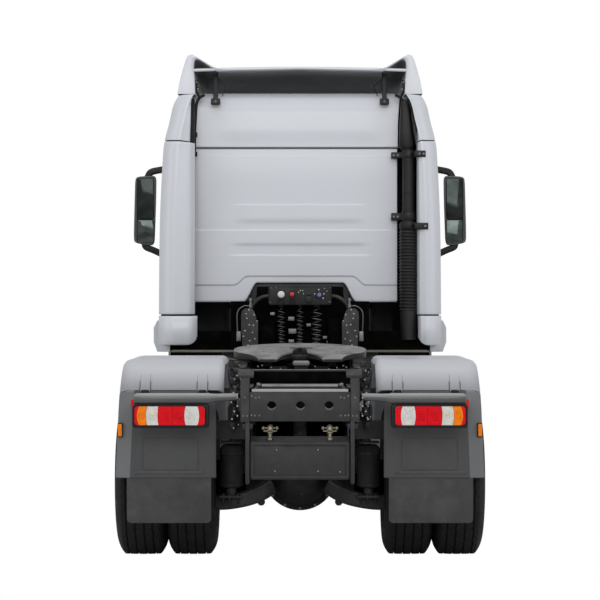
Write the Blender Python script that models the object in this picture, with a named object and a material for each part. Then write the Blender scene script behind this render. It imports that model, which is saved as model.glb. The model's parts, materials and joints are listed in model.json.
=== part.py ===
# Semi truck tractor unit, two axles, cab over engine, built panel by panel
# +Z is up, +Y is forward, +X is the right-hand side, lengths are in metres
# The origin is on the ground below the middle of the vehicle
import math

import bmesh
import bpy
from mathutils import Matrix, Vector

# Driving dimensions
WHEELBASE = 3.6
FRONT_OVERHANG = 1.4
REAR_OVERHANG = 1.0
LENGTH = WHEELBASE + FRONT_OVERHANG + REAR_OVERHANG
FRONT_Y = LENGTH / 2
REAR_Y = -LENGTH / 2
FRONT_AXLE_Y = FRONT_Y - FRONT_OVERHANG
REAR_AXLE_Y = FRONT_AXLE_Y - WHEELBASE

# Gaps: two pieces that touch, panels that meet, and pieces that move past each other
SEAT = 0.0004
PANEL_GAP = 0.0006
RUNNING_GAP = 0.006

# Wheels
TYRE_R = 0.525
TYRE_W = 0.334
TREAD_HALF = 0.124
RIM_R = 0.286
RIM_HALF = 0.112
TWIN_PITCH = 0.343
REAR_TWIN_X = 0.904
FRONT_WHEEL_X = 1.03
HUB_R = 0.125
DISC_R = 0.19
BARREL_R = 0.262
DISC_BACK = 0.008
FRONT_DISH = 0.04
REAR_DISH = -0.1
DRUM_R = 0.198
DRUM_X = 0.63
WHEEL_STEPS = 24

# Steered axle
KINGPIN_X = 0.86
AXLE_Z = TYRE_R
BEAM_H = 0.12
BEAM_W = 0.1

# Ladder frame
FRAME_HALF = 0.385
RAIL_TOP = 1.19
RAIL_H = 0.27
RAIL_FLANGE = 0.08
RAIL_T = 0.01
REAR_RAIL_Z = RAIL_TOP - 0.16
HOLDER_DEPTH = 0.034
RAIL_REAR_Y = REAR_Y + HOLDER_DEPTH + SEAT
RAIL_LOW = RAIL_TOP - RAIL_H
RAIL_IN = FRAME_HALF - RAIL_FLANGE
RAIL_FRONT_Y = FRONT_Y - 0.42
BEAM_T = 0.012

# Fifth wheel
FIFTH_Y = REAR_AXLE_Y + 0.55
PIVOT_Z = RAIL_TOP + 0.11
PLATE_TOP = PIVOT_Z + 0.1
PLATE_HALF = 0.476
PLATE_FRONT = 0.38
PLATE_REAR = 0.33
RAMP_REACH = 0.48
PLATE_T = 0.045
PLATE_TILT = math.radians(5.0)
THROAT_R = 0.045
BASE_T = 0.014
PIN_R = 0.018
PIN_GAP = 0.0009

# Cab shell
WALL = 0.045
CAB_HALF = 1.128
CAB_LENGTH = 2.21
CAB_REAR_Y = 0.72
CAB_FRONT_Y = CAB_REAR_Y + CAB_LENGTH
CAB_BOTTOM = 1.12
CAB_BODY = 1.876
ROOF_RISE = 0.454
ROOF_SEAM = CAB_BOTTOM + CAB_BODY
ROOF_TOP = ROOF_SEAM + ROOF_RISE
SIDE_BOTTOM = CAB_BOTTOM + 0.21
FLOOR_Z = CAB_BOTTOM + 0.3
FLOOR_T = 0.04
REAR_FLOOR_Z = FLOOR_Z + 0.32
BACK_HALF = CAB_HALF - 0.108
TUNNEL_HALF = 0.40
TUNNEL_TOP = REAR_FLOOR_Z + 0.16
TUNNEL_FRONT = CAB_FRONT_Y - 0.51
FRONT_SEAM_Y = CAB_FRONT_Y - 0.34
FOOT_FRONT_Y = CAB_FRONT_Y - 0.15
FLARE_OUT = 0.087
FLARE_H = 0.26

# Doors and windows
DOOR_LENGTH = 0.924
DOOR_FRONT_Y = FRONT_SEAM_Y - RUNNING_GAP
DOOR_REAR_Y = DOOR_FRONT_Y - DOOR_LENGTH
DOOR_BOTTOM = CAB_BOTTOM + 0.1
DOOR_TOP = ROOF_SEAM - 0.066
WINDOW_TOP = DOOR_TOP - 0.1
WINDOW_HEIGHT = 0.77
SCREEN_TOP = ROOF_SEAM - 0.136
SCREEN_HEIGHT = 0.86
SCREEN_HALF = CAB_HALF - 0.128
GRILLE_HALF = CAB_HALF - 0.348
GRILLE_LOW = CAB_BOTTOM + 0.08
GRILLE_HIGH = SCREEN_TOP - SCREEN_HEIGHT - 0.14
HINGE_X = CAB_HALF + 0.022

# Side fairings
FAIRING_T = 0.018
FAIRING_DEPTH = 0.26
FAIRING_REAR_Y = CAB_REAR_Y - FAIRING_DEPTH
FAIRING_BOTTOM = CAB_BOTTOM + CAB_BODY * 0.15

# Cab tilt
TILT_Y = CAB_FRONT_Y - 0.07
TILT_Z = CAB_BOTTOM - 0.06

# Rear mudguards
GUARD_IN = 0.5
GUARD_OUT = 1.215
GUARD_LEAN = 0.035
GUARD_TOP = TYRE_R * 2 + 0.307
GUARD_BOTTOM = 0.583
GUARD_SEAM_Z = GUARD_TOP - 0.207
GUARD_T = 0.012
GUARD_REACH = TYRE_R + 0.195
GUARD_REAR_Y = REAR_AXLE_Y - GUARD_REACH
GUARD_FRONT_Y = REAR_AXLE_Y + GUARD_REACH

# Rear lamps
LAMP_IN = 0.585
LAMP_OUT = 1.083
LAMP_LOW = RAIL_TOP - 0.266

# Suspension
ARM_TOP = AXLE_Z - 0.0254
SPRING_X = 0.468
SPRING_Y = REAR_AXLE_Y - 0.4
SPRING_R = 0.085
SPRING_TOP = RAIL_LOW - 0.1
HANGER_LOW = RAIL_LOW - 0.3
LEAF_HALF = 0.78
LEAF_T = 0.0395
LEAF_SEAT = RAIL_LOW - 0.18

# Driveline
ENGINE_TOP = TUNNEL_TOP - 0.06
ENGINE_BOTTOM = ENGINE_TOP - 1.12

COLOURS = {
    # name: red, green, blue, roughness, metallic
    "body_paint": (0.68, 0.69, 0.72, 0.3, 0.0),
    "chassis_paint": (0.045, 0.045, 0.048, 0.55, 0.0),
    "rear_beam_paint": (0.07, 0.07, 0.072, 0.5, 0.0),
    "grey_plastic": (0.16, 0.165, 0.175, 0.5, 0.0),
    "dark_plastic": (0.055, 0.056, 0.058, 0.6, 0.0),
    "tyre_rubber": (0.02, 0.02, 0.02, 0.85, 0.0),
    "rim_steel": (0.45, 0.45, 0.46, 0.4, 0.6),
    "worn_steel": (0.3, 0.29, 0.28, 0.45, 0.8),
    "cast_iron": (0.06, 0.06, 0.06, 0.6, 0.3),
    "rubber": (0.025, 0.025, 0.026, 0.75, 0.0),
    "glass": (0.1, 0.12, 0.12, 0.05, 0.0),
    "lamp_lens": (0.6, 0.03, 0.03, 0.15, 0.0),
    "aluminium": (0.6, 0.61, 0.62, 0.35, 0.9),
    "seat_fabric": (0.1, 0.1, 0.11, 0.9, 0.0),
    "trim_plastic": (0.12, 0.12, 0.125, 0.7, 0.0),
}
MATERIALS = {}


def clear_scene():
    for obj in list(bpy.data.objects):
        bpy.data.objects.remove(obj)


def make_materials():
    for name, (red, green, blue, roughness, metallic) in COLOURS.items():
        material = bpy.data.materials.new(name)
        material.use_nodes = True
        shader = material.node_tree.nodes["Principled BSDF"]
        shader.inputs["Base Color"].default_value = (red, green, blue, 1.0)
        shader.inputs["Roughness"].default_value = roughness
        shader.inputs["Metallic"].default_value = metallic
        material.diffuse_color = (red, green, blue, 1.0)
        MATERIALS[name] = material


# Shape helpers


def solid(verts, faces, name="piece"):
    """A closed mesh object from points and faces, with its faces turned outwards."""
    mesh = bpy.data.meshes.new(name)
    mesh.from_pydata([tuple(v) for v in verts], [], faces)
    work = bmesh.new()
    work.from_mesh(mesh)
    bmesh.ops.remove_doubles(work, verts=work.verts, dist=1e-6)
    bmesh.ops.recalc_face_normals(work, faces=work.faces)
    work.to_mesh(mesh)
    work.free()
    obj = bpy.data.objects.new(name, mesh)
    bpy.context.scene.collection.objects.link(obj)
    return obj


def loft(rings):
    """A solid through rings of points, all of the same count, closed by a face at each end."""
    count = len(rings[0])
    verts = [point for ring in rings for point in ring]
    faces = []
    for level in range(len(rings) - 1):
        low = level * count
        high = low + count
        for i in range(count):
            j = (i + 1) % count
            faces.append((low + i, low + j, high + j, high + i))
    faces.append(tuple(range(count)))
    top = (len(rings) - 1) * count
    faces.append(tuple(range(top, top + count)))
    return solid(verts, faces)


def placed(axis, a, b, along):
    """The point at (a, b) of an outline that stands across the axis, at a place along it."""
    if axis == "X":
        return Vector((along, a, b))
    if axis == "Y":
        return Vector((a, along, b))
    return Vector((a, b, along))


def prism(outline, axis, low, high):
    """An outline pulled straight along an axis."""
    rings = [[placed(axis, a, b, along) for a, b in outline] for along in (low, high)]
    return loft(rings)


def box(x_low, x_high, y_low, y_high, z_low, z_high):
    outline = [(x_low, y_low), (x_high, y_low), (x_high, y_high), (x_low, y_high)]
    return prism(outline, "Z", z_low, z_high)


def rounded(a_low, a_high, b_low, b_high, radius, steps=3):
    """A rectangle with round corners, as an outline."""
    corners = (
        (a_high - radius, b_high - radius, 0.0),
        (a_low + radius, b_high - radius, 90.0),
        (a_low + radius, b_low + radius, 180.0),
        (a_high - radius, b_low + radius, 270.0),
    )
    outline = []
    for a, b, start in corners:
        for i in range(steps + 1):
            angle = math.radians(start + 90.0 * i / steps)
            outline.append((a + radius * math.cos(angle), b + radius * math.sin(angle)))
    return outline


def turned(profile, axis, centre, steps=24, ring=False):
    """A profile of (radius, place along the axis) points spun round the axis through a centre."""
    verts, faces = [], []
    count = len(profile)
    for i in range(steps):
        angle = 2 * math.pi * i / steps
        for radius, along in profile:
            a, b = radius * math.cos(angle), radius * math.sin(angle)
            verts.append(placed(axis, a, b, along) + Vector(centre))
    last = count if ring else count - 1
    for i in range(steps):
        here, there = i * count, ((i + 1) % steps) * count
        for k in range(last):
            m = (k + 1) % count
            faces.append((here + k, here + m, there + m, there + k))
    return without_slivers(solid(verts, faces))


def without_slivers(obj):
    """Drops the faces that fell into a line at a pole and turns the rest outwards."""
    work = bmesh.new()
    work.from_mesh(obj.data)
    bmesh.ops.dissolve_degenerate(work, dist=1e-6, edges=work.edges)
    bmesh.ops.remove_doubles(work, verts=work.verts, dist=1e-6)
    bmesh.ops.recalc_face_normals(work, faces=work.faces)
    work.to_mesh(obj.data)
    work.free()
    return obj


def rod(start, end, radius, sides=10):
    """A round bar from one point to another."""
    return tube([start, end], radius, sides)


def tube(points, radius, sides=10):
    """A round bar along a line of points, with mitred corners."""
    path = [Vector(p) for p in points]
    rings = []
    first = (path[1] - path[0]).normalized()
    side = first.orthogonal().normalized()
    for i, point in enumerate(path):
        before = (point - path[i - 1]).normalized() if i else first
        after = (path[i + 1] - point).normalized() if i + 1 < len(path) else before
        along = (before + after).normalized()
        side = (side - along * side.dot(along)).normalized()
        other = along.cross(side)
        ring = []
        for k in range(sides):
            angle = 2 * math.pi * k / sides
            ring.append(point + (side * math.cos(angle) + other * math.sin(angle)) * radius)
        rings.append(ring)
    return loft(rings)


def combine(target, other, operation):
    """Applies one Boolean to the target and removes the other piece."""
    modifier = target.modifiers.new("join", "BOOLEAN")
    modifier.operation = operation
    modifier.solver = "EXACT"
    modifier.object = other
    graph = bpy.context.evaluated_depsgraph_get()
    mesh = bpy.data.meshes.new_from_object(target.evaluated_get(graph))
    target.modifiers.clear()
    target.data = mesh
    bpy.data.objects.remove(other)
    return target


def joined(*pieces):
    target = pieces[0]
    for piece in pieces[1:]:
        combine(target, piece, "UNION")
    return target


def cut(target, *cutters):
    for cutter in cutters:
        combine(target, cutter, "DIFFERENCE")
    return target


def common(target, *others):
    for other in others:
        combine(target, other, "INTERSECT")
    return target


def mirrored(obj):
    """A copy of a piece on the other side of the vehicle."""
    copy = obj.copy()
    copy.data = obj.data.copy()
    bpy.context.scene.collection.objects.link(copy)
    copy.data.transform(Matrix.Diagonal((-1.0, 1.0, 1.0, 1.0)))
    copy.data.flip_normals()
    return copy


def moved(obj, x=0.0, y=0.0, z=0.0):
    obj.data.transform(Matrix.Translation((x, y, z)))
    return obj


def turned_about(obj, axis, point, angle):
    """Turns a piece about an axis through a point."""
    there = Matrix.Translation(Vector(point))
    turn = there @ Matrix.Rotation(angle, 4, axis) @ there.inverted()
    obj.data.transform(turn)
    return obj


def finish(obj, name, material, origin=(0.0, 0.0, 0.0), smooth=30.0):
    """Names a piece, gives it its material and puts its origin on its own axis."""
    obj.name = name
    obj.data.name = name
    obj.data.materials.clear()
    obj.data.materials.append(MATERIALS[material])
    obj.data.transform(Matrix.Translation(-Vector(origin)))
    obj.location = origin
    obj.data.shade_smooth()
    obj.data.set_sharp_from_angle(angle=math.radians(smooth))
    return obj


def both_sides(obj, name, material, origin=(0.0, 0.0, 0.0)):
    """Finishes a right-hand piece and its left-hand twin."""
    twin = mirrored(obj)
    finish(obj, name + "_right", material, origin)
    other = (-origin[0], origin[1], origin[2])
    finish(twin, name + "_left", material, other)


# Cab shell

CAB_SECTIONS = (
    # z, half width, front y at the middle, rear y, front corner radius, rear corner radius, bow
    (CAB_BOTTOM, CAB_HALF - 0.02, CAB_FRONT_Y - 0.03, CAB_REAR_Y, 0.24, 0.1, 0.06),
    (CAB_BOTTOM + CAB_BODY * 0.15, CAB_HALF, CAB_FRONT_Y, CAB_REAR_Y, 0.26, 0.1, 0.07),
    (CAB_BOTTOM + CAB_BODY * 0.44, CAB_HALF, CAB_FRONT_Y + 0.01, CAB_REAR_Y, 0.28, 0.1, 0.08),
    (CAB_BOTTOM + CAB_BODY * 0.71, CAB_HALF - 0.008, CAB_FRONT_Y - 0.05, CAB_REAR_Y, 0.3, 0.1, 0.09),
    (CAB_BOTTOM + CAB_BODY * 0.95, CAB_HALF - 0.03, CAB_FRONT_Y - 0.13, CAB_REAR_Y, 0.32, 0.1, 0.09),
    (ROOF_SEAM + 0.044, CAB_HALF - 0.045, CAB_FRONT_Y - 0.17, CAB_REAR_Y, 0.34, 0.1, 0.09),
    (ROOF_SEAM + 0.204, CAB_HALF - 0.085, CAB_FRONT_Y - 0.27, CAB_REAR_Y, 0.36, 0.1, 0.1),
    (ROOF_TOP - 0.12, CAB_HALF - 0.115, CAB_FRONT_Y - 0.42, CAB_REAR_Y + 0.005, 0.38, 0.11, 0.11),
    (ROOF_TOP - 0.04, CAB_HALF - 0.16, CAB_FRONT_Y - 0.62, CAB_REAR_Y + 0.03, 0.4, 0.13, 0.12),
    (ROOF_TOP, CAB_HALF - 0.22, CAB_FRONT_Y - 0.85, CAB_REAR_Y + 0.08, 0.42, 0.15, 0.12),
)


def cab_outline(half, front, rear, front_r, rear_r, bow):
    """The cab's plan at one height: a bowed front, round corners and a flat back."""
    outline = []
    flat = half - front_r
    for i in range(7):
        share = 1 - 2 * i / 6
        outline.append((flat * share, front - bow * share * share))
    slope = math.atan(2 * bow / flat)
    drop = front - bow
    for i in range(1, 5):
        angle = math.pi / 2 + slope + (math.pi / 2 - slope) * i / 4
        start = math.pi / 2 + slope
        x = -flat + front_r * (math.cos(angle) - math.cos(start))
        y = drop + front_r * (math.sin(angle) - math.sin(start))
        outline.append((x, y))
    wide = -outline[-1][0]
    for i in range(4):
        angle = math.pi + math.pi / 2 * i / 3
        outline.append(
            (-wide + rear_r + rear_r * math.cos(angle), rear + rear_r + rear_r * math.sin(angle))
        )
    for i in range(4):
        angle = 1.5 * math.pi + math.pi / 2 * i / 3
        outline.append(
            (wide - rear_r + rear_r * math.cos(angle), rear + rear_r + rear_r * math.sin(angle))
        )
    for i in range(4, 0, -1):
        x, y = outline[6 + i]
        outline.append((-x, y))
    return [(x * half / wide, y) for x, y in outline]


def cab_solid(inset, bottom=CAB_BOTTOM):
    """The cab's whole outer form, shrunk by an inset, without its hollow."""
    rings = []
    for z, half, front, rear, front_r, rear_r, bow in CAB_SECTIONS:
        lowered = inset * min(1.0, max(0.0, (z - ROOF_SEAM) / (ROOF_TOP - ROOF_SEAM)))
        height = bottom if z == CAB_BOTTOM else z - lowered
        plan = cab_outline(
            half - inset, front - inset, rear + inset, front_r - inset, rear_r - inset / 2, bow
        )
        rings.append([Vector((x, y, height)) for x, y in plan])
    return loft(rings)


def cab_skin(outer, inner):
    """A shell between two insets of the cab's form, open below."""
    return cut(cab_solid(outer), cab_solid(inner, CAB_BOTTOM - 0.1))


def half_width_at(z):
    """The cab's half width at a height, read between its sections."""
    for low, high in zip(CAB_SECTIONS, CAB_SECTIONS[1:]):
        if low[0] <= z <= high[0]:
            share = (z - low[0]) / (high[0] - low[0])
            return low[1] + (high[1] - low[1]) * share
    return CAB_SECTIONS[-1][1]


def door_outline(grow):
    """The door's edge seen from the side, with its upper corners taken off."""
    rear, front = DOOR_REAR_Y - grow, DOOR_FRONT_Y + grow
    low, high = DOOR_BOTTOM - grow, DOOR_TOP + grow
    return [
        (rear, low),
        (front, low),
        (front, high - 0.38),
        (front - 0.1, high),
        (rear + 0.05, high),
        (rear, high - 0.06),
    ]


def window_outline(shrink):
    """The side window, its sill dipping towards the mirror."""
    rear, front = DOOR_REAR_Y + 0.1 + shrink, DOOR_FRONT_Y - 0.1 - shrink
    sill, high = WINDOW_TOP - WINDOW_HEIGHT + shrink, WINDOW_TOP - shrink
    return [
        (rear, sill),
        (front - 0.34 + 2.6 * shrink, sill),
        (front - 0.24 + 2.6 * shrink, sill - 0.12),
        (front, sill - 0.12),
        (front, high - 0.33),
        (front - 0.08, high),
        (rear + 0.04, high),
        (rear, high - 0.05),
    ]


def windscreen_outline(shrink):
    low, high = SCREEN_TOP - SCREEN_HEIGHT + shrink, SCREEN_TOP - shrink
    half = SCREEN_HALF - shrink
    right = [(half - 0.05, low), (half, low + 0.05), (half - 0.05, high - 0.06), (half - 0.1, high)]
    return right + [(-x, z) for x, z in reversed(right)]


BACK_RIBS = (
    # height below the roof seam, half length
    (0.456, 0.43),
    (0.666, BACK_HALF - 0.22),
    (0.871, 0.49),
)


def back_opening():
    """The stepped notch over the gearbox in the lower edge of the back wall."""
    low = REAR_FLOOR_Z - 0.005
    return [
        (-0.449, low - 0.6),
        (0.449, low - 0.6),
        (0.449, low),
        (0.355, TUNNEL_TOP),
        (-0.355, TUNNEL_TOP),
        (-0.449, low),
    ]


def cab_panels():
    """The shell split where its panels meet: roof, back, two sides with doorways, and the front."""
    far = 4.0
    roof = common(cab_skin(0, WALL), box(-far, far, -far, far, ROOF_SEAM + PANEL_GAP, far))
    finish(roof, "cab_roof", "body_paint")

    back = common(
        cab_skin(0, WALL),
        box(-BACK_HALF, BACK_HALF, 0, CAB_REAR_Y + 0.2, REAR_FLOOR_Z - 0.005, ROOF_SEAM),
    )
    cut(back, prism(back_opening(), "Y", 0, 1))
    for drop, half in BACK_RIBS:
        z = ROOF_SEAM - drop
        ridge = [(CAB_REAR_Y + 0.01, z - 0.022), (CAB_REAR_Y - 0.012, z), (CAB_REAR_Y + 0.01, z + 0.01)]
        joined(back, prism(ridge, "X", -half, half))
    finish(back, "cab_back", "body_paint")

    inner = CAB_HALF - 0.33
    low = CAB_BOTTOM - 0.2
    side = common(
        cab_skin(0, WALL),
        box(BACK_HALF + PANEL_GAP, far, 0, FRONT_SEAM_Y - PANEL_GAP, low, ROOF_SEAM),
    )
    cut(side, box(inner, far, 0, DOOR_REAR_Y - 0.06, low, SIDE_BOTTOM))
    cut(side, box(inner, far, 0, far, low, DOOR_BOTTOM - 0.05))
    joined(side, arch_flare())
    cut(side, prism(door_outline(RUNNING_GAP), "X", inner, far))
    both_sides(side, "cab_side", "body_paint")

    front = common(cab_skin(0, WALL), box(-far, far, FRONT_SEAM_Y, far, low, ROOF_SEAM))
    behind, ahead = CAB_FRONT_Y - 0.6, CAB_FRONT_Y + 0.6
    cut(front, prism(windscreen_outline(0), "Y", behind, ahead))
    cut(front, box(-GRILLE_HALF, GRILLE_HALF, behind, ahead, GRILLE_LOW, GRILLE_HIGH))
    finish(front, "cab_front", "body_paint")

    glass = common(cab_skin(0.008, 0.02), prism(windscreen_outline(SEAT), "Y", behind, ahead))
    finish(glass, "windscreen", "glass")


def arch_flare():
    """Flare over the front wheel, standing out of the cab's side behind the door."""
    out, low = CAB_HALF + FLARE_OUT, SIDE_BOTTOM - 0.01
    section = [
        (CAB_HALF - 0.03, low),
        (out - 0.03, low),
        (out, low + 0.08),
        (out, low + FLARE_H - 0.06),
        (out - 0.03, low + FLARE_H),
        (CAB_HALF - 0.03, low + FLARE_H),
    ]
    return prism(section, "Y", CAB_REAR_Y + 0.22, DOOR_REAR_Y - RUNNING_GAP - 0.03)


def doors():
    """Each door is the whole wall's thickness, with its window cut and its pane in the cut."""
    hinge = (HINGE_X, DOOR_FRONT_Y, (DOOR_BOTTOM + DOOR_TOP) / 2)
    inner = CAB_HALF - 0.33
    door = common(cab_skin(0, WALL), prism(door_outline(0), "X", inner, 4.0))
    cut(door, prism(window_outline(0), "X", inner, 4.0))
    rear, low = DOOR_REAR_Y + 0.08, DOOR_BOTTOM + 0.68
    handle = box(CAB_HALF - 0.01, CAB_HALF + 0.018, rear, rear + 0.18, low, low + 0.03)
    joined(door, handle)
    both_sides(door, "door", "body_paint", hinge)
    pane = common(cab_skin(0.01, 0.02), prism(window_outline(SEAT), "X", inner, 4.0))
    both_sides(pane, "door_glass", "glass", hinge)


def grille():
    """Slotted panel set in the front panel's opening."""
    low, high = GRILLE_LOW + SEAT, GRILLE_HIGH - SEAT
    half = GRILLE_HALF - SEAT
    face = CAB_FRONT_Y - 0.05
    panel = box(-half, half, face - 0.05, face, low, high)
    count = 5
    pitch = (high - low) / count
    for i in range(count):
        z = low + pitch * (i + 0.5)
        cut(panel, box(0.04 - half, half - 0.04, face - 0.1, face + 0.1, z - 0.19 * pitch, z + 0.23 * pitch))
    finish(panel, "grille", "dark_plastic")


def cab_floor():
    """Stepped floor with the engine tunnel pressed through it."""
    inner = CAB_HALF - WALL - SEAT
    rear = CAB_REAR_Y + WALL + SEAT
    front = FOOT_FRONT_Y
    step = DOOR_REAR_Y
    outline = [
        (rear, REAR_FLOOR_Z),
        (step - FLOOR_T, REAR_FLOOR_Z),
        (step - FLOOR_T, FLOOR_Z),
        (front, FLOOR_Z),
        (front, FLOOR_Z + FLOOR_T),
        (step, FLOOR_Z + FLOOR_T),
        (step, REAR_FLOOR_Z + FLOOR_T),
        (rear, REAR_FLOOR_Z + FLOOR_T),
    ]
    plate = prism(outline, "X", -inner, inner)
    tunnel = box(-TUNNEL_HALF, TUNNEL_HALF, rear, TUNNEL_FRONT, FLOOR_Z, TUNNEL_TOP + FLOOR_T)
    joined(plate, tunnel)
    hollow = TUNNEL_HALF - FLOOR_T
    cut(plate, box(-hollow, hollow, rear - 0.1, TUNNEL_FRONT - FLOOR_T, FLOOR_Z - 0.2, TUNNEL_TOP))
    cut(plate, box(-2, 2, 0, step - FLOOR_T, 1.0, REAR_FLOOR_Z))
    for side in (-1, 1):
        e, f = sorted((side * (TUNNEL_HALF + 0.05), side * (CAB_HALF - 0.18)))
        joined(plate, box(e, f, front - 0.04, front, CAB_BOTTOM + 0.005, FLOOR_Z + 0.01))
        a, b = sorted((side * (CAB_HALF - 0.158), side * (CAB_HALF + 0.1)))
        cut(plate, box(a, b, CAB_REAR_Y - 0.2, CAB_REAR_Y + 0.13, REAR_FLOOR_Z - 0.2, REAR_FLOOR_Z + 0.2))
        start = CAB_HALF - 0.268
        c, d = sorted((side * start, side * (CAB_HALF + 0.1)))
        corner = box(c, d, front - 0.28, front + 0.22, CAB_BOTTOM - 0.1, FLOOR_Z + 0.2)
        cut(plate, turned_about(corner, "Z", (side * start, front, 0), math.radians(-40 * side)))
    finish(plate, "cab_floor", "trim_plastic")


FAIRING_LEVELS = [row[0] for row in CAB_SECTIONS[1:9]]


def fairing_plan(z, inner_x):
    """The fairing's plan: a side that lies on the cab, a round corner and a face turned in."""
    outer = half_width_at(z) + SEAT + FAIRING_T
    rear, front = FAIRING_REAR_Y, CAB_REAR_Y + 0.2
    radius = 0.13
    steps = 4
    path = [(outer, front)]
    inside = [(outer - FAIRING_T, front)]
    for i in range(steps + 1):
        angle = math.pi / 2 * i / steps
        path.append((outer - radius + radius * math.cos(angle), rear + radius - radius * math.sin(angle)))
        r = radius - FAIRING_T
        inside.append((outer - radius + r * math.cos(angle), rear + radius - r * math.sin(angle)))
    path.append((inner_x, rear + 0.03))
    inside.append((inner_x, rear + 0.03 + FAIRING_T))
    return path + inside[::-1]


def side_fairings():
    """Rear corner fairings. The right one is narrower and leaves room for the air intake."""
    for side, inner_x in ((-1, CAB_HALF - 0.25), (1, CAB_HALF - 0.165)):
        rings = []
        for z in FAIRING_LEVELS:
            x_in = min(inner_x, half_width_at(z) - 0.1)
            rings.append([Vector((x, y, z)) for x, y in fairing_plan(z, x_in)])
        piece = loft(rings)
        root, tip = CAB_HALF - 0.128, CAB_HALF - 0.05
        for z in (FAIRING_BOTTOM + 0.5, ROOF_SEAM - 0.25):
            joined(
                piece,
                box(root, tip - 0.01, CAB_REAR_Y - 0.15, CAB_REAR_Y - SEAT, z, z + 0.03),
                box(tip - 0.04, tip, FAIRING_REAR_Y + 0.01, CAB_REAR_Y - 0.1, z, z + 0.03),
            )
        for z in (FAIRING_BOTTOM + 0.225, ROOF_SEAM + 0.05):
            cut(piece, box(0, 2, FAIRING_REAR_Y - 0.05, FAIRING_REAR_Y + 0.006, z, z + 0.012))
        if side < 0:
            source = piece
            piece = mirrored(source)
            bpy.data.objects.remove(source)
        finish(piece, "side_fairing_" + ("left" if side < 0 else "right"), "body_paint")


SPOILER_STATIONS = (
    # y, base half width, tip half width, tip height, flat half width, flat height, over the roof
    (CAB_REAR_Y - 0.1, CAB_HALF - 0.128, CAB_HALF - 0.223, 0.316, CAB_HALF - 0.448, 0.186),
    (CAB_REAR_Y + 0.48, CAB_HALF - 0.143, CAB_HALF - 0.228, 0.26, CAB_HALF - 0.448, 0.18),
    (CAB_REAR_Y + 1.03, CAB_HALF - 0.188, CAB_HALF - 0.258, 0.15, CAB_HALF - 0.468, 0.11),
    (CAB_REAR_Y + 1.38, CAB_HALF - 0.268, CAB_HALF - 0.328, 0.03, CAB_HALF - 0.528, 0.025),
)
FIN_WALL = 0.14
SPOILER_SKIN = 0.02


def spoiler_ring(y, base, tip, rise, flat, flat_rise):
    """Section of the spoiler: a leaning side, a round fin tip, and a slope down to the crowned middle."""
    top = ROOF_TOP + rise
    low = ROOF_TOP + SEAT
    lean = base - tip
    half = [
        (base, low),
        (tip + lean * 0.3, top - rise * 0.17),
        (tip + lean * 0.06, top - rise * 0.025),
        (tip - rise * 0.07, top),
        (tip - rise * 0.16, top - rise * 0.045),
        (flat, ROOF_TOP + flat_rise),
    ]
    ring = half + [(0, ROOF_TOP + flat_rise + 0.012)] + [(-x, z) for x, z in reversed(half)]
    return [Vector((x, y, z)) for x, z in ring]


def spoiler_hollow(y, base, tip, rise, flat, flat_rise):
    top = ROOF_TOP + rise
    half = [
        (base - FIN_WALL, ROOF_TOP - 0.05),
        (tip - 0.035, top - rise * 0.36),
        (tip - 0.05, top - rise * 0.15),
        (flat, ROOF_TOP + flat_rise - SPOILER_SKIN),
    ]
    ring = half + [(0, ROOF_TOP + flat_rise + 0.012 - SPOILER_SKIN)] + [(-x, z) for x, z in reversed(half)]
    return [Vector((x, y, z)) for x, z in ring]


def roof_spoiler():
    """A wedge shell with raised side fins, open behind and below, stayed by two struts."""
    shell = loft([spoiler_ring(*row) for row in SPOILER_STATIONS])
    rows = [list(row) for row in SPOILER_STATIONS]
    rows[0][0] -= 0.1
    rows[-1][0] -= 0.12
    cut(shell, loft([spoiler_hollow(*row) for row in rows]))
    y, _, tip, _, _, rise = SPOILER_STATIONS[0]
    half, low = tip - 0.03, ROOF_TOP + rise - 0.032
    lip = [(-half, low), (0, low + 0.014), (half, low), (half, low + 0.016), (0, low + 0.03), (-half, low + 0.016)]
    joined(shell, prism(lip, "Y", y, y + 0.16))
    strut_x = CAB_HALF - 0.438
    for side in (-1, 1):
        x = strut_x * side
        points = [(x, CAB_REAR_Y, ROOF_TOP + 0.2), (x, CAB_REAR_Y - 0.05, ROOF_TOP), (x, CAB_REAR_Y - 0.05, ROOF_TOP - 0.05)]
        strut = tube(points, 0.019, 8)
        foot = box(x - 0.036, x + 0.036, CAB_REAR_Y - 0.07, CAB_REAR_Y - 0.022, ROOF_TOP - 0.094, ROOF_TOP - 0.045)
        joined(shell, strut, foot)
    finish(shell, "roof_spoiler", "body_paint")


def mirrors():
    """Twin glasses in one tall head, held ahead of the door by an arm at each end."""
    x_in, x_out = CAB_HALF + 0.177, CAB_HALF + 0.3945
    low, high = ROOF_SEAM - 0.75, ROOF_SEAM - 0.106
    rear = CAB_FRONT_Y - 0.21
    outline = [
        (x_in + 0.03, low),
        (x_out - 0.035, low + 0.02),
        (x_out, low + 0.05),
        (x_out, high - 0.03),
        (x_out - 0.03, high),
        (x_in + 0.03, high),
        (x_in, high - 0.03),
        (x_in, low + 0.025),
    ]
    head = prism(outline, "Y", rear, rear + 0.11)
    split = low + 0.243
    for z0, z1 in ((split + 0.012, high - 0.016), (low + 0.04, split - 0.012)):
        cut(head, prism(rounded(x_in + 0.015, x_out - 0.015, z0, z1, 0.02, 2), "Y", rear - 0.02, rear + 0.008))
    for z_head, z_cab in ((high - 0.02, ROOF_SEAM - 0.046), (low + 0.04, ROOF_SEAM - 0.856)):
        y = rear + 0.04
        root = half_width_at(z_cab) - 0.15
        joined(head, tube([(root, y, z_cab), (x_in - 0.055, y, z_cab), (x_in + 0.095, y, z_head)], 0.026, 8))
    return head


def cab_fittings():
    head = mirrors()
    cut(head, cab_solid(-SEAT))
    both_sides(head, "mirror", "dark_plastic")


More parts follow.
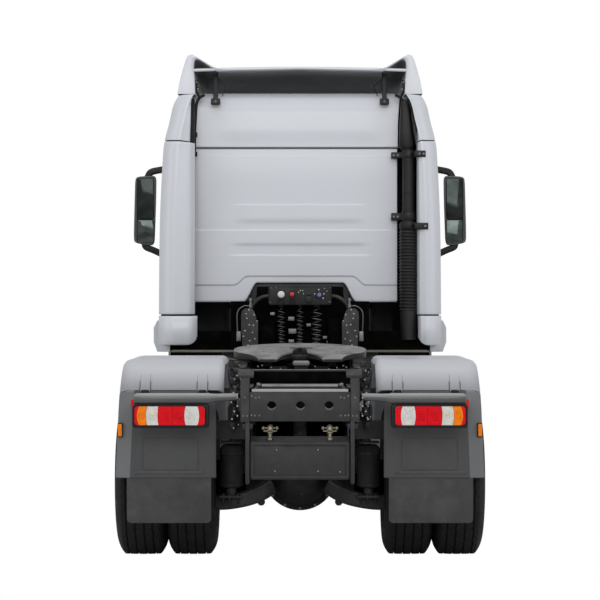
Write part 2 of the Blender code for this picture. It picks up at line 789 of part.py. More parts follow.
def air_intake():
    """Tall intake on the back wall: flat duct, pipe, ribbed bellows and elbow, with its clamps."""
    x, y = CAB_HALF - 0.247, CAB_REAR_Y - 0.145
    seam = ROOF_SEAM
    duct = prism(rounded(x - 0.06, x + 0.06, seam - 0.006, seam + 0.404, 0.02, 2), "Y", y - 0.035, y + 0.085)
    neck = [(0, seam - 0.7), (0.05, seam - 0.7), (0.05, seam + 0.02), (0, seam + 0.02)]
    low = REAR_FLOOR_Z - 0.08
    profile = [(0, low - 0.234), (0.064, low - 0.234), (0.07, low - 0.03)]
    ribs = 10
    pitch = (seam - 0.666 - low) / ribs
    for i in range(ribs):
        z = low + pitch * i
        profile += [(0.073, z + 0.008), (0.064, z + pitch * 0.62)]
    profile += [(0.073, seam - 0.666), (0, seam - 0.64)]
    piece = joined(
        turned(profile, "Z", (x, y, 0), 12),
        turned(neck, "Z", (x, y, 0), 12),
        duct,
        box(x - 0.134, x + 0.135, y + 0.025, CAB_REAR_Y - SEAT, seam - 0.086, seam - 0.026),
        box(x - 0.134, x + 0.069, y + 0.025, CAB_REAR_Y - SEAT, seam - 0.59, seam - 0.531),
    )
    finish(piece, "air_intake", "dark_plastic")


# Cab inside


def interior():
    top = REAR_FLOOR_Z + 0.2
    back, face = FRONT_SEAM_Y - 0.29, FOOT_FRONT_Y
    outline = [
        (back, top + 0.01),
        (back, top + 0.08),
        (back + 0.1, top + 0.16),
        (face, top + 0.06),
        (face, top - 0.24),
        (back + 0.25, top - 0.34),
        (back + 0.16, top - 0.34),
        (back + 0.14, top + 0.005),
    ]
    half = CAB_HALF - 0.348
    dash = prism(outline, "X", -half, half)
    seat_x = (TUNNEL_HALF + CAB_HALF - 0.248) / 2
    column = rod((-seat_x, back + 0.15, top - 0.14), (-seat_x, back - 0.05, top + 0.23), 0.03, 8)
    section = []
    for i in range(5):
        angle = 2 * math.pi * i / 5
        section.append((0.21 + 0.016 * math.cos(angle), 0.016 * math.sin(angle)))
    rim = turned(section, "Z", (0, 0, 0), 16, ring=True)
    spokes = [box(-0.2, 0.2, -0.02, 0.02, -0.012, 0.01), box(-0.02, 0.02, -0.2, 0, -0.012, 0.01)]
    steering = joined(rim, *spokes)
    steering.data.transform(Matrix.Rotation(math.radians(30), 4, "X"))
    moved(steering, -seat_x, back - 0.05, top + 0.23)
    console = box(-0.36, 0.36, TUNNEL_FRONT + SEAT, TUNNEL_FRONT + 0.2, FLOOR_Z + FLOOR_T + SEAT, top - 0.24)
    finish(joined(dash, column, steering, console), "dashboard", "trim_plastic")

    low = FLOOR_Z + FLOOR_T + SEAT
    rear = DOOR_REAR_Y + 0.08
    half = (CAB_HALF - 0.258 - TUNNEL_HALF) / 2 - 0.005
    cushion = prism(rounded(seat_x - half, seat_x + half, rear, rear + 0.48, 0.05, 2), "Z", low + 0.4, low + 0.52)
    pedestal = box(seat_x - half + 0.09, seat_x + half - 0.09, rear + 0.06, rear + 0.4, low, low + 0.42)
    back_line = [(rear, low + 0.44), (rear + 0.12, low + 0.44), (rear + 0.02, low + 1.16), (rear - 0.08, low + 1.16)]
    head_line = [
        (rear - 0.04, low + 1.14),
        (rear + 0.02, low + 1.14),
        (rear, low + 1.34),
        (rear - 0.08, low + 1.34),
    ]
    backrest = prism(back_line, "X", seat_x - half + 0.01, seat_x + half - 0.01)
    headrest = prism(head_line, "X", seat_x - half + 0.1, seat_x + half - 0.1)
    both_sides(joined(cushion, pedestal, backrest, headrest), "seat", "seat_fabric")

    inner = CAB_HALF - 0.168
    behind = CAB_REAR_Y + WALL
    above = TUNNEL_TOP + FLOOR_T + SEAT
    bunk = prism(rounded(behind + 0.01, DOOR_REAR_Y - 0.3, above, above + 0.2, 0.03, 2), "X", -inner, inner)
    foot = REAR_FLOOR_Z + FLOOR_T + SEAT
    legs = [box(a, b, behind + 0.03, DOOR_REAR_Y - 0.36, foot, above + 0.05) for a, b in ((-0.9, -0.6), (0.6, 0.9))]
    finish(joined(bunk, *legs), "bunk", "seat_fabric")


# Chassis


def rail():
    """One side rail: a channel that opens inwards."""
    out, low = FRAME_HALF, RAIL_TOP - RAIL_H
    inn = out - RAIL_FLANGE
    t = RAIL_T
    outline = [
        (out, low),
        (out, RAIL_TOP),
        (inn, RAIL_TOP),
        (inn, RAIL_TOP - t),
        (out - t, RAIL_TOP - t),
        (out - t, low + t),
        (inn, low + t),
        (inn, low),
    ]
    return prism(outline, "Y", RAIL_REAR_Y, RAIL_FRONT_Y)


def ladder_frame():
    """Two channel rails with cross members, spring hangers and brackets welded on."""
    right = cut(rail(), box(0, 1, REAR_Y, REAR_Y + 0.3, RAIL_LOW - 0.02, REAR_RAIL_Z))
    frame = joined(mirrored(right), right)
    inside = FRAME_HALF - RAIL_T / 2
    members = (
        # y, half depth, bottom and top below the rails' top
        (REAR_AXLE_Y - 0.42, 0.05, 0.19, 0.09),
        (REAR_AXLE_Y + 0.32, 0.06, 0.25, 0.05),
        (REAR_AXLE_Y + 1.5, 0.05, 0.24, 0.14),
        (CAB_REAR_Y - 0.39, 0.05, 0.13, 0.03),
        (RAIL_FRONT_Y - 0.13, 0.06, 0.26, 0.13),
    )
    parts = []
    for y, half, low, high in members:
        parts.append(box(-inside, inside, y - half, y + half, RAIL_TOP - low, RAIL_TOP - high))
    tie_z = RAIL_TOP - 0.04
    parts.append(tube([(-inside, REAR_Y + 0.2, tie_z), (inside, REAR_Y + 0.2, tie_z)], 0.022, 8))
    parts.append(box(-0.8, 0.8, RAIL_FRONT_Y + 0.02, RAIL_FRONT_Y + 0.08, RAIL_TOP - 0.225, CAB_BOTTOM - 0.006))
    for side in (-1, 1):
        x_low, x_high = sorted((side * (FRAME_HALF - 0.02), side * (FRAME_HALF + 0.18)))
        # arms over the air springs
        parts.append(box(x_low, x_high, SPRING_Y - 0.06, SPRING_Y + 0.06, SPRING_TOP, RAIL_LOW + 0.02))
        # hangers of the rear trailing arms
        a, b = sorted((side * (FRAME_HALF - 0.03), side * (FRAME_HALF + 0.07)))
        parts.append(box(a, b, REAR_AXLE_Y + 0.62, REAR_AXLE_Y + 0.76, HANGER_LOW, RAIL_LOW + 0.02))
        # front spring hangers
        for y in (FRONT_AXLE_Y - LEAF_HALF, FRONT_AXLE_Y + LEAF_HALF):
            parts.append(box(a, b, y - 0.05, y + 0.05, LEAF_SEAT, RAIL_LOW + 0.02))
        c, d = sorted((side * (FRAME_HALF - 0.06), side * (FRAME_HALF + 0.02)))
        # cab tilt bracket
        root = RAIL_FRONT_Y - 0.16
        bracket = [
            (root, RAIL_TOP - 0.23),
            (TILT_Y - 0.16, RAIL_TOP - 0.23),
            (TILT_Y + 0.02, TILT_Z - 0.02),
            (TILT_Y + 0.02, TILT_Z + 0.04),
            (TILT_Y - 0.02, TILT_Z + 0.04),
            (TILT_Y - 0.2, RAIL_TOP - 0.17),
            (root, RAIL_TOP - 0.17),
        ]
        parts.append(prism(bracket, "X", c, d))
    finish(joined(frame, *parts), "ladder_frame", "chassis_paint")


def cab_mounts():
    """Brackets on the rails that carry the cab's rear on rubber posts."""
    rear = CAB_REAR_Y + 0.26
    arm_top = FLOOR_Z + 0.03
    foot = box(FRAME_HALF - 0.06, FRAME_HALF + 0.02, rear, rear + 0.08, RAIL_TOP + SEAT, arm_top)
    arm = box(FRAME_HALF - 0.03, 0.62, rear, rear + 0.08, arm_top - 0.08, arm_top)
    post = [
        (0, arm_top - 0.05),
        (0.05, arm_top - 0.05),
        (0.05, REAR_FLOOR_Z - 0.06),
        (0.035, REAR_FLOOR_Z - 0.04),
        (0.035, REAR_FLOOR_Z - SEAT),
        (0, REAR_FLOOR_Z - SEAT),
    ]
    both_sides(joined(foot, arm, turned(post, "Z", (0.57, rear + 0.04, 0), 10)), "cab_mount", "chassis_paint")


def rear_beam():
    """End beam with its round holes, the lamp arms and hoods beside it and the blank plate box below."""
    rear = RAIL_REAR_Y - SEAT
    top = RAIL_TOP - 0.025
    beam = box(-FRAME_HALF, FRAME_HALF, rear - BEAM_T, rear, top - 0.19, top)
    for x, r in ((-0.182, 0.029), (0, 0.025), (0.182, 0.029)):
        cut(beam, turned([(0, -0.1), (r, -0.1), (r, 0.1), (0, 0.1)], "Y", (x, rear, top - 0.09), 14))
    roll = [(rear - 0.025, top - 0.01), (rear, top - 0.01), (rear, top + 0.007), (rear - 0.018, top + 0.007)]
    joined(beam, prism(roll, "X", -FRAME_HALF + 0.055, FRAME_HALF - 0.055))
    for side in (-1, 1):
        joined(beam, *lamp_carrier(side, rear))
        a, b = sorted((side * 0.33, side * 0.36))
        joined(beam, box(a, b, rear - HOLDER_DEPTH, rear - 0.006, top - 0.591, top - 0.175))
    low = rear - HOLDER_DEPTH
    tray = prism(rounded(-0.345, 0.345, top - 0.562, top - 0.316, 0.02), "Y", low, low + 0.03)
    cut(tray, prism(rounded(-0.297, 0.297, top - 0.539, top - 0.339, 0.008, 2), "Y", low - 0.01, low + 0.018))
    stubs = [box(x - 0.02, x + 0.02, low + 0.002, low + 0.03, top - 0.325, top - 0.265) for x in (-0.185, 0.185)]
    finish(joined(beam, tray, *stubs), "rear_beam", "rear_beam_paint")


def lamp_carrier(side, rear):
    """Rail cap, arm, hood over the lamp and the plate that carries the lamp."""
    y = REAR_Y + 0.12
    a, b = sorted((side * (FRAME_HALF - 0.052), side * (FRAME_HALF + 0.014)))
    cap = box(a, b, rear - BEAM_T - 0.006, rear - 0.001, RAIL_TOP - 0.225, RAIL_TOP - 0.005)
    c, d = sorted((side * (FRAME_HALF + SEAT), side * (FRAME_HALF + 0.014)))
    flange = box(c, d, rear - 0.01, y + 0.06, RAIL_TOP - 0.13, RAIL_TOP - 0.02)
    ends = (FRAME_HALF + 0.004, LAMP_IN - 0.085, LAMP_IN + 0.035, LAMP_OUT + 0.007)
    hood = tube([(side * x, y, RAIL_TOP - 0.074) for x in ends], 0.034, 10)
    e, f = sorted((side * (LAMP_IN + 0.015), side * (LAMP_OUT - 0.008)))
    plate = box(e, f, y - 0.015, y + 0.01, LAMP_LOW + 0.006, RAIL_TOP - 0.07)
    return cap, flange, hood, plate


def rear_lamps():
    """Each rear lamp is a shallow housing with a lens block standing out of it."""
    rear = REAR_Y + 0.105 - SEAT
    low, high = LAMP_LOW, LAMP_LOW + 0.1535
    housing = prism(rounded(LAMP_IN, LAMP_OUT, low, high, 0.018, 2), "Y", rear - 0.06, rear)
    lens = prism(rounded(LAMP_IN + 0.027, LAMP_OUT - 0.017, low + 0.017, high - 0.0115, 0.02, 2), "Y", rear - 0.07, rear - 0.05)
    both_sides(joined(housing, lens), "rear_lamp", "lamp_lens")


def guard_path():
    """The mudguard's line seen from the side, from its rear lower edge over the wheel to the front."""
    radius = 0.34
    steps = 5
    points = [(GUARD_REAR_Y, GUARD_BOTTOM)]
    for i in range(steps + 1):
        angle = math.pi - math.pi / 2 * i / steps
        points.append(
            (GUARD_REAR_Y + radius + radius * math.cos(angle), GUARD_TOP - radius + radius * math.sin(angle))
        )
    for i in range(steps + 1):
        angle = math.pi / 2 - math.pi / 2 * i / steps
        points.append(
            (GUARD_FRONT_Y - radius + radius * math.cos(angle), GUARD_TOP - radius + radius * math.sin(angle))
        )
    points.append((GUARD_FRONT_Y, GUARD_TOP - 0.557))
    return points


GUARD_STATIONS = (
    # x, how far the skin lies inside the top line
    (GUARD_IN, 0.03),
    (GUARD_IN + 0.045, 0.0),
    (GUARD_OUT - 0.09, 0.0),
    (GUARD_OUT - 0.035, 0.012),
    (GUARD_OUT, 0.045),
)


def guard_ring(x, drop):
    """The skin's section at one station: its outer line there and its inner line back."""
    ring = []
    outer = x > GUARD_OUT - 0.1
    for inset in (drop, drop + GUARD_T):
        line = []
        for y, z in guard_path():
            toward = 1 if y > REAR_AXLE_Y else -1
            height = z - (inset if z > GUARD_TOP - 0.45 else 0)
            lean = GUARD_LEAN * (height - GUARD_BOTTOM) / (GUARD_TOP - GUARD_BOTTOM) if outer else 0
            line.append(Vector((x - lean, y - toward * inset, height)))
        ring.append(line)
    return ring[0] + ring[1][::-1]


def mudguards():
    """Mudguard skins over the twin wheels, narrower below the rear seam, with a flap behind."""
    skin = loft([guard_ring(x, drop) for x, drop in GUARD_STATIONS])
    rear = GUARD_REAR_Y
    cut(skin, box(GUARD_IN - 0.1, GUARD_IN + 0.051, rear - 0.1, rear + 0.1, GUARD_BOTTOM - 0.1, GUARD_SEAM_Z))
    outline = rounded(0.583, 1.139, GUARD_BOTTOM - 0.291, GUARD_BOTTOM + 0.057, 0.015, 2)
    flap = prism(outline, "Y", GUARD_REAR_Y - 0.004, GUARD_REAR_Y + 0.006)
    arm_z = GUARD_TOP - 0.247
    arms = []
    for y in (REAR_AXLE_Y - 0.3, REAR_AXLE_Y + 0.3):
        arms.append(rod((FRAME_HALF + SEAT, y, arm_z), (0.6, y, arm_z), 0.022, 6))
        arms.append(box(0.575, 0.625, y - 0.02, y + 0.02, arm_z - 0.02, GUARD_TOP - GUARD_T / 2))
    both_sides(joined(skin, flap, *arms), "rear_mudguard", "grey_plastic")


def air_springs():
    """Rolling-lobe bellows behind the rear axle."""
    low, high = ARM_TOP + SEAT, SPRING_TOP - SEAT
    tall = high - low
    profile = [
        (0, low),
        (0.068, low),
        (0.074, low + tall * 0.13),
        (SPRING_R, low + tall * 0.22),
        (SPRING_R, low + tall * 0.78),
        (0.077, low + tall * 0.91),
        (0.066, high),
        (0, high),
    ]
    spring = turned(profile, "Z", (SPRING_X, SPRING_Y, 0), 16)
    both_sides(spring, "air_spring", "rubber", (SPRING_X, SPRING_Y, (low + high) / 2))


def rear_axle():
    """Banjo housing with tapered tubes, spring beams, dampers and brake chambers."""
    y = REAR_AXLE_Y
    section = [(0, -0.14), (0.16, -0.14), (0.235, -0.06), (0.235, 0.06), (0.15, 0.2), (0.09, 0.24), (0, 0.24)]
    parts = [turned(section, "Y", (0, y, AXLE_Z), 18)]
    sides = 10
    for side in (-1, 1):
        rings = []
        for x, r in ((0.1, 0.13), (0.3, 0.085), (DRUM_X - SEAT, 0.07)):
            ring = []
            for k in range(sides):
                a = 2 * math.pi * k / sides
                ring.append(Vector((side * x, y + r * math.cos(a), AXLE_Z + r * math.sin(a))))
            rings.append(ring)
        parts.append(loft(rings))
        x_low, x_high = sorted((side * 0.42, side * 0.52))
        parts.append(box(x_low, x_high, SPRING_Y - 0.1, y + 0.12, ARM_TOP - 0.06, ARM_TOP))
        arm_end = HANGER_LOW - SEAT - 0.03
        parts.append(rod((side * 0.43, y + 0.05, ARM_TOP), (side * 0.43, y + 0.69, arm_end), 0.03, 8))
        parts.append(rod((side * 0.3, y - 0.15, ARM_TOP), (side * 0.3, y - 0.05, RAIL_LOW - 0.06), 0.032, 8))
        parts.append(box(*sorted((side * 0.28, side * 0.34)), y - 0.2, y, ARM_TOP - 0.06, ARM_TOP + 0.02))
        chamber = AXLE_Z + 0.075
        parts.append(rod((side * 0.36, y + 0.22, chamber), (side * 0.36, y + 0.03, chamber), 0.07, 10))
    finish(joined(*parts), "rear_axle", "cast_iron", (0, y, AXLE_Z))


def fifth_wheel():
    """Base plate with two pedestals, and the rocking top plate with its throat and ramps."""
    y = FIFTH_Y
    low = RAIL_TOP + SEAT
    edge = FRAME_HALF + 0.035
    base = box(-edge, edge, y - 0.4, y + 0.4, low, low + BASE_T)
    parts = [base]
    for side in (-1, 1):
        a, b = sorted((side * 0.27, side * 0.36))
        top = PIVOT_Z + 0.035
        foot = [(y - 0.16, low), (y + 0.16, low), (y + 0.05, top), (y - 0.05, top)]
        parts.append(prism(foot, "X", a, b))
    pedestal = joined(*parts)
    hole = PIN_R + PIN_GAP
    cut(pedestal, turned([(0, -1), (hole, -1), (hole, 1), (0, 1)], "X", (0, y, PIVOT_Z), 20))
    cut(pedestal, box(-0.18, 0.18, y - 0.25, y + 0.25, RAIL_TOP - 0.1, PIVOT_Z))
    finish(pedestal, "fifth_wheel_base", "chassis_paint")

    top, under = PLATE_TOP, PLATE_TOP - PLATE_T
    outline = []
    for i in range(13):
        angle = math.pi * i / 12
        outline.append((PLATE_HALF * math.cos(angle), PLATE_FRONT * math.sin(angle)))
    outline += [
        (-PLATE_HALF, -0.12),
        (-0.4, -PLATE_REAR + 0.08),
        (-0.3, -PLATE_REAR - 0.02),
        (-0.3, -RAMP_REACH),
        (-0.17, -RAMP_REACH),
        (-THROAT_R, -0.12),
    ]
    for i in range(1, 6):
        angle = math.pi - math.pi * i / 6
        outline.append((THROAT_R * math.cos(angle), -0.02 + THROAT_R * math.sin(angle)))
    outline += [
        (THROAT_R, -0.12),
        (0.17, -RAMP_REACH),
        (0.3, -RAMP_REACH),
        (0.3, -PLATE_REAR - 0.02),
        (0.4, -PLATE_REAR + 0.08),
        (PLATE_HALF, -0.12),
    ]
    plate = prism([(a, b + y) for a, b in outline], "Z", under, top)
    end, start = y - RAMP_REACH - 0.1, y - 0.3
    above = [(end, top - 0.07), (start, top), (start, top + 0.1), (end, top + 0.1)]
    cut(plate, prism(above, "X", -1, 1))
    ribs = []
    for side in (-1, 1):
        a, b = sorted((side * 0.2, side * 0.255))
        ribs.append(box(a, b, y - 0.3, y + 0.3, under - 0.05, under + 0.01))
        c, d = sorted((side * 0.2, side * (0.27 - RUNNING_GAP)))
        ribs.append(box(c, d, y - 0.05, y + 0.05, PIVOT_Z - 0.03, under + 0.01))
        pin_end, pin_root = side * 0.345, side * 0.23
        ribs.append(rod((pin_root, y, PIVOT_Z), (pin_end, y, PIVOT_Z), PIN_R, 20))
    ribs.append(box(-0.24, 0.24, y + 0.12, y + 0.3, under - 0.05, under + 0.01))
    joined(plate, *ribs)
    turned_about(plate, "X", (0, y, PIVOT_Z), PLATE_TILT)
    finish(plate, "fifth_wheel_plate", "worn_steel", (0, y, PIVOT_Z))


def line_gantry():
    """Arched stand behind the cab with the coupling box for the trailer lines."""
    y = CAB_REAR_Y - 0.38
    low = RAIL_TOP + SEAT
    legs = []
    for side in (-1, 1):
        a, b = sorted((side * (FRAME_HALF - 0.035), side * (FRAME_HALF + 0.085)))
        legs.append(box(a, b, y - 0.01, y + 0.01, low, RAIL_TOP + 0.51))
        c, d = sorted((side * (FRAME_HALF - 0.075), side * (FRAME_HALF - 0.001)))
        legs.append(box(c, d, y - 0.05, y + 0.05, low, RAIL_TOP + 0.02))
        bend = ((0.015, 0.41), (0.005, 0.51), (-0.055, 0.575), (-0.185, 0.59))
        legs.append(tube([(side * (FRAME_HALF + dx), y, RAIL_TOP + dz) for dx, dz in bend], 0.018, 8))
    box_low = RAIL_TOP + 0.521
    half = FRAME_HALF - 0.138
    panel = prism(rounded(-half, half, box_low, box_low + 0.161, 0.015, 2), "Y", y - 0.07, y + 0.05)
    finish(joined(panel, *legs), "line_gantry", "chassis_paint")
    for name, x, r, material in (
        ("air_coil_left", -0.15, 0.032, "rubber"),
        ("power_coil", 0.0, 0.026, "rubber"),
        ("air_coil_right", 0.13, 0.044, "rubber"),
    ):
        foot, head = RAIL_TOP + 0.14, box_low - SEAT
        coil = turned([(0, foot), (r, foot), (r, head), (0, head)], "Z", (x, y - 0.01, 0), 10)
        finish(coil, name, material)


def side_tanks():
    """Fuel tank on the right, battery and air box on the left, silencer box behind the tank."""
    top = RAIL_TOP - 0.19
    inn, out = FRAME_HALF + 0.06, CAB_HALF
    near, far = FRAME_HALF + SEAT, FRAME_HALF + 0.1
    stay_low, stay_high = RAIL_TOP - 0.59, RAIL_TOP - 0.09
    front = CAB_REAR_Y + 0.03
    tank = prism(rounded(inn, out, top - 0.58, top, 0.08), "Y", front - 1.1, front)
    for y in (front - 0.85, front - 0.25):
        joined(tank, box(near, far, y - 0.05, y + 0.05, stay_low, stay_high))
    finish(tank, "fuel_tank", "aluminium")
    crate = prism(rounded(-out, -inn, top - 0.5, top + 0.02, 0.04), "Y", front - 0.65, front)
    joined(crate, box(-far, -near, front - 0.55, front - 0.15, stay_low, stay_high))
    finish(crate, "battery_box", "dark_plastic")
    muffler = prism(rounded(-out + 0.02, -inn, top - 0.6, top - 0.04, 0.14, 4), "Y", front - 1.47, front - 0.69)
    joined(muffler, box(-far, -near, front - 1.25, front - 0.95, stay_low, stay_high))
    finish(muffler, "silencer", "aluminium")


def driveline():
    """Engine as one plain block with its radiator ahead, the gearbox and the shaft to the rear axle."""
    half = RAIL_IN - 0.01
    rear, front = TUNNEL_FRONT - 1.12, TUNNEL_FRONT - 0.07
    engine = box(-half, half, rear, front, ENGINE_BOTTOM, ENGINE_TOP)
    gearbox = box(-0.24, 0.24, rear - 0.85, rear + 0.02, ENGINE_BOTTOM + 0.06, ENGINE_TOP - 0.54)
    nose = REAR_AXLE_Y + 0.24 + SEAT
    shaft_z = AXLE_Z + 0.01
    line = [(0, rear - 0.83, ENGINE_BOTTOM + 0.23), (0, nose + 0.12, shaft_z), (0, nose, shaft_z)]
    shaft = tube(line, 0.05, 12)
    cold, top = TUNNEL_FRONT, FLOOR_Z - 0.04
    core = box(-half, half, cold, cold + 0.1, RAIL_TOP - 0.12, top)
    wide = box(-0.45, 0.45, cold, cold + 0.1, RAIL_TOP + 0.012, top)
    link = box(-0.1, 0.1, front - 0.01, cold + 0.01, top - 0.13, top - 0.02)
    finish(joined(engine, gearbox, shaft, link, core, wide), "driveline", "cast_iron")


def front_axle():
    """Dropped beam on its leaf springs, with a boss at each end for the kingpin."""
    y = FRONT_AXLE_Y
    half = KINGPIN_X - 0.02
    line = ((half, 0.0), (0.55, -0.02), (0.42, -0.09))
    beam_line = [(-x, AXLE_Z + dz) for x, dz in line] + [(x, AXLE_Z + dz) for x, dz in reversed(line)]
    upper = [(x, z + BEAM_H / 2) for x, z in beam_line]
    lower = [(x, z - BEAM_H / 2) for x, z in reversed(beam_line)]
    parts = [prism(upper + lower, "Y", y - BEAM_W / 2, y + BEAM_W / 2)]
    low = AXLE_Z + 0.005
    rise = LEAF_SEAT - SEAT - LEAF_T - low
    for side in (-1, 1):
        boss = turned([(0, -0.07), (0.045, -0.07), (0.045, 0.07), (0, 0.07)], "Z", (side * KINGPIN_X, y, AXLE_Z), 12)
        parts.append(boss)
        x = side * 0.43
        a, b = sorted((x - 0.04, x + 0.04))
        leaf = []
        for i in range(7):
            share = i / 6 * 2 - 1
            leaf.append((y + LEAF_HALF * share, low + rise * share * share))
        outline = leaf + [(p, q + LEAF_T) for p, q in reversed(leaf)]
        parts.append(prism(outline, "X", a, b))
        parts.append(box(a, b, y - 0.06, y + 0.06, AXLE_Z - 0.05, low + 0.03))
    finish(joined(*parts), "front_axle", "cast_iron", (0, y, AXLE_Z))


def knuckles():
    """Steering knuckle: a fork round the beam's boss and the stub that carries the hub."""
    x, y = KINGPIN_X, FRONT_AXLE_Y
    upper = box(x - 0.05, x + 0.1, y - 0.05, y + 0.05, AXLE_Z + 0.07 + SEAT, AXLE_Z + 0.12)
    lower = box(x - 0.05, x + 0.1, y - 0.05, y + 0.05, AXLE_Z - 0.12, AXLE_Z - 0.07 - SEAT)
    web = box(x + 0.052, x + 0.1, y - 0.06, y + 0.06, AXLE_Z - 0.12, AXLE_Z + 0.12)
    stub = rod((x + 0.08, y, AXLE_Z), (FRONT_WHEEL_X + FRONT_DISH - DISC_BACK - SEAT, y, AXLE_Z), 0.045, 12)
    arm = box(x - 0.03, x + 0.03, y - 0.2, y - 0.02, AXLE_Z - 0.12, AXLE_Z - 0.085)
    both_sides(joined(upper, lower, web, stub, arm), "knuckle", "cast_iron", (x, y, AXLE_Z))


def tyre_profile(centre):
    """Tyre section as (radius, place along the axle) points round a centre plane."""
    bead = RIM_R + SEAT
    half = TYRE_W / 2
    side = [
        (bead, RIM_HALF - 0.014),
        (bead + 0.045, half - 0.018),
        (TYRE_R - 0.11, half),
        (TYRE_R - 0.035, half - 0.013),
        (TYRE_R, TREAD_HALF),
    ]
    ring = side + [(r, -t) for r, t in reversed(side)]
    return [(r, centre + t) for r, t in ring]


def rim_edge(centre, way):
    """The barrel's outside from one bead seat to the other, the way it is walked."""
    flange = RIM_R + 0.012
    return [
        (flange, centre + way * RIM_HALF),
        (RIM_R, centre + way * (RIM_HALF - 0.012)),
        (RIM_R, centre - way * (RIM_HALF - 0.012)),
        (flange, centre - way * RIM_HALF),
    ]


def rim_face(centre, dish):
    """Hub, disc and the barrel's outer lip. The dish says how far out the disc stands."""
    face = centre + dish
    return [
        (0, face + 0.1),
        (HUB_R * 0.8, face + 0.1),
        (HUB_R, face + 0.012),
        (DISC_R, face + 0.012),
        (BARREL_R, centre + RIM_HALF - 0.06),
        (BARREL_R, centre + RIM_HALF),
    ]


def front_rim_profile(centre, dish):
    back = centre + dish - DISC_BACK
    return rim_face(centre, dish) + rim_edge(centre, 1) + [
        (BARREL_R, centre - RIM_HALF),
        (BARREL_R, centre + RIM_HALF - 0.085),
        (DISC_R - 0.01, back),
        (0, back),
    ]


def twin_rim_profile(outer, inner, dish):
    """Both barrels with the bridge between them, and the brake drum behind the disc."""
    return rim_face(outer, dish) + rim_edge(outer, 1) + [
        (RIM_R - 0.006, outer - RIM_HALF),
        (RIM_R - 0.006, inner + RIM_HALF),
    ] + rim_edge(inner, 1) + [
        (BARREL_R, inner - RIM_HALF),
        (BARREL_R, outer + RIM_HALF - 0.085),
        (DISC_R - 0.01, outer + dish - DISC_BACK),
        (DRUM_R, outer + dish - 0.045),
        (DRUM_R, DRUM_X),
        (0, DRUM_X),
    ]


def wheels():
    """Front wheels with one tyre each, and rear wheels with a joined pair."""
    x, y = FRONT_WHEEL_X, FRONT_AXLE_Y
    tyre = turned(tyre_profile(x), "X", (0, y, AXLE_Z), WHEEL_STEPS, ring=True)
    both_sides(tyre, "front_tyre", "tyre_rubber", (x, y, AXLE_Z))
    rim = turned(front_rim_profile(x, FRONT_DISH), "X", (0, y, AXLE_Z), WHEEL_STEPS)
    both_sides(rim, "front_rim", "rim_steel", (x, y, AXLE_Z))

    y = REAR_AXLE_Y
    outer, inner = REAR_TWIN_X + TWIN_PITCH / 2, REAR_TWIN_X - TWIN_PITCH / 2
    for name, centre in (("rear_tyre_outer", outer), ("rear_tyre_inner", inner)):
        tyre = turned(tyre_profile(centre), "X", (0, y, AXLE_Z), WHEEL_STEPS, ring=True)
        both_sides(tyre, name, "tyre_rubber", (REAR_TWIN_X, y, AXLE_Z))
    twin = turned(twin_rim_profile(outer, inner, REAR_DISH), "X", (0, y, AXLE_Z), WHEEL_STEPS)
    both_sides(twin, "rear_rims", "rim_steel", (REAR_TWIN_X, y, AXLE_Z))


def bumper_plan(front, half, depth=0.05):
    """A wrap-round bumper's plan: front face, round corners and short sides."""
    radius = 0.22
    steps = 4
    outer, inner = [], []
    for i in range(steps + 1):
        angle = math.pi / 2 * i / steps
        outer.append((half - radius + radius * math.cos(angle), front - radius + radius * math.sin(angle)))
        r = radius - depth
        inner.append((half - radius + r * math.cos(angle), front - radius + r * math.sin(angle)))
    outer = outer + [(-x, y) for x, y in reversed(outer)]
    inner = inner + [(-x, y) for x, y in reversed(inner)]
    return outer + inner[::-1]


BUMPER_LEVELS = (
    # z, front y, half width
    (CAB_BOTTOM - 0.76, FRONT_Y - 0.05, CAB_HALF + 0.032),
    (CAB_BOTTOM - 0.7, FRONT_Y, CAB_HALF + 0.072),
    (CAB_BOTTOM - 0.34, FRONT_Y, CAB_HALF + 0.072),
    (CAB_BOTTOM - 0.1, FRONT_Y - 0.08, CAB_HALF + 0.032),
)


def front_bumper():
    """Wrap-round bumper on two arms, with a recess for each headlamp and a low one in the middle."""
    rings = []
    for z, front, half in BUMPER_LEVELS:
        rings.append([Vector((x, y, z)) for x, y in bumper_plan(front, half)])
    bumper = loft(rings)
    low = CAB_BOTTOM - 0.52
    arm_y = RAIL_FRONT_Y + SEAT
    for side in (-1, 1):
        a, b = sorted((side * (FRAME_HALF - 0.06), side * (FRAME_HALF - 0.01)))
        joined(bumper, box(a, b, arm_y, FRONT_Y - 0.02, low, low + 0.1))
        joined(bumper, box(a, b, arm_y, RAIL_FRONT_Y + 0.03, low, RAIL_TOP - 0.235))
        c, d = sorted((side * (CAB_HALF - 0.408), side * (CAB_HALF - 0.028)))
        cut(bumper, box(c, d, FRONT_Y - 0.025, FRONT_Y + 0.2, low - 0.1, low + 0.12))
    cut(bumper, box(-0.55, 0.55, FRONT_Y - 0.03, FRONT_Y + 0.2, low - 0.12, low - 0.02))
    finish(bumper, "front_bumper", "body_paint")


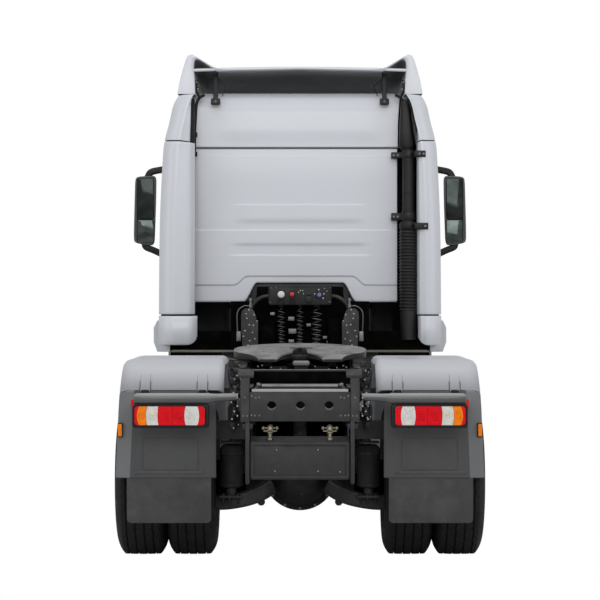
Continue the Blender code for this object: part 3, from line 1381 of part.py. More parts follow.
def step_wells():
    """Entry steps ahead of the front wheel with the front mudguard arch behind them."""
    inn, out = CAB_HALF - 0.298, CAB_HALF + 0.062
    rear, front = FRONT_AXLE_Y + TYRE_R + 0.15, RAIL_FRONT_Y + 0.04
    low, high = CAB_BOTTOM - 0.74, CAB_BOTTOM - 0.03
    well = box(inn, out, rear, front, low, high)
    for i in range(3):
        z = low + 0.06 + 0.22 * i
        cut(well, box(inn + 0.12, out + 0.1, rear + 0.045, front - 0.03, z, z + 0.17))
    arch, inside = [], []
    for i in range(11):
        angle = math.radians(-5 + 190 * i / 10)
        across, up = TYRE_R + 0.165, TYRE_R + 0.1
        arch.append((FRONT_AXLE_Y + across * math.cos(angle), AXLE_Z + up * math.sin(angle)))
        across, up = across - 0.025, up - 0.02
        inside.append((FRONT_AXLE_Y + across * math.cos(angle), AXLE_Z + up * math.sin(angle)))
    skin = prism(arch + inside[::-1], "X", inn, out + 0.025)
    near, link = FRAME_HALF + SEAT, inn + 0.05
    stay = box(near, link, front - 0.2, front - 0.12, high - 0.06, high - 0.01)
    back = FRONT_AXLE_Y - TYRE_R - 0.115
    rear_stay = box(near, link, back, back + 0.04, AXLE_Z + 0.225, AXLE_Z + 0.275)
    foot = box(near, FRAME_HALF + 0.02, back, back + 0.04, AXLE_Z + 0.235, RAIL_LOW + 0.08)
    both_sides(joined(well, skin, stay, rear_stay, foot), "step_well", "dark_plastic")


def build():
    clear_scene()
    make_materials()
    cab_panels()
    doors()
    grille()
    cab_floor()
    side_fairings()
    roof_spoiler()
    cab_fittings()
    air_intake()
    interior()
    ladder_frame()
    cab_mounts()
    rear_beam()
    rear_lamps()
    mudguards()
    air_springs()
    rear_axle()
    fifth_wheel()
    line_gantry()
    side_tanks()
    driveline()
    front_axle()
    knuckles()
    wheels()
    front_bumper()
    step_wells()


build()
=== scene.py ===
"""Looks of the semi truck tractor unit: finishes, tread, lamps, lines, trim, cab inside and the studio.

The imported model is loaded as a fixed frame. Shapes are worked out with numpy as (points, faces) pairs,
and put into meshes by one function. Metres, +Y forward, +X the vehicle's right, +Z up.
"""
import json
import math

import bmesh
import bpy
import numpy as np
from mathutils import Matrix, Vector

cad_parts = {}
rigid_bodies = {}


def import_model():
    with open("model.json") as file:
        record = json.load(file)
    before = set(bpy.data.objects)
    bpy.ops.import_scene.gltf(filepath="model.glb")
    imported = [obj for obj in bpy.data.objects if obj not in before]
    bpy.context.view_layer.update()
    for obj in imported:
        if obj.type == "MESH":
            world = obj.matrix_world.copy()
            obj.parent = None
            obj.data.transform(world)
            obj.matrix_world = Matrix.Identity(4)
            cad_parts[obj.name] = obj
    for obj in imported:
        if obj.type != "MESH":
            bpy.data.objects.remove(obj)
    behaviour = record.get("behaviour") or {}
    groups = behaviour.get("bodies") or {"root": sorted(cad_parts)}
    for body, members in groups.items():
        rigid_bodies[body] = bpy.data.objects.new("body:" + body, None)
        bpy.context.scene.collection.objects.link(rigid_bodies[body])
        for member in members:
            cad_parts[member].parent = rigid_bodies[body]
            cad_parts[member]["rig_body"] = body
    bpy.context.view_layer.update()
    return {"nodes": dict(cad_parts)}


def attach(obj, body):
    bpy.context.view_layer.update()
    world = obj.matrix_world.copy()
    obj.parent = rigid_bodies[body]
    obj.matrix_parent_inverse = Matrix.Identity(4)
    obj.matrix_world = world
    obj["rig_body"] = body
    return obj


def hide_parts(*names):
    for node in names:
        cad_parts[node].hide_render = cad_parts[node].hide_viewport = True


bl_info = {
    "name": "Tractor unit looks",
    "version": (1, 0, 0),
    "blender": (4, 5, 0),
    "location": "View3D > Sidebar > Tractor unit",
    "description": "Dresses the packed tractor unit with its finishes, wheels, lamps, lines and trim",
    "category": "Object",
}

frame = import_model()
NODES = frame["nodes"]

REAR_Y = -3.0
REAR_AXLE_Y = -2.0
FRONT_AXLE_Y = 1.6
AXLE_Z = 0.525
CAB_REAR_Y = 0.72
ROOF_SEAM = 2.996
ROOF_TOP = 3.45
CAD_CREASE = 32.0
SIDES = ((-1, "left"), (1, "right"))
MADE = {}


# Shapes: each is a pair of points [n, 3] and faces, worked out on whole arrays


def full_turn(steps):
    """Angles at even steps once round."""
    return np.linspace(0, 2 * math.pi, steps, endpoint=False)


def grid(points, close_u=False, close_v=False, caps=False):
    """A surface from an array of points [u, v, 3]: each cell of the grid is one face.

    close_u joins the last row to the first, close_v the last column to the first, and caps puts one
    face over the first row and one over the last.
    """
    rows, columns = points.shape[:2]
    ids = np.arange(rows * columns).reshape(rows, columns)
    wrapped = np.vstack([ids, ids[:1]]) if close_u else ids
    wrapped = np.hstack([wrapped, wrapped[:, :1]]) if close_v else wrapped
    cells = np.stack([wrapped[:-1, :-1], wrapped[1:, :-1], wrapped[1:, 1:], wrapped[:-1, 1:]], -1)
    faces = cells.reshape(-1, 4).tolist()
    if caps:
        faces += [ids[0][::-1].tolist(), ids[-1].tolist()]
    return points.reshape(-1, 3), faces


def merged(*shapes):
    """Several shapes as one: their points follow each other and their faces are renumbered."""
    points, faces, start = [], [], 0
    for verts, cells in shapes:
        points.append(verts)
        faces += [[i + start for i in cell] for cell in cells]
        start += len(verts)
    return np.vstack(points), faces


def on_axis(axis, a, b, along):
    """Points with a and b across the axis and along on it."""
    order = {"X": (along, a, b), "Y": (a, along, b), "Z": (a, b, along)}[axis]
    return np.stack(np.broadcast_arrays(*order), -1)


def turned(profile, axis="Z", centre=(0, 0, 0), steps=32, ring=False):
    """A profile of (radius, place along) spun round an axis: radius times cosine and sine of the turn."""
    profile = np.array(profile, float)
    turn = full_turn(steps)[:, None]
    points = on_axis(
        axis, profile[:, 0] * np.cos(turn), profile[:, 0] * np.sin(turn), profile[:, 1] + 0 * turn
    )
    return grid(points + np.array(centre), close_u=True, close_v=ring)


def swept(path, section, up=(0, 0, 1), caps=True, close=False):
    """A closed section carried along a path, square to it and upright to the given direction.

    Each point of the path gets two directions across its tangent, and the section's (a, b) go along them.
    """
    path, section = np.array(path, float), np.array(section, float)
    if close:
        tangent = np.roll(path, -1, 0) - np.roll(path, 1, 0)
    else:
        tangent = np.gradient(path, axis=0)
    tangent /= np.linalg.norm(tangent, axis=1)[:, None]
    across = np.cross(tangent, np.array(up, float))
    across /= np.maximum(np.linalg.norm(across, axis=1), 1e-9)[:, None]
    above = np.cross(across, tangent)
    points = path[:, None] + across[:, None] * section[None, :, :1] + above[:, None] * section[None, :, 1:]
    return grid(points, close_u=close, close_v=True, caps=caps and not close)


def circle(radius, steps=12):
    """Points of a circle round the path: radius times cosine and sine of the turn."""
    turn = full_turn(steps)
    return np.stack([radius * np.cos(turn), radius * np.sin(turn)], -1)


def tube(path, radius, steps=12, up=(0, 0, 1)):
    """A round rod of one radius along a path."""
    return swept(path, circle(radius, steps), up)


def in_plane(outline, axis, place):
    """An outline of (a, b) points set in the plane square to an axis."""
    return on_axis(axis, outline[:, 0], outline[:, 1], place)


def bead(outline, axis, place, section):
    """A closed bead: a section carried round an outline that lies square to an axis."""
    return swept(in_plane(outline, axis, place), section, np.eye(3)["XYZ".index(axis)], close=True)


def solid(profile, axis, centre=(0, 0, 0), steps=32):
    """A turned profile whose two ends are closed by flat faces on the axis."""
    return turned([(0, profile[0][1]), *profile, (0, profile[-1][1])], axis, centre, steps)


def drum(radius, low, high, axis, centre=(0, 0, 0), steps=32):
    """A plain cylinder along an axis."""
    return solid([(radius, low), (radius, high)], axis, centre, steps)


def span(side, near, far):
    """Low and high x of what lies between two distances from the middle on one side."""
    return sorted((side * near, side * far))


def smooth_path(points, steps=8):
    """A Catmull-Rom curve through the points: each stretch is a cubic that keeps its neighbours' slope."""
    p = np.array(points, float)
    p = np.vstack([2 * p[0] - p[1], p, 2 * p[-1] - p[-2]])
    t = np.linspace(0, 1, steps, endpoint=False)[None, :, None]
    a, b, c, d = (p[i:len(p) - 3 + i, None] for i in range(4))
    curve = 0.5 * (2 * b + (c - a) * t + (2 * a - 5 * b + 4 * c - d) * t**2 + (3 * b - a - 3 * c + d) * t**3)
    return np.vstack([curve.reshape(-1, p.shape[1]), p[-2]])


def rounded(a_low, a_high, b_low, b_high, radius, steps=5):
    """Outline of a rectangle with round corners: a quarter circle at each corner."""
    quarter = np.linspace(0, math.pi / 2, steps + 1)
    corners = (
        (a_high - radius, b_high - radius, 0.0),
        (a_low + radius, b_high - radius, 0.5),
        (a_low + radius, b_low + radius, 1.0),
        (a_high - radius, b_low + radius, 1.5),
    )
    parts = [
        np.stack([
            a + radius * np.cos(quarter + turn * math.pi), b + radius * np.sin(quarter + turn * math.pi)
        ], -1)
        for a, b, turn in corners
    ]
    return np.vstack(parts)


def inset(outline, depth):
    """An outline moved inwards along the mean of its two edges' normals at each point."""
    outline = np.array(outline, float)
    before, after = outline - np.roll(outline, 1, 0), np.roll(outline, -1, 0) - outline
    before /= np.maximum(np.linalg.norm(before, axis=1), 1e-9)[:, None]
    after /= np.maximum(np.linalg.norm(after, axis=1), 1e-9)[:, None]
    normal = np.stack([-(before + after)[:, 1], (before + after)[:, 0]], -1)
    normal /= np.maximum(np.linalg.norm(normal, axis=1), 1e-9)[:, None]
    x, y = outline[:, 0], outline[:, 1]
    turning = np.sum(x * np.roll(y, -1) - y * np.roll(x, -1))
    return outline + normal * depth * (1 if turning > 0 else -1)


def slab(outline, axis, low, high, edge=0.0):
    """An outline carried from low to high along an axis, its rims taken in by a round edge.

    The edge is a quarter circle: the outline lies in by edge*(1 - sin t) at edge*(1 - cos t) from its end.
    """
    outline = np.array(outline, float)
    if edge:
        quarter = np.linspace(0, math.pi / 2, 4)
        rims = [(edge * (1 - math.sin(t)), low + edge * (1 - math.cos(t))) for t in quarter]
        rims += [(edge * (1 - math.sin(t)), high - edge * (1 - math.cos(t))) for t in quarter[::-1]]
    else:
        rims = [(0, low), (0, high)]
    rows = []
    for depth, place in rims:
        ring = inset(outline, depth) if depth > 1e-9 else outline
        rows.append(on_axis(axis, ring[:, 0], ring[:, 1], np.full(len(ring), place)))
    return grid(np.array(rows), close_v=True, caps=True)


def block(x0, x1, y0, y1, z0, z1, edge=0.004):
    """A box with round edges."""
    radius = min(edge * 1.6, 0.49 * min(x1 - x0, y1 - y0))
    return slab(rounded(x0, x1, y0, y1, radius, 3), "Z", z0, z1, min(edge, 0.49 * (z1 - z0)))


def repeated(shape, places):
    """Copies of a shape at each of the places."""
    return merged(*[(shape[0] + np.array(place), shape[1]) for place in places])


def turned_about(shape, axis, point, angle):
    """A shape turned round an axis through a point."""
    a, b = {"X": (1, 2), "Y": (2, 0), "Z": (0, 1)}[axis]
    point = np.array(point, float)
    old = shape[0] - point
    new = old.copy()
    new[:, a] = old[:, a] * math.cos(angle) - old[:, b] * math.sin(angle)
    new[:, b] = old[:, a] * math.sin(angle) + old[:, b] * math.cos(angle)
    return new + point, shape[1]


def mirrored(shape, side=-1):
    """The shape on the other side of the vehicle, or as it is where side is 1."""
    if side > 0:
        return shape
    return shape[0] * np.array([-1, 1, 1]), [cell[::-1] for cell in shape[1]]


def bolts(places, axis="Y", way=-1, size=0.014):
    """Hexagon heads on round washers, standing on the points in the way of the axis."""
    head = [(0, 0.0), (size * 0.95, 0.0), (size * 0.95, way * size * 0.2), (size * 0.62, way * size * 0.21)]
    washer = turned(head + [(0, way * size * 0.21)], axis, steps=14)
    rise = [(0, 0.0), (size * 0.62, 0.0), (size * 0.62, way * size * 0.75), (size * 0.5, way * size * 0.86)]
    hexagon = turned(rise + [(0, way * size * 0.86)], axis, steps=6)
    return repeated(merged(washer, hexagon), places)


def rivets(places, axis="Y", way=-1, size=0.006):
    """Domed heads: at a share s of the radius the height is 0.6*size*cos(s*pi/2)."""
    share = np.linspace(1, 0, 5)
    profile = [(size * r, way * size * 0.6 * math.cos(r * math.pi / 2)) for r in share]
    return repeated(turned([(size, 0.0)] + profile, axis, steps=12), places)


# Pieces


def shown(name, mesh, crease, finish, body, replaces):
    """An object of a mesh, smooth up to the crease's angle, with its finish, riding on its body."""
    mesh.polygons.foreach_set("use_smooth", np.ones(len(mesh.polygons), bool))
    mesh.set_sharp_from_angle(angle=math.radians(crease))
    obj = bpy.data.objects.new(name, mesh)
    bpy.context.scene.collection.objects.link(obj)
    slot, make, label, *values = FINISHES[finish]
    if label not in MADE:
        MADE[label] = make(label, *values)
    mesh.materials.clear()
    mesh.materials.append(MADE[label])
    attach(obj, body)
    if replaces:
        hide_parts(*replaces)
    return obj


def edges_rounded(obj, width, angle, harden=False):
    """Rounds the edges whose faces meet at more than an angle."""
    rounding = obj.modifiers.new("Edges", "BEVEL")
    rounding.width = width
    rounding.segments = 2
    rounding.angle_limit = math.radians(angle)
    rounding.harden_normals = harden


def piece(
    name, shape, finish, body="chassis", replaces=(), crease=35.0, bevel=0.0, wall=0.0, inside=(0, 1.5, 1.9)
):
    """One object of a shape. A sheet with a wall faces away from the inside point, its wall behind it."""
    mesh = bpy.data.meshes.new(name)
    mesh.from_pydata(shape[0].tolist(), [], shape[1])
    work = bmesh.new()
    work.from_mesh(mesh)
    bmesh.ops.remove_doubles(work, verts=work.verts, dist=2e-5)
    bmesh.ops.recalc_face_normals(work, faces=work.faces)
    middle = Vector(inside)
    if wall and sum((f.calc_center_median() - middle).dot(f.normal) * f.calc_area() for f in work.faces) < 0:
        bmesh.ops.reverse_faces(work, faces=work.faces)
    work.to_mesh(mesh)
    work.free()
    obj = shown(name, mesh, crease, finish, body, replaces)
    if wall:
        solidify = obj.modifiers.new("Wall", "SOLIDIFY")
        solidify.thickness = wall
        solidify.offset = -1
    if bevel:
        edges_rounded(obj, bevel, 40)
    return obj


def pair(
    name, shape, finish, body="chassis", replaces=(), crease=35.0, bevel=0.0, wall=0.0, inside=(0, 1.5, 1.9)
):
    """A right-hand piece and its mirror image; {} in a name stands for the word of the side."""
    for side, word in SIDES:
        nodes = [node.format(word) for node in replaces]
        point = side * inside[0], inside[1], inside[2]
        shape_here = mirrored(shape, side)
        piece(name.format(word), shape_here, finish, body.format(word), nodes, crease, bevel, wall, point)


def softened(node, finish, width):
    """A copy of a CAD node with its flat faces joined and its edges rounded, in place of the node."""
    work = bmesh.new()
    work.from_mesh(NODES[node].data)
    bmesh.ops.remove_doubles(work, verts=work.verts, dist=1e-5)
    bmesh.ops.dissolve_limit(work, angle_limit=math.radians(0.6), verts=work.verts, edges=work.edges)
    mesh = bpy.data.meshes.new(node + "_finished")
    work.to_mesh(mesh)
    work.free()
    for name in ("custom_normal", "sharp_edge", "sharp_face"):
        if name in mesh.attributes:
            mesh.attributes.remove(mesh.attributes[name])
    obj = shown(node + "_finished", mesh, CAD_CREASE, finish, NODES[node]["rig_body"], [node])
    if width:
        edges_rounded(obj, width, CAD_CREASE, True)


# Finishes


class Finish:
    """Builds one material out of nodes, on Object coordinates."""

    def __init__(self, name, roughness, metallic=0.0, **values):
        self.material = bpy.data.materials.new(name)
        self.material.use_nodes = True
        self.tree = self.material.node_tree
        self.shader = self.tree.nodes["Principled BSDF"]
        self.wire(self.shader, Roughness=roughness, Metallic=metallic, **values)
        self.coordinates = self.add("TexCoord").outputs["Object"]

    def wire(self, node, **values):
        """Sets what the values name: a socket is linked to the input, a plain colour gets its alpha."""
        for key, value in values.items():
            socket = node.inputs.get(key.replace("_", " "))
            if socket is None:
                setattr(node, key, value)
            elif isinstance(value, bpy.types.NodeSocket):
                self.tree.links.new(value, socket)
            else:
                socket.default_value = (*value, 1.0) if socket.type == "RGBA" else value
        return node

    def add(self, kind, **values):
        return self.wire(self.tree.nodes.new("ShaderNode" + kind), **values)

    def stretched(self, scale):
        """The coordinates drawn out by a scale for each axis."""
        return self.add("Mapping", Vector=self.coordinates, Scale=scale).outputs["Vector"]

    def noise(self, scale, detail=3.0, roughness=0.5, stretch=(1, 1, 1)):
        """Fractal noise between 0 and 1 on the object, drawn out by stretch."""
        place = self.stretched(stretch)
        texture = self.add("TexNoise", Vector=place, Scale=scale, Detail=detail, Roughness=roughness)
        return texture.outputs["Fac"]

    def cells(self, scale):
        """Distance from the middle of small uneven cells."""
        return self.add("TexVoronoi", Vector=self.coordinates, Scale=scale).outputs["Distance"]

    def ranged(self, value, low, high, out_low=0.0, out_high=1.0):
        """The value from low to high brought to a new range, and held at its ends."""
        node = self.add("MapRange", Value=value, From_Min=low, From_Max=high, To_Min=out_low, To_Max=out_high)
        return node.outputs["Result"]

    def combined(self, operation, first, second):
        """Two values under one operation of arithmetic."""
        node = self.add("Math", operation=operation)
        self.tree.links.new(first, node.inputs[0])
        self.tree.links.new(second, node.inputs[1])
        return node.outputs[0]

    def colours(self, value, *stops):
        """A ramp of (place, colour) stops driven by a value."""
        node = self.add("ValToRGB", Fac=value)
        elements = node.color_ramp.elements
        while len(elements) < len(stops):
            elements.new(0.5)
        for element, (place, colour) in zip(elements, stops):
            element.position = place
            element.color = (*colour, 1.0)
        return node.outputs["Color"]

    def mixed(self, amount, first, second):
        """Two colours mixed by an amount; each is a socket or a plain colour."""
        node = self.add("Mix", data_type="RGBA", Factor=amount)
        for socket, colour in ((node.inputs[6], first), (node.inputs[7], second)):
            if isinstance(colour, tuple):
                socket.default_value = (*colour, 1.0)
            else:
                self.tree.links.new(colour, socket)
        return node.outputs[2]

    def colour(self, socket):
        self.wire(self.shader, Base_Color=socket)

    def rough(self, scale, detail, low, high, out_low, out_high):
        """Roughness that changes from place to place with a noise."""
        self.wire(self.shader, Roughness=self.ranged(self.noise(scale, detail), low, high, out_low, out_high))

    def bump(self, height, depth, strength):
        """Raises the surface by a height between 0 and 1 times a depth in metres, over the bumps so far."""
        node = self.add("Bump", Height=height, Distance=depth, Strength=strength)
        for link in self.shader.inputs["Normal"].links:
            self.wire(node, Normal=link.from_socket)
        self.wire(self.shader, Normal=node.outputs["Normal"])

    def height(self):
        """The point's height over the ground, in metres."""
        return self.add("SeparateXYZ", Vector=self.coordinates).outputs["Z"]


def scaled(colour, factor):
    """A colour made lighter or darker by a factor, and held at white."""
    return tuple(min(1.0, c * factor) for c in colour)


def paint_finish(name, colour, roughness=0.3, dust=(0.32, 0.31, 0.29), dust_top=1.9):
    """Sprayed paint: fine orange peel, slow shifts of tone, and road dust that thins with height."""
    f = Finish(name, roughness, Coat_Weight=0.35, Coat_Roughness=0.12)
    tone = f.colours(f.noise(0.9, 2.0), (0.3, scaled(colour, 0.985)), (0.7, scaled(colour, 1.01)))
    low = f.ranged(f.height(), 0.4, dust_top, 0.5, 0.0)
    patchy = f.ranged(f.noise(7.0, 5.0, 0.65), 0.35, 0.8)
    f.colour(f.mixed(f.combined("MULTIPLY", low, patchy), tone, dust))
    f.rough(3.0, 4.0, 0.3, 0.7, roughness - 0.02, roughness + 0.04)
    f.bump(f.noise(260.0, 1.0), 0.0003, 0.35)
    f.bump(f.noise(2.2, 2.0), 0.003, 0.12)
    return f.material


def plastic_finish(
    name, colour, roughness=0.55, grain=420.0, depth=0.0006, fade=1.25, painted_light_by_height=None, shine=0.5
):
    """Moulded plastic: a leather-like grain, faded pale patches, and painted light and shade by height:
    between two heights the tone goes over to the colour times a gain.
    """
    f = Finish(name, roughness, Specular_IOR_Level=shine)
    stops = (0.3, scaled(colour, 0.9)), (0.55, colour), (0.85, scaled(colour, fade))
    tone = f.colours(f.noise(2.5, 4.0, 0.6), *stops)
    # Painted light and shade: from low to high the colour is scaled by the gain, lighter on tops that face
    # the lamps, darker where shade falls
    if painted_light_by_height:
        low, high, gain = painted_light_by_height
        tone = f.mixed(f.ranged(f.height(), low, high), tone, scaled(colour, gain))
    f.colour(tone)
    f.rough(9.0, 3.0, 0.3, 0.7, roughness - 0.08, roughness + 0.1)
    f.bump(f.cells(grain), depth, 0.5)
    return f.material


def chassis_finish(name, colour, dirt=(0.1, 0.09, 0.078), amount=0.55):
    """Chassis paint over steel, with dry dirt in blotches and a rough, spattered surface."""
    f = Finish(name, 0.5, Specular_IOR_Level=0.38)
    blotch = f.ranged(f.noise(6.0, 6.0, 0.65), 0.5, 0.8, 0.0, amount)
    tone = f.colours(f.noise(28.0, 3.0), (0.3, scaled(colour, 0.8)), (0.7, scaled(colour, 1.25)))
    f.colour(f.mixed(blotch, tone, dirt))
    f.rough(14.0, 4.0, 0.3, 0.75, 0.34, 0.72)
    f.bump(f.noise(90.0, 4.0, 0.6), 0.0008, 0.35)
    return f.material


def worn_plate_finish(name, grease, steel, polish):
    """Greased casting: rubbed streaks, dark grease, dry dust and freckles of rust on what faces up."""
    f = Finish(name, 0.42, 0.55)
    worn = f.colours(f.noise(7.0, 6.0, 0.62), (0.28, grease), (0.48, steel), (0.75, polish))
    streak = f.noise(5.0, 4.0, 0.6, stretch=(1.0, 9.0, 1.0))
    rubbed = f.mixed(f.ranged(streak, 0.45, 0.7, 0.0, 0.7), worn, (0.3, 0.292, 0.275))
    rust = f.ranged(f.noise(17.0, 7.0, 0.7), 0.6, 0.76, 0.0, 0.8)
    rusty = f.mixed(rust, rubbed, (0.2, 0.105, 0.055))
    normal = f.add("NewGeometry").outputs["Normal"]
    up = f.add("SeparateXYZ", Vector=normal).outputs["Z"]
    f.colour(f.mixed(f.ranged(up, 0.35, 0.85), (0.035, 0.034, 0.033), rusty))
    f.rough(12.0, 5.0, 0.3, 0.75, 0.3, 0.68)
    f.bump(f.noise(45.0, 6.0, 0.65), 0.0016, 0.4)
    return f.material


def rubber_finish(name, colour, roughness=0.78, shine=0.25):
    """Rubber with a dull bloom, dust and fine pores."""
    f = Finish(name, roughness, Specular_IOR_Level=shine)
    bloom = f.ranged(f.noise(5.0, 6.0, 0.7), 0.42, 0.8, 0.0, 0.6)
    f.colour(f.mixed(bloom, colour, scaled(colour, 2.3)))
    f.rough(11.0, 3.0, 0.3, 0.7, roughness - 0.12, roughness + 0.1)
    f.bump(f.noise(300.0, 3.0, 0.6), 0.0005, 0.4)
    return f.material


def shadow_finish(name, soot, dust):
    """Painted shade: a black that gives almost nothing back, with a faint lighter mottle."""
    f = Finish(name, 0.95, Specular_IOR_Level=0.04)
    f.colour(f.colours(f.noise(9.0, 5.0), (0.4, soot), (0.85, dust)))
    return f.material


def metal_finish(name, colour, roughness=0.3, brushed=(1.0, 1.0, 1.0), dull=0.25):
    """Metal with drawn brush marks and dull stains."""
    f = Finish(name, roughness, 0.95)
    stain = f.ranged(f.noise(10.0, 5.0), 0.45, 0.8, 0.0, dull)
    f.colour(f.mixed(stain, colour, scaled(colour, 0.45)))
    f.rough(9.0, 4.0, 0.3, 0.7, roughness - 0.06, roughness + 0.18)
    f.bump(f.noise(160.0, 2.0, stretch=brushed), 0.0003, 0.25)
    return f.material


def casting_finish(name, colour):
    """Rough casting with oil, dust and a few rust flecks."""
    f = Finish(name, 0.6, 0.25)
    tone = f.colours(f.noise(9.0, 5.0, 0.6), (0.3, scaled(colour, 0.7)), (0.7, scaled(colour, 1.4)))
    f.colour(f.mixed(f.ranged(f.noise(21.0, 6.0), 0.62, 0.78, 0.0, 0.6), tone, (0.1, 0.062, 0.04)))
    f.rough(8.0, 4.0, 0.3, 0.7, 0.42, 0.78)
    f.bump(f.noise(70.0, 5.0, 0.65), 0.0015, 0.45)
    return f.material


def lens_finish(name, colour, prisms=105.0):
    """Lamp lens: moulded prisms under a glossy skin, deeper in tone between them."""
    f = Finish(name, 0.12, Specular_IOR_Level=0.12)
    cell = f.ranged(f.cells(prisms), 0.0, 0.7)
    tone = f.combined("MULTIPLY", cell, f.noise(26.0, 3.0))
    f.colour(f.colours(tone, (0.05, scaled(colour, 0.78)), (0.3, colour), (0.6, scaled(colour, 1.12))))
    f.bump(cell, 0.0012, 0.35)
    return f.material


def pane_finish(name, colour, alpha=0.35):
    """Tinted glass that shows what is behind it, with a film of dust."""
    f = Finish(name, 0.03, Alpha=alpha, Specular_IOR_Level=0.7)
    f.colour(f.colours(f.noise(3.0, 4.0), (0.35, colour), (0.8, scaled(colour, 1.6))))
    return f.material


def mirror_finish(name, light=1.0):
    """Mirror glass with a grey-green cast and a little dust; a light factor over 1 makes it paler, a painted
    reflection.
    """
    f = Finish(name, 0.05, 0.85)
    dark, pale = scaled((0.018, 0.024, 0.022), light), scaled((0.05, 0.058, 0.055), light)
    f.colour(f.colours(f.noise(7.0, 4.0), (0.35, dark), (0.8, pale)))
    f.rough(15.0, 4.0, 0.4, 0.8, 0.04, 0.16)
    return f.material


def fabric_finish(name, colour):
    """Seat cloth: a woven check of two sine waves across each other, with a soft nap."""
    f = Finish(name, 0.9, Sheen_Weight=0.3)
    bands = {"wave_type": "BANDS", "bands_direction": "DIAGONAL", "Scale": 160.0}
    warp, weft = (
        f.add("TexWave", Vector=f.stretched(stretch), **bands).outputs["Fac"]
        for stretch in ((1.0, 0.0, 0.4), (0.0, 1.0, 1.0))
    )
    weave = f.combined("ADD", warp, weft)
    f.colour(f.colours(weave, (0.2, scaled(colour, 0.7)), (0.8, scaled(colour, 1.3))))
    f.bump(weave, 0.0012, 0.5)
    return f.material


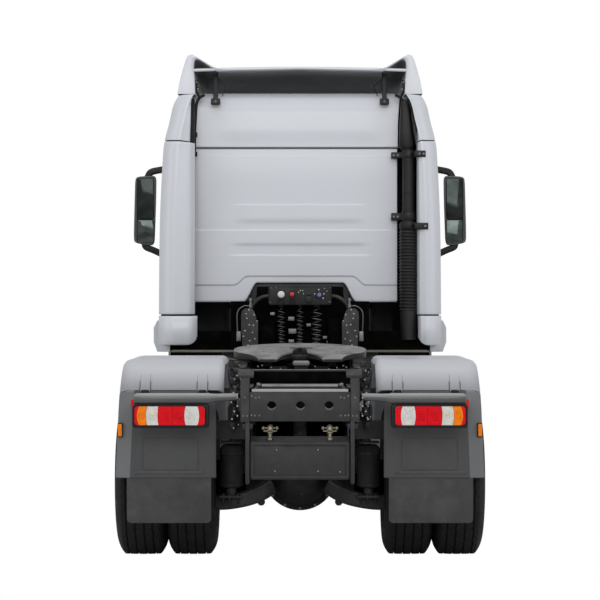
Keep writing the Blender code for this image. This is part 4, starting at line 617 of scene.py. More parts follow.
FINISHES = {
    # name: record's slot, how its material is made, the material's name and its values
    "body": ("body_paint", paint_finish, "body_paint_silver", (0.575, 0.595, 0.64)),
    # Guard top: painted highlight, 1.62 times lighter above 1.17 to 1.3 m where it faces up to the lamps
    "guard": (
        "grey_plastic", plastic_finish, "guard_grey", (0.262, 0.27, 0.29), 0.36, 500.0, 0.0004, 1.05,
        (1.17, 1.3, 1.62),
    ),
    # Painted highlight: the rounded outer band of the guard's lower part, lighter than the flat panel beside
    # it
    "guard_side": ("grey_plastic", plastic_finish, "guard_mid_grey", (0.122, 0.127, 0.134), 0.5),
    "guard_rear": ("grey_plastic", plastic_finish, "guard_dark_grey", (0.047, 0.048, 0.05)),
    # Lamp hood: painted highlight, 3.6 times lighter above 1.12 to 1.145 m on its top
    "hood": (
        "grey_plastic", plastic_finish, "lamp_hood_grey", (0.078, 0.079, 0.081), 0.33, 500.0, 0.0003, 1.25,
        (1.12, 1.145, 3.6),
    ),
    # Spoiler liner: painted light, its grey lighter than the body paint for light thrown up into the spoiler,
    # and painted shade, 0.3 times as dark above 3.575 to 3.625 m under its top
    "liner": (
        "grey_plastic", plastic_finish, "spoiler_liner_grey", (0.78, 0.785, 0.79), 0.5, 500.0, 0.0003, 1.02,
        (3.575, 3.625, 0.3),
    ),
    "dark": ("dark_plastic", plastic_finish, "dark_plastic_grained", (0.012, 0.0122, 0.013), 0.5),
    "black": (
        "dark_plastic", plastic_finish, "black_plastic_smooth", (0.0055, 0.0055, 0.0058), 0.4, 700.0, 0.0002,
        1.25, None, 0.32,
    ),
    "mid": ("dark_plastic", plastic_finish, "mirror_shell_grey", (0.09, 0.095, 0.1), 0.45, 600.0, 0.0003),
    "box": (
        "chassis_paint", plastic_finish, "coupling_box_grey", (0.01, 0.0102, 0.0106), 0.42, 420.0, 0.0006,
        1.25, None, 0.28,
    ),
    "trim": ("trim_plastic", plastic_finish, "cab_trim", (0.1, 0.1, 0.105), 0.65),
    "white_cap": ("lamp_lens", plastic_finish, "cap_white", (0.62, 0.62, 0.6), 0.4),
    "red_cap": ("lamp_lens", plastic_finish, "cap_red", (0.5, 0.03, 0.03), 0.4),
    "blue_cap": ("lamp_lens", plastic_finish, "cap_blue", (0.05, 0.1, 0.32), 0.4),
    # Painted shade: black for sheets and discs set where only shade is seen
    "shadow": ("dark_plastic", shadow_finish, "sooty_black", (0.001, 0.001, 0.001), (0.006, 0.0055, 0.005)),
    "frame": (
        "chassis_paint", chassis_finish, "chassis_black", (0.011, 0.011, 0.0115), (0.055, 0.05, 0.043)
    ),
    "beam": (
        "rear_beam_paint", chassis_finish, "end_beam_grey", (0.017, 0.0172, 0.0176), (0.035, 0.034, 0.032),
        0.22,
    ),
    "flap": ("rubber", rubber_finish, "flap_rubber", (0.04, 0.04, 0.0405), 0.6, 0.3),
    "tyre": ("tyre_rubber", rubber_finish, "tyre_black", (0.0065, 0.0065, 0.0068), 0.72, 0.3),
    "rubber": ("rubber", rubber_finish, "bellows_rubber", (0.008, 0.008, 0.0084), 0.5, 0.4),
    "seal": ("rubber", rubber_finish, "seal_rubber", (0.004, 0.004, 0.004), 0.6, 0.3),
    "hose": ("rubber", rubber_finish, "coil_hose", (0.01, 0.01, 0.011), 0.2, 0.9),
    "plate": (
        "worn_steel", worn_plate_finish, "coupling_plate_worn",
        (0.045, 0.044, 0.042), (0.19, 0.186, 0.18), (0.36, 0.352, 0.34),
    ),
    "walk": ("chassis_paint", casting_finish, "walkway_dusty", (0.09, 0.08, 0.065)),
    "plate_dark": ("worn_steel", casting_finish, "stand_plate_mottled", (0.03, 0.03, 0.03)),
    "cast": ("cast_iron", casting_finish, "axle_casting", (0.0035, 0.0035, 0.0037)),
    "rim": ("rim_steel", metal_finish, "rim_silver", (0.42, 0.43, 0.44), 0.42, (1, 1, 1), 0.5),
    "brass": ("worn_steel", metal_finish, "fitting_brass", (0.3, 0.27, 0.2), 0.35, (1, 1, 1), 0.6),
    "steel": ("worn_steel", metal_finish, "fastener_zinc", (0.4, 0.4, 0.39), 0.3, (1, 1, 1), 0.35),
    "grey_steel": ("worn_steel", metal_finish, "bolt_grey", (0.2, 0.2, 0.2), 0.42, (1, 1, 1), 0.5),
    "alloy": ("aluminium", metal_finish, "tank_aluminium", (0.55, 0.56, 0.57), 0.3, (14.0, 1.0, 1.0)),
    "red": ("lamp_lens", lens_finish, "lens_red", (0.62, 0.006, 0.013)),
    "amber": ("lamp_lens", lens_finish, "lens_amber", (0.8, 0.2, 0.01)),
    "clear": ("lamp_lens", lens_finish, "lens_clear", (0.6, 0.59, 0.56), 130.0),
    "yellow": ("lamp_lens", lens_finish, "lens_pale_yellow", (0.66, 0.56, 0.3), 130.0),
    "pane": ("glass", pane_finish, "window_glass", (0.03, 0.036, 0.036)),
    "pane_clear": ("lamp_lens", pane_finish, "headlamp_glass", (0.5, 0.52, 0.53), 0.3),
    "mirror": ("glass", mirror_finish, "mirror_glass"),
    # Lower pane: painted reflection, its colour 2.6 times lighter than the upper pane's
    "mirror_low": ("glass", mirror_finish, "mirror_glass_wide", 2.6),
    "cloth": ("seat_fabric", fabric_finish, "seat_cloth", (0.075, 0.078, 0.085)),
}


# Rear wheels' guards, flaps and lamps

GUARD_IN = 0.5
GUARD_OUT = 1.215
GUARD_LEAN = 0.035
GUARD_TOP = 1.357
GUARD_BOTTOM = 0.583
GUARD_SEAM = 1.153
GUARD_RADIUS = 0.34
GUARD_DROOP = 0.045
GUARD_DROOP_WIDTH = 0.09
GUARD_REAR_Y = -2.72
GUARD_FRONT_Y = -1.28
FLAP_LOW = 0.286
PANEL_OUT = 1.112


def step(low, high, value):
    """0 up to low, 1 from high, and the cubic 3s^2 - 2s^3 between them."""
    share = np.clip((value - low) / (high - low), 0, 1)
    return share * share * (3 - 2 * share)


def guard_line(start, end, steps=60):
    """Points (y, z) on the mudguard's side line, by the share of the way from its rear lower end.

    The line is a straight, a quarter circle, a straight, a quarter circle and a straight.
    """
    turn = np.linspace(0, math.pi / 2, 19)
    rear = GUARD_REAR_Y + GUARD_RADIUS * (1 - np.cos(turn)), GUARD_TOP - GUARD_RADIUS * (1 - np.sin(turn))
    front = GUARD_FRONT_Y - GUARD_RADIUS * (1 - np.cos(turn[::-1])), rear[1][::-1]
    y = np.hstack([GUARD_REAR_Y, rear[0], front[0], GUARD_FRONT_Y])
    z = np.hstack([GUARD_BOTTOM, rear[1], front[1], GUARD_TOP - 0.557])
    length = np.hstack([0, np.cumsum(np.hypot(np.diff(y), np.diff(z)))])
    place = np.linspace(start, end, steps) * length[-1]
    return np.stack([np.interp(place, length, y), np.interp(place, length, z)], -1)


def guard_share(height):
    """Share of the line at which the rear of the guard reaches a height."""
    line = guard_line(0, 0.5, 400)
    return float(np.interp(height, line[:, 1], np.linspace(0, 0.5, 400)))


def guard_sheet(start, end, x_low, x_high, out=0.0, steps=60, columns=28):
    """Part of the mudguard's skin: its line carried across, drooping at the outer edge.

    In the last 90 mm the line sinks inwards by 45 mm times 1 - sqrt(1 - s^2), and leans in with height.
    The inner edge of the full sheet sinks the same way within 55 mm.
    """
    line = guard_line(start, end, steps)
    x = np.linspace(x_low, x_high, columns)
    share = np.clip((x - (GUARD_OUT - GUARD_DROOP_WIDTH)) / GUARD_DROOP_WIDTH, 0, 1)
    drop = GUARD_DROOP * (1 - np.sqrt(np.maximum(1 - share**2, 0.0))) - out
    near = np.clip((GUARD_IN + 0.055 - x) / 0.055, 0, 1) * (x_low < GUARD_IN + 0.01)
    drop = drop + GUARD_DROOP * (1 - np.sqrt(np.maximum(1 - near**2, 0.0)))
    middle = np.array([REAR_AXLE_Y, GUARD_TOP - 0.62])
    toward = middle - line
    toward /= np.linalg.norm(toward, axis=1)[:, None]
    toward[line[:, 1] < GUARD_TOP - GUARD_RADIUS, 1] = 0
    points = line[:, None] + toward[:, None] * drop[None, :, None]
    lean = GUARD_LEAN * (points[..., 1] - GUARD_BOTTOM) / (GUARD_TOP - GUARD_BOTTOM)
    lean = lean * step(GUARD_IN + 0.3, GUARD_OUT - GUARD_DROOP_WIDTH, x)[None]
    return grid(np.stack([x[None] - lean, points[..., 0], points[..., 1]], -1))


def make_guards():
    """Rear mudguards with their panels and clips, the flaps, reflectors and side markers."""
    seam = guard_share(GUARD_SEAM)
    rear = GUARD_REAR_Y - 0.004
    middle = (0.85, REAR_AXLE_Y, 0.7)
    top = guard_sheet(seam + 0.002, 1.0, GUARD_IN, GUARD_OUT, steps=90, columns=40)
    pair("rear_mudguard_{}_top", top, "guard", "chassis", ["rear_mudguard_{}"], 50, 0.003, 0.012, middle)
    # The band's lighter grey is a painted highlight on the edge that turns to the side
    band = guard_sheet(0.0, seam, PANEL_OUT, GUARD_OUT, steps=40, columns=16)
    pair("rear_mudguard_{}_band", band, "guard_side", "chassis", (), 50, 0.002, 0.012, middle)
    panel = guard_sheet(0.0, seam, GUARD_IN + 0.05, PANEL_OUT + 0.004, 0.004, 50, 20)
    corner = np.maximum(0, 0.09 - (panel[0][:, 0] - GUARD_IN - 0.05)) / 0.09
    high = step(GUARD_SEAM - 0.12, GUARD_SEAM, panel[0][:, 2])
    panel[0][:, 2] -= 0.05 * corner**2 * high
    pair("rear_mudguard_{}_panel", panel, "guard_rear", "chassis", (), 50, 0.003, 0.012, middle)
    arms = [block(0.575, 0.625, y - 0.025, y + 0.025, 1.09, 1.335, 0.004) for y in (-2.3, -1.7)]
    arms += [tube([(0.388, y, 1.11), (0.6, y, 1.11)], 0.022, 16, up=(0, 1, 0)) for y in (-2.3, -1.7)]
    pair("guard_arms_{}", merged(*arms), "frame")
    flap = slab(
        rounded(0.583, 1.136, FLAP_LOW, GUARD_BOTTOM + 0.03, 0.028), "Y", rear + 0.006, rear + 0.014, 0.002
    )
    pair("flap_{}", flap, "flap")
    # frame pressed into the panel, bar above the flap, clips at the seam
    frame_line = rounded(0.668, 1.034, 0.637, 0.846, 0.02)
    pressed = bead(frame_line, "Y", rear + 0.001, circle(0.0042, 6))
    bar = block(0.628, 1.091, rear - 0.004, rear + 0.004, 0.606, 0.63, 0.002)
    spots = [(x, rear - 0.003, 0.618) for x in (0.65, 0.86, 1.07)]
    trim = merged(pressed, bar, rivets(spots, size=0.007))
    pair("guard_trim_{}", trim, "guard_rear")
    for name, x in (("outer", 1.018), ("inner", 0.642)):
        line = guard_line(seam - 0.002, seam + 0.05, 8)
        offset = np.array([-0.6, 0.8]) * 0.002
        strap = [(x, y + offset[0], z + offset[1]) for y, z in line]
        hasp = swept(
            strap, [(-0.034, -0.003), (0.034, -0.003), (0.03, 0.004), (-0.03, 0.004)], up=(0, -1, 0.6)
        )
        y, z = line[0]
        hook = block(x - 0.016, x + 0.016, y - 0.014, y + 0.002, z - 0.02, z + 0.012, 0.003)
        pair("guard_clip_%s_{}" % name, hasp, "guard")
        edges = []
        for way in (-1, 1):
            edge = [(x + way * 0.036, y - 0.002, z + 0.001) for x, y, z in strap[:5]]
            edges.append(tube(edge, 0.0013, 6, up=(0, 1, 0)))
        loop = [
            (x - 0.02, y - 0.012, z + 0.012), (x - 0.02, y - 0.014, z - 0.012),
            (x + 0.02, y - 0.014, z - 0.012), (x + 0.02, y - 0.012, z + 0.012),
        ]
        edges.append(tube(smooth_path(loop, 4), 0.0035, 6, up=(0, 1, 0)))
        pair("guard_hook_%s_{}" % name, merged(hook, *edges), "black")
    strip = slab(rounded(1.086, 1.106, 1.035, 1.1, 0.004), "Y", rear - 0.008, rear + 0.003, 0.002)
    pair("reflector_strip_{}", strip, "red")
    base = slab(rounded(1.163, 1.197, 0.85, 0.943, 0.005), "Y", rear - 0.004, rear + 0.02, 0.002)
    marker = slab(rounded(1.168, 1.193, 0.856, 0.937, 0.006), "Y", rear - 0.016, rear + 0.004, 0.004)
    pair("marker_base_{}", base, "black")
    pair("marker_{}", marker, "amber")


def lens_part(x_low, x_high, low, high, bulge_low, bulge_high, y, depth, corner=(0.0, 0.0)):
    """One lens segment: its upright edges bulge sideways by bulge*(1 - s^2), s from -1 to 1 over its height.

    A corner radius r draws an edge in by r - sqrt(r^2 - d^2) at depth d into the corner.
    """
    share = np.sin(np.linspace(-math.pi / 2, math.pi / 2, 25))
    z = (low + high) / 2 + share * (high - low) / 2
    left = x_low + bulge_low * (1 - share**2)
    right = x_high + bulge_high * (1 - share**2)
    for radius, edge, way in ((corner[0], left, 1), (corner[1], right, -1)):
        if radius:
            deep = np.clip(np.abs(z - (low + high) / 2) - ((high - low) / 2 - radius), 0, radius)
            edge += way * (radius - np.sqrt(np.maximum(radius**2 - deep**2, 0)))
    outline = np.vstack([np.stack([right, z], -1), np.stack([left, z], -1)[::-1]])
    return slab(outline, "Y", y - depth, y, 0.0015)


def make_lamps():
    """Rear lamps: black housing, coloured lens segments over ribbed reflector rings."""
    face = REAR_Y + 0.035
    low, high = 0.943, 1.064
    shell = slab(rounded(0.588, 1.083, 0.924, 1.0775, 0.02), "Y", face + 0.004, face + 0.07, 0.006)
    rim_line = rounded(0.606, 1.073, 0.935, 1.07, 0.018)
    rim = bead(rim_line, "Y", face + 0.003, circle(0.0045, 8))
    pair("rear_lamp_{}_housing", merged(shell, rim), "black", "chassis", ["rear_lamp_{}"])
    parts = (
        ("red", "border", 1.068, 1.026, 0.0, 0.0),
        ("amber", "turn", 1.037, 0.984, 0.015, 0.009),
        ("clear", "reverse", 0.984, 0.912, 0.009, 0.006),
        ("red", "stop", 0.912, 0.823, 0.006, 0.0),
        ("red", "tail", 0.823, 0.737, 0.0, 0.009),
        ("clear", "fog", 0.737, 0.66, 0.009, -0.01),
        ("red", "end", 0.668, 0.613, 0.0, 0.0),
    )
    for finish, name, x_high, x_low, bulge_high, bulge_low in parts:
        corner = (0.02 * (name == "end"), 0.024 * (name == "border"))
        back = 0.0088 if name in ("border", "end") else 0.008
        segment = lens_part(
            x_low + 0.0005, x_high - 0.0005, low, high, bulge_low, bulge_high, face + back, 0.013, corner
        )
        pair("rear_lamp_{}_" + name, segment, finish, crease=16)
    rings = []
    for x, radius in ((1.02, 0.024), (0.948, 0.026), (0.866, 0.03), (0.78, 0.03), (0.698, 0.027)):
        for share in (1.0, 0.72, 0.44):
            r = radius * share
            rings.append(turned([
                (r - 0.0012, 0.0), (r, -0.0016), (r + 0.0012, 0.0)
            ], "Y", (x, face - 0.0048, 1.0035), 28))
    names = ("amber", "clear", "red", "red", "clear")
    for index, finish in enumerate(names):
        trio = merged(*rings[index * 3:index * 3 + 3])
        pair("rear_lamp_{}_rings_%d" % index, trio, finish)
    spot = turned([(0.0, -0.004), (0.009, -0.0025), (0.012, 0.0)], "Y", (0.948, face - 0.0045, 1.012), 20)
    pair("rear_lamp_{}_bulb", spot, "yellow")
    # hood: a long roll over the lamp that tapers into its arm, its top painted lighter as a highlight
    span = np.array([1.073, 1.06, 1.0, 0.9, 0.7, 0.6, 0.585, 0.54, 0.46, 0.4])
    depth = np.array([0.03, 0.036, 0.037, 0.037, 0.037, 0.037, 0.034, 0.026, 0.024, 0.022])
    centre = np.array([1.108, 1.11, 1.111, 1.111, 1.111, 1.111, 1.112, 1.118, 1.122, 1.124])
    turn = full_turn(24)
    rows = np.stack([
        span[:, None] + 0 * turn,
        face + 0.045 + depth[:, None] * 1.15 * np.cos(turn),
        centre[:, None] + depth[:, None] * np.sign(np.sin(turn)) * np.abs(np.sin(turn)) ** 0.8,
    ], -1)
    pair("lamp_hood_{}", grid(rows, close_v=True, caps=True), "hood", crease=60)


# Cab shell: roof, back wall, corner fairings, roof spoiler, air intake

CAB_SECTIONS = np.array([
    # z, half width, front y, rear y, front corner radius, rear corner radius, bow
    (1.12, 1.108, 2.9, 0.72, 0.24, 0.1, 0.06),
    (1.4014, 1.128, 2.93, 0.72, 0.26, 0.1, 0.07),
    (1.9454, 1.128, 2.94, 0.72, 0.28, 0.1, 0.08),
    (2.452, 1.12, 2.88, 0.72, 0.3, 0.1, 0.09),
    (2.9022, 1.098, 2.8, 0.72, 0.32, 0.1, 0.09),
    (3.04, 1.083, 2.76, 0.72, 0.34, 0.1, 0.09),
    (3.2, 1.043, 2.66, 0.72, 0.36, 0.1, 0.1),
    (3.33, 1.013, 2.51, 0.725, 0.38, 0.11, 0.11),
    (3.41, 0.968, 2.31, 0.75, 0.4, 0.13, 0.12),
    (3.45, 0.908, 2.08, 0.8, 0.42, 0.15, 0.12),
])
CAB_ROWS = smooth_path(CAB_SECTIONS, 12)
PANEL_GAP = 0.004


def half_at(z):
    """Half width of the cab's side at each height."""
    return np.interp(z, CAB_ROWS[:, 0], CAB_ROWS[:, 1])


def cab_ring(row, back_steps=150):
    """Plan of the cab at one level: bowed front y - bow*s^2, round corners and a flat back."""
    _, half, front, rear, front_r, rear_r, bow = row
    flat = half - front_r
    share = np.linspace(1, -1, 25)
    bowed = np.stack([flat * share, front - bow * share**2], -1)
    start = math.pi / 2 + math.atan(2 * bow / flat)
    turn = np.linspace(start, math.pi, 13)[1:]
    x = -flat + front_r * (np.cos(turn) - math.cos(start))
    left = np.stack([x, front - bow + front_r * (np.sin(turn) - math.sin(start))], -1)
    wide = -left[-1, 0]
    turn = np.linspace(math.pi, 1.5 * math.pi, 9)
    corner = np.stack([rear_r - wide + rear_r * np.cos(turn), rear + rear_r + rear_r * np.sin(turn)], -1)
    back = np.linspace(rear_r - wide, wide - rear_r, back_steps)[1:-1]
    back = np.stack([back, np.full(len(back), rear)], -1)
    mirror = np.array([-1, 1])
    ring = np.vstack([bowed, left, corner, back, (corner * mirror)[::-1], (left * mirror)[::-1][:-1]])
    ring[:, 0] *= half / wide
    return ring


def roof_relief(x, z):
    """Roof's back: a wide step under 3.31 that fades to the sides and downwards."""
    across = 1 - step(0.5, 0.74, np.abs(x))
    return 0.007 * across * (1 - step(3.292, 3.322, z)) * step(3.0, 3.16, z)


def back_relief(x, z):
    """Back wall's swages, as products of smooth steps.

    A step under the roof seam, a raised band, a full-width raised field, a sunk band in it, and the
    field's lower border, which follows the notch.
    """
    wide = np.abs(x)
    relief = 0.005 * (1 - step(2.929, 2.941, z)) * (1 - step(0.6, 0.82, wide)) * step(2.5, 2.85, z)
    relief = relief + 0.007 * (1 - step(0.4, 0.56, wide)) * step(2.37, 2.42, z) * (1 - step(2.529, 2.54, z))
    edge = step(-0.008, 0.008, z - field_line(wide))
    relief = relief + 0.008 * (1 - step(2.319, 2.33, z)) * edge * (1 - step(0.9, 1.0, wide))
    sunk = (1 - step(0.44, 0.6, wide)) * step(2.113, 2.124, z) * (1 - step(2.188, 2.222, z))
    return relief - 0.007 * sunk


def field_line(wide):
    """Lower border of the raised field: 73 mm higher over the notch than beside it."""
    return 1.872 + 0.073 * (1 - step(0.43, 0.54, wide))


def back_levels(x):
    """Heights of the back wall's rows: they follow the notch and the field's border, then run level.

    The rows stand closer where a swage's edge crosses.
    """
    low = 1.733 + 0.159 * (1 - step(0.352, 0.462, np.abs(x)))
    line = field_line(np.abs(x))
    under = low + (line - 0.01 - low) * np.linspace(0, 1, 14)[None, :-1]
    across = line + np.linspace(-0.01, 0.01, 9)[None]
    over = line + 0.01 + (2.03 - line - 0.01) * np.linspace(0, 1, 9)[None, 1:]
    high = ROOF_SEAM - PANEL_GAP
    edges = [np.linspace(z - 0.012, z + 0.012, 9) for z in (2.1185, 2.205, 2.3245, 2.395, 2.5345, 2.935)]
    level = np.unique(np.round(np.hstack([np.linspace(2.042, high, 64)] + edges), 4))
    return np.hstack([under, across, over, np.repeat(level[None], len(x), 0)])


def make_roof():
    """Roof: rings of the cab's plan at each height over the seam, closed by a crown that flattens out."""
    rows = CAB_ROWS[CAB_ROWS[:, 0] > ROOF_SEAM + 0.008]
    first = np.array([np.interp(ROOF_SEAM + PANEL_GAP, CAB_ROWS[:, 0], column) for column in CAB_ROWS.T])
    rows = np.vstack([first, rows])
    rings = np.array([cab_ring(row) for row in rows])
    heights = np.repeat(rows[:, :1], rings.shape[1], 1)
    points = np.dstack([rings, heights])
    behind = points[..., 1] < rows[:, 3:4] + 0.004
    points[..., 1] -= roof_relief(points[..., 0], points[..., 2]) * behind
    top = points[-1]
    middle = top.mean(0)
    shares = np.array([0.985, 0.93, 0.75, 0.45, 0.12])[:, None, None]
    crown = middle + (top - middle) * shares
    crown[..., 2] = ROOF_TOP - 0.001 * (1 - shares[..., 0])
    skin = grid(np.concatenate([points, crown]), close_v=True)
    start = (len(points) + len(crown) - 1) * rings.shape[1]
    skin[1].append(list(range(start, start + rings.shape[1])))
    piece("cab_roof_skin", skin, "body", "cab", ["cab_roof"], 60, 0.0, 0.03)


def make_back():
    """Back wall: a sheet that the swages raise by height and width, black blocks of painted shade behind the
    intake, and its seals.
    """
    x = np.linspace(-1.02, 1.02, 145)[:, None]
    z = back_levels(x)
    y = CAB_REAR_Y - back_relief(x + 0 * z, z) + 0.004 * (1 - step(0, 0.014, z - z[:, :1])) ** 2
    piece("cab_back_skin", grid(np.dstack([x + 0 * z, y, z])), "body", "cab", ["cab_back"], 60, 0.0, 0.03)
    # Painted shade: black blocks laid over the wall behind the intake's duct, pipe and elbow
    black = [
        block(0.795, 0.952, 0.694, 0.708, 1.7, ROOF_SEAM - 0.006, 0.003),
        slab([
            (0.8, 3.002), (0.952, 3.002), (0.935, 3.1), (0.9, 3.26), (0.875, 3.385), (0.815, 3.4),
            (0.802, 3.2),
        ], "Y", 0.694, 0.708, 0.002),
        block(0.76, 0.98, 0.73, 0.76, 1.42, 1.75, 0.003),
    ]
    piece("intake_painted_shade", merged(*black), "shadow", "cab")
    gasket = []
    for side in (-1, 1):
        line = [
            (0.862, 0.7, 2.925), (0.863, 0.696, 3.09), (0.857, 0.694, 3.22), (0.848, 0.694, 3.35),
            (0.822, 0.694, 3.405), (0.78, 0.694, 3.43),
        ]
        line = smooth_path([(side * a, b, c) for a, b, c in line], 8)
        gasket.append(swept(line, rounded(-0.012, 0.012, -0.008, 0.012, 0.006, 3), up=(0, -1, 0)))
        for z in (2.945, 3.105):
            gasket.append(block(
                side * 0.861 - 0.024, side * 0.861 + 0.02, 0.688, 0.712, z - 0.02, z + 0.02, 0.004
            ))
    seam = [(x, 0.726, ROOF_SEAM) for x in np.linspace(-1.0, 1.0, 20)]
    gasket.append(swept(seam, [(-0.012, -0.004), (0.012, -0.004), (0.012, 0.004), (-0.012, 0.004)]))
    piece("back_seals", merged(*gasket), "seal", "cab")


def fairing_part(side, inner, lows, highs, corner=0.0, rows=40):
    """One part of a corner fairing, from a lower to an upper edge that both run from side to inner end.

    Seen from above it is a straight side, a quarter circle and a face turned in. The lower inner corner
    is cut round: the edge rises by r - sqrt(r^2 - (r - d)^2) at distance d from the inner end.
    """
    turn = np.linspace(0, math.pi / 2, 12)
    radius, rear, front = 0.13, 0.46, 0.88
    along_y = np.linspace(front, rear + radius, 8)[:-1]
    columns = 20
    u_total = np.linspace(0, 1, len(along_y) + len(turn) + columns)
    share = np.linspace(0, 1, rows)[:, None]
    low = lows[0] + (lows[1] - lows[0]) * u_total
    high = highs[0] + (highs[1] - highs[0]) * u_total
    z = low + (high - low) * share

    def plan(z):
        outer = (half_at(z) + 0.0184)[..., None]
        in_x = np.minimum(inner, half_at(z) - 0.1)[..., None]
        straight = np.dstack([outer + 0 * along_y, 0 * outer + along_y])
        arc_x = outer - radius + radius * np.cos(turn)
        arc_y = 0 * outer + rear + radius - radius * np.sin(turn)
        way = np.linspace(0, 1, columns + 1)[1:]
        flat_x = (outer - radius) + (in_x - outer + radius) * way
        flat_y = 0 * outer + rear + 0.03 * way + 0.05 * np.clip((way - 0.6) / 0.4, 0, 1) ** 2
        return straight, np.dstack([arc_x, arc_y]), np.dstack([flat_x, flat_y])

    level = z[:, len(along_y) + 6]
    straight, arc, flat = plan(level)
    plane = np.concatenate([straight, arc, flat], 1)
    points = np.dstack([plane, z])
    if corner:
        distance = np.abs(plane[..., 0] - plane[:, -1:, 0])
        inside = np.clip(corner - distance, 0, corner)
        rise = corner - np.sqrt(corner**2 - inside**2 * 0.98)
        points[..., 2] = z + rise * (1 - share)
    points[..., 0] *= side
    shape = grid(points)
    return shape if side > 0 else (shape[0], [cell[::-1] for cell in shape[1]])


def make_fairings():
    """Three stacked parts of each corner fairing, with a dark liner behind their joints: painted shade that
    shows through the gaps.
    """
    for side, word, inner, tip in ((-1, "left", 0.85, 0.83), (1, "right", 0.947, 0.955)):
        node = "side_fairing_" + word
        upper = fairing_part(side, max(inner, 0.872), (3.052, 3.03), (3.405, 3.418))
        main = fairing_part(side, inner, (1.634, 1.634), (3.043, 3.021), rows=60)
        lower = fairing_part(side, tip, (1.385, 1.385), (1.622, 1.622), corner=0.085, rows=24)
        lower[0][:, 1] -= 0.012 + 0.03 * np.sin(
            np.clip((lower[0][:, 2] - 1.385) / 0.237, 0, 1) * math.pi
        ) ** 0.7
        piece(node + "_upper", upper, "body", "cab", (), 50, 0.006, 0.014)
        piece(node + "_main", main, "body", "cab", [node], 50, 0.006, 0.014)
        piece(node + "_lower", lower, "body", "cab", (), 50, 0.008, 0.02)
        # Painted shade: a black sheet behind the parts, seen through their joints and past their inner edges
        dark = fairing_part(side, inner + 0.02, (1.45, 1.45), (3.38, 3.38), rows=30)
        dark[0][:, 1] += 0.018
        dark[0][:, 0] -= side * 0.016
        piece(node + "_liner", dark, "seal", "cab", (), 50, 0.0, 0.006)


SPOILER_STATIONS = np.array([
    # y, base half width, tip half width, tip height, flat half width, flat height over the roof
    (0.62, 1.0, 0.905, 0.302, 0.68, 0.186),
    (1.2, 0.985, 0.9, 0.26, 0.68, 0.18),
    (1.75, 0.94, 0.87, 0.15, 0.66, 0.11),
    (2.1, 0.86, 0.8, 0.03, 0.6, 0.025),
])


def even(line, count):
    """A line's points at equal lengths along it."""
    length = np.hstack([0, np.cumsum(np.linalg.norm(np.diff(line, axis=0), axis=1))])
    place = np.linspace(0, length[-1], count)
    return np.stack([np.interp(place, length, line[:, i]) for i in range(line.shape[1])], -1)


def both_halves(half):
    """A right-hand line down to the middle, carried on as its own mirror image."""
    return np.vstack([half, (half * np.array([-1, 1]))[::-1][1:]])


def spoiler_line(row, hollow=False):
    """Section of the spoiler across the vehicle: leaning side, round fin tip, slope to the crowned middle."""
    _, base, tip, rise, flat, flat_rise = row
    top, lean, level = ROOF_TOP + rise, base - tip, ROOF_TOP + flat_rise
    if hollow:
        half = [
            (base - 0.145, ROOF_TOP - 0.022), (base - 0.14, ROOF_TOP + rise * 0.3),
            (tip - 0.04, top - rise * 0.34), (tip - 0.05, top - rise * 0.14),
            (tip - 0.085, top - rise * 0.14), (flat, level - 0.02), (0, level - 0.008),
        ]
        fine = np.vstack([smooth_path(half[:5], 6), smooth_path(half[5:], 20)])
    else:
        half = [
            (base, ROOF_TOP - 0.02), (base - lean * 0.25, ROOF_TOP + rise * 0.35),
            (tip + lean * 0.3, top - rise * 0.17), (tip + lean * 0.06, top - rise * 0.03),
            (tip - rise * 0.07, top), (tip - rise * 0.18, top - rise * 0.055), (flat + 0.02, level + 0.012),
            (flat - 0.04, level), (0, level + 0.012),
        ]
        fine = np.vstack([smooth_path(half[:7], 6), smooth_path(half[7:], 20)])
    return both_halves(even(fine, 60))


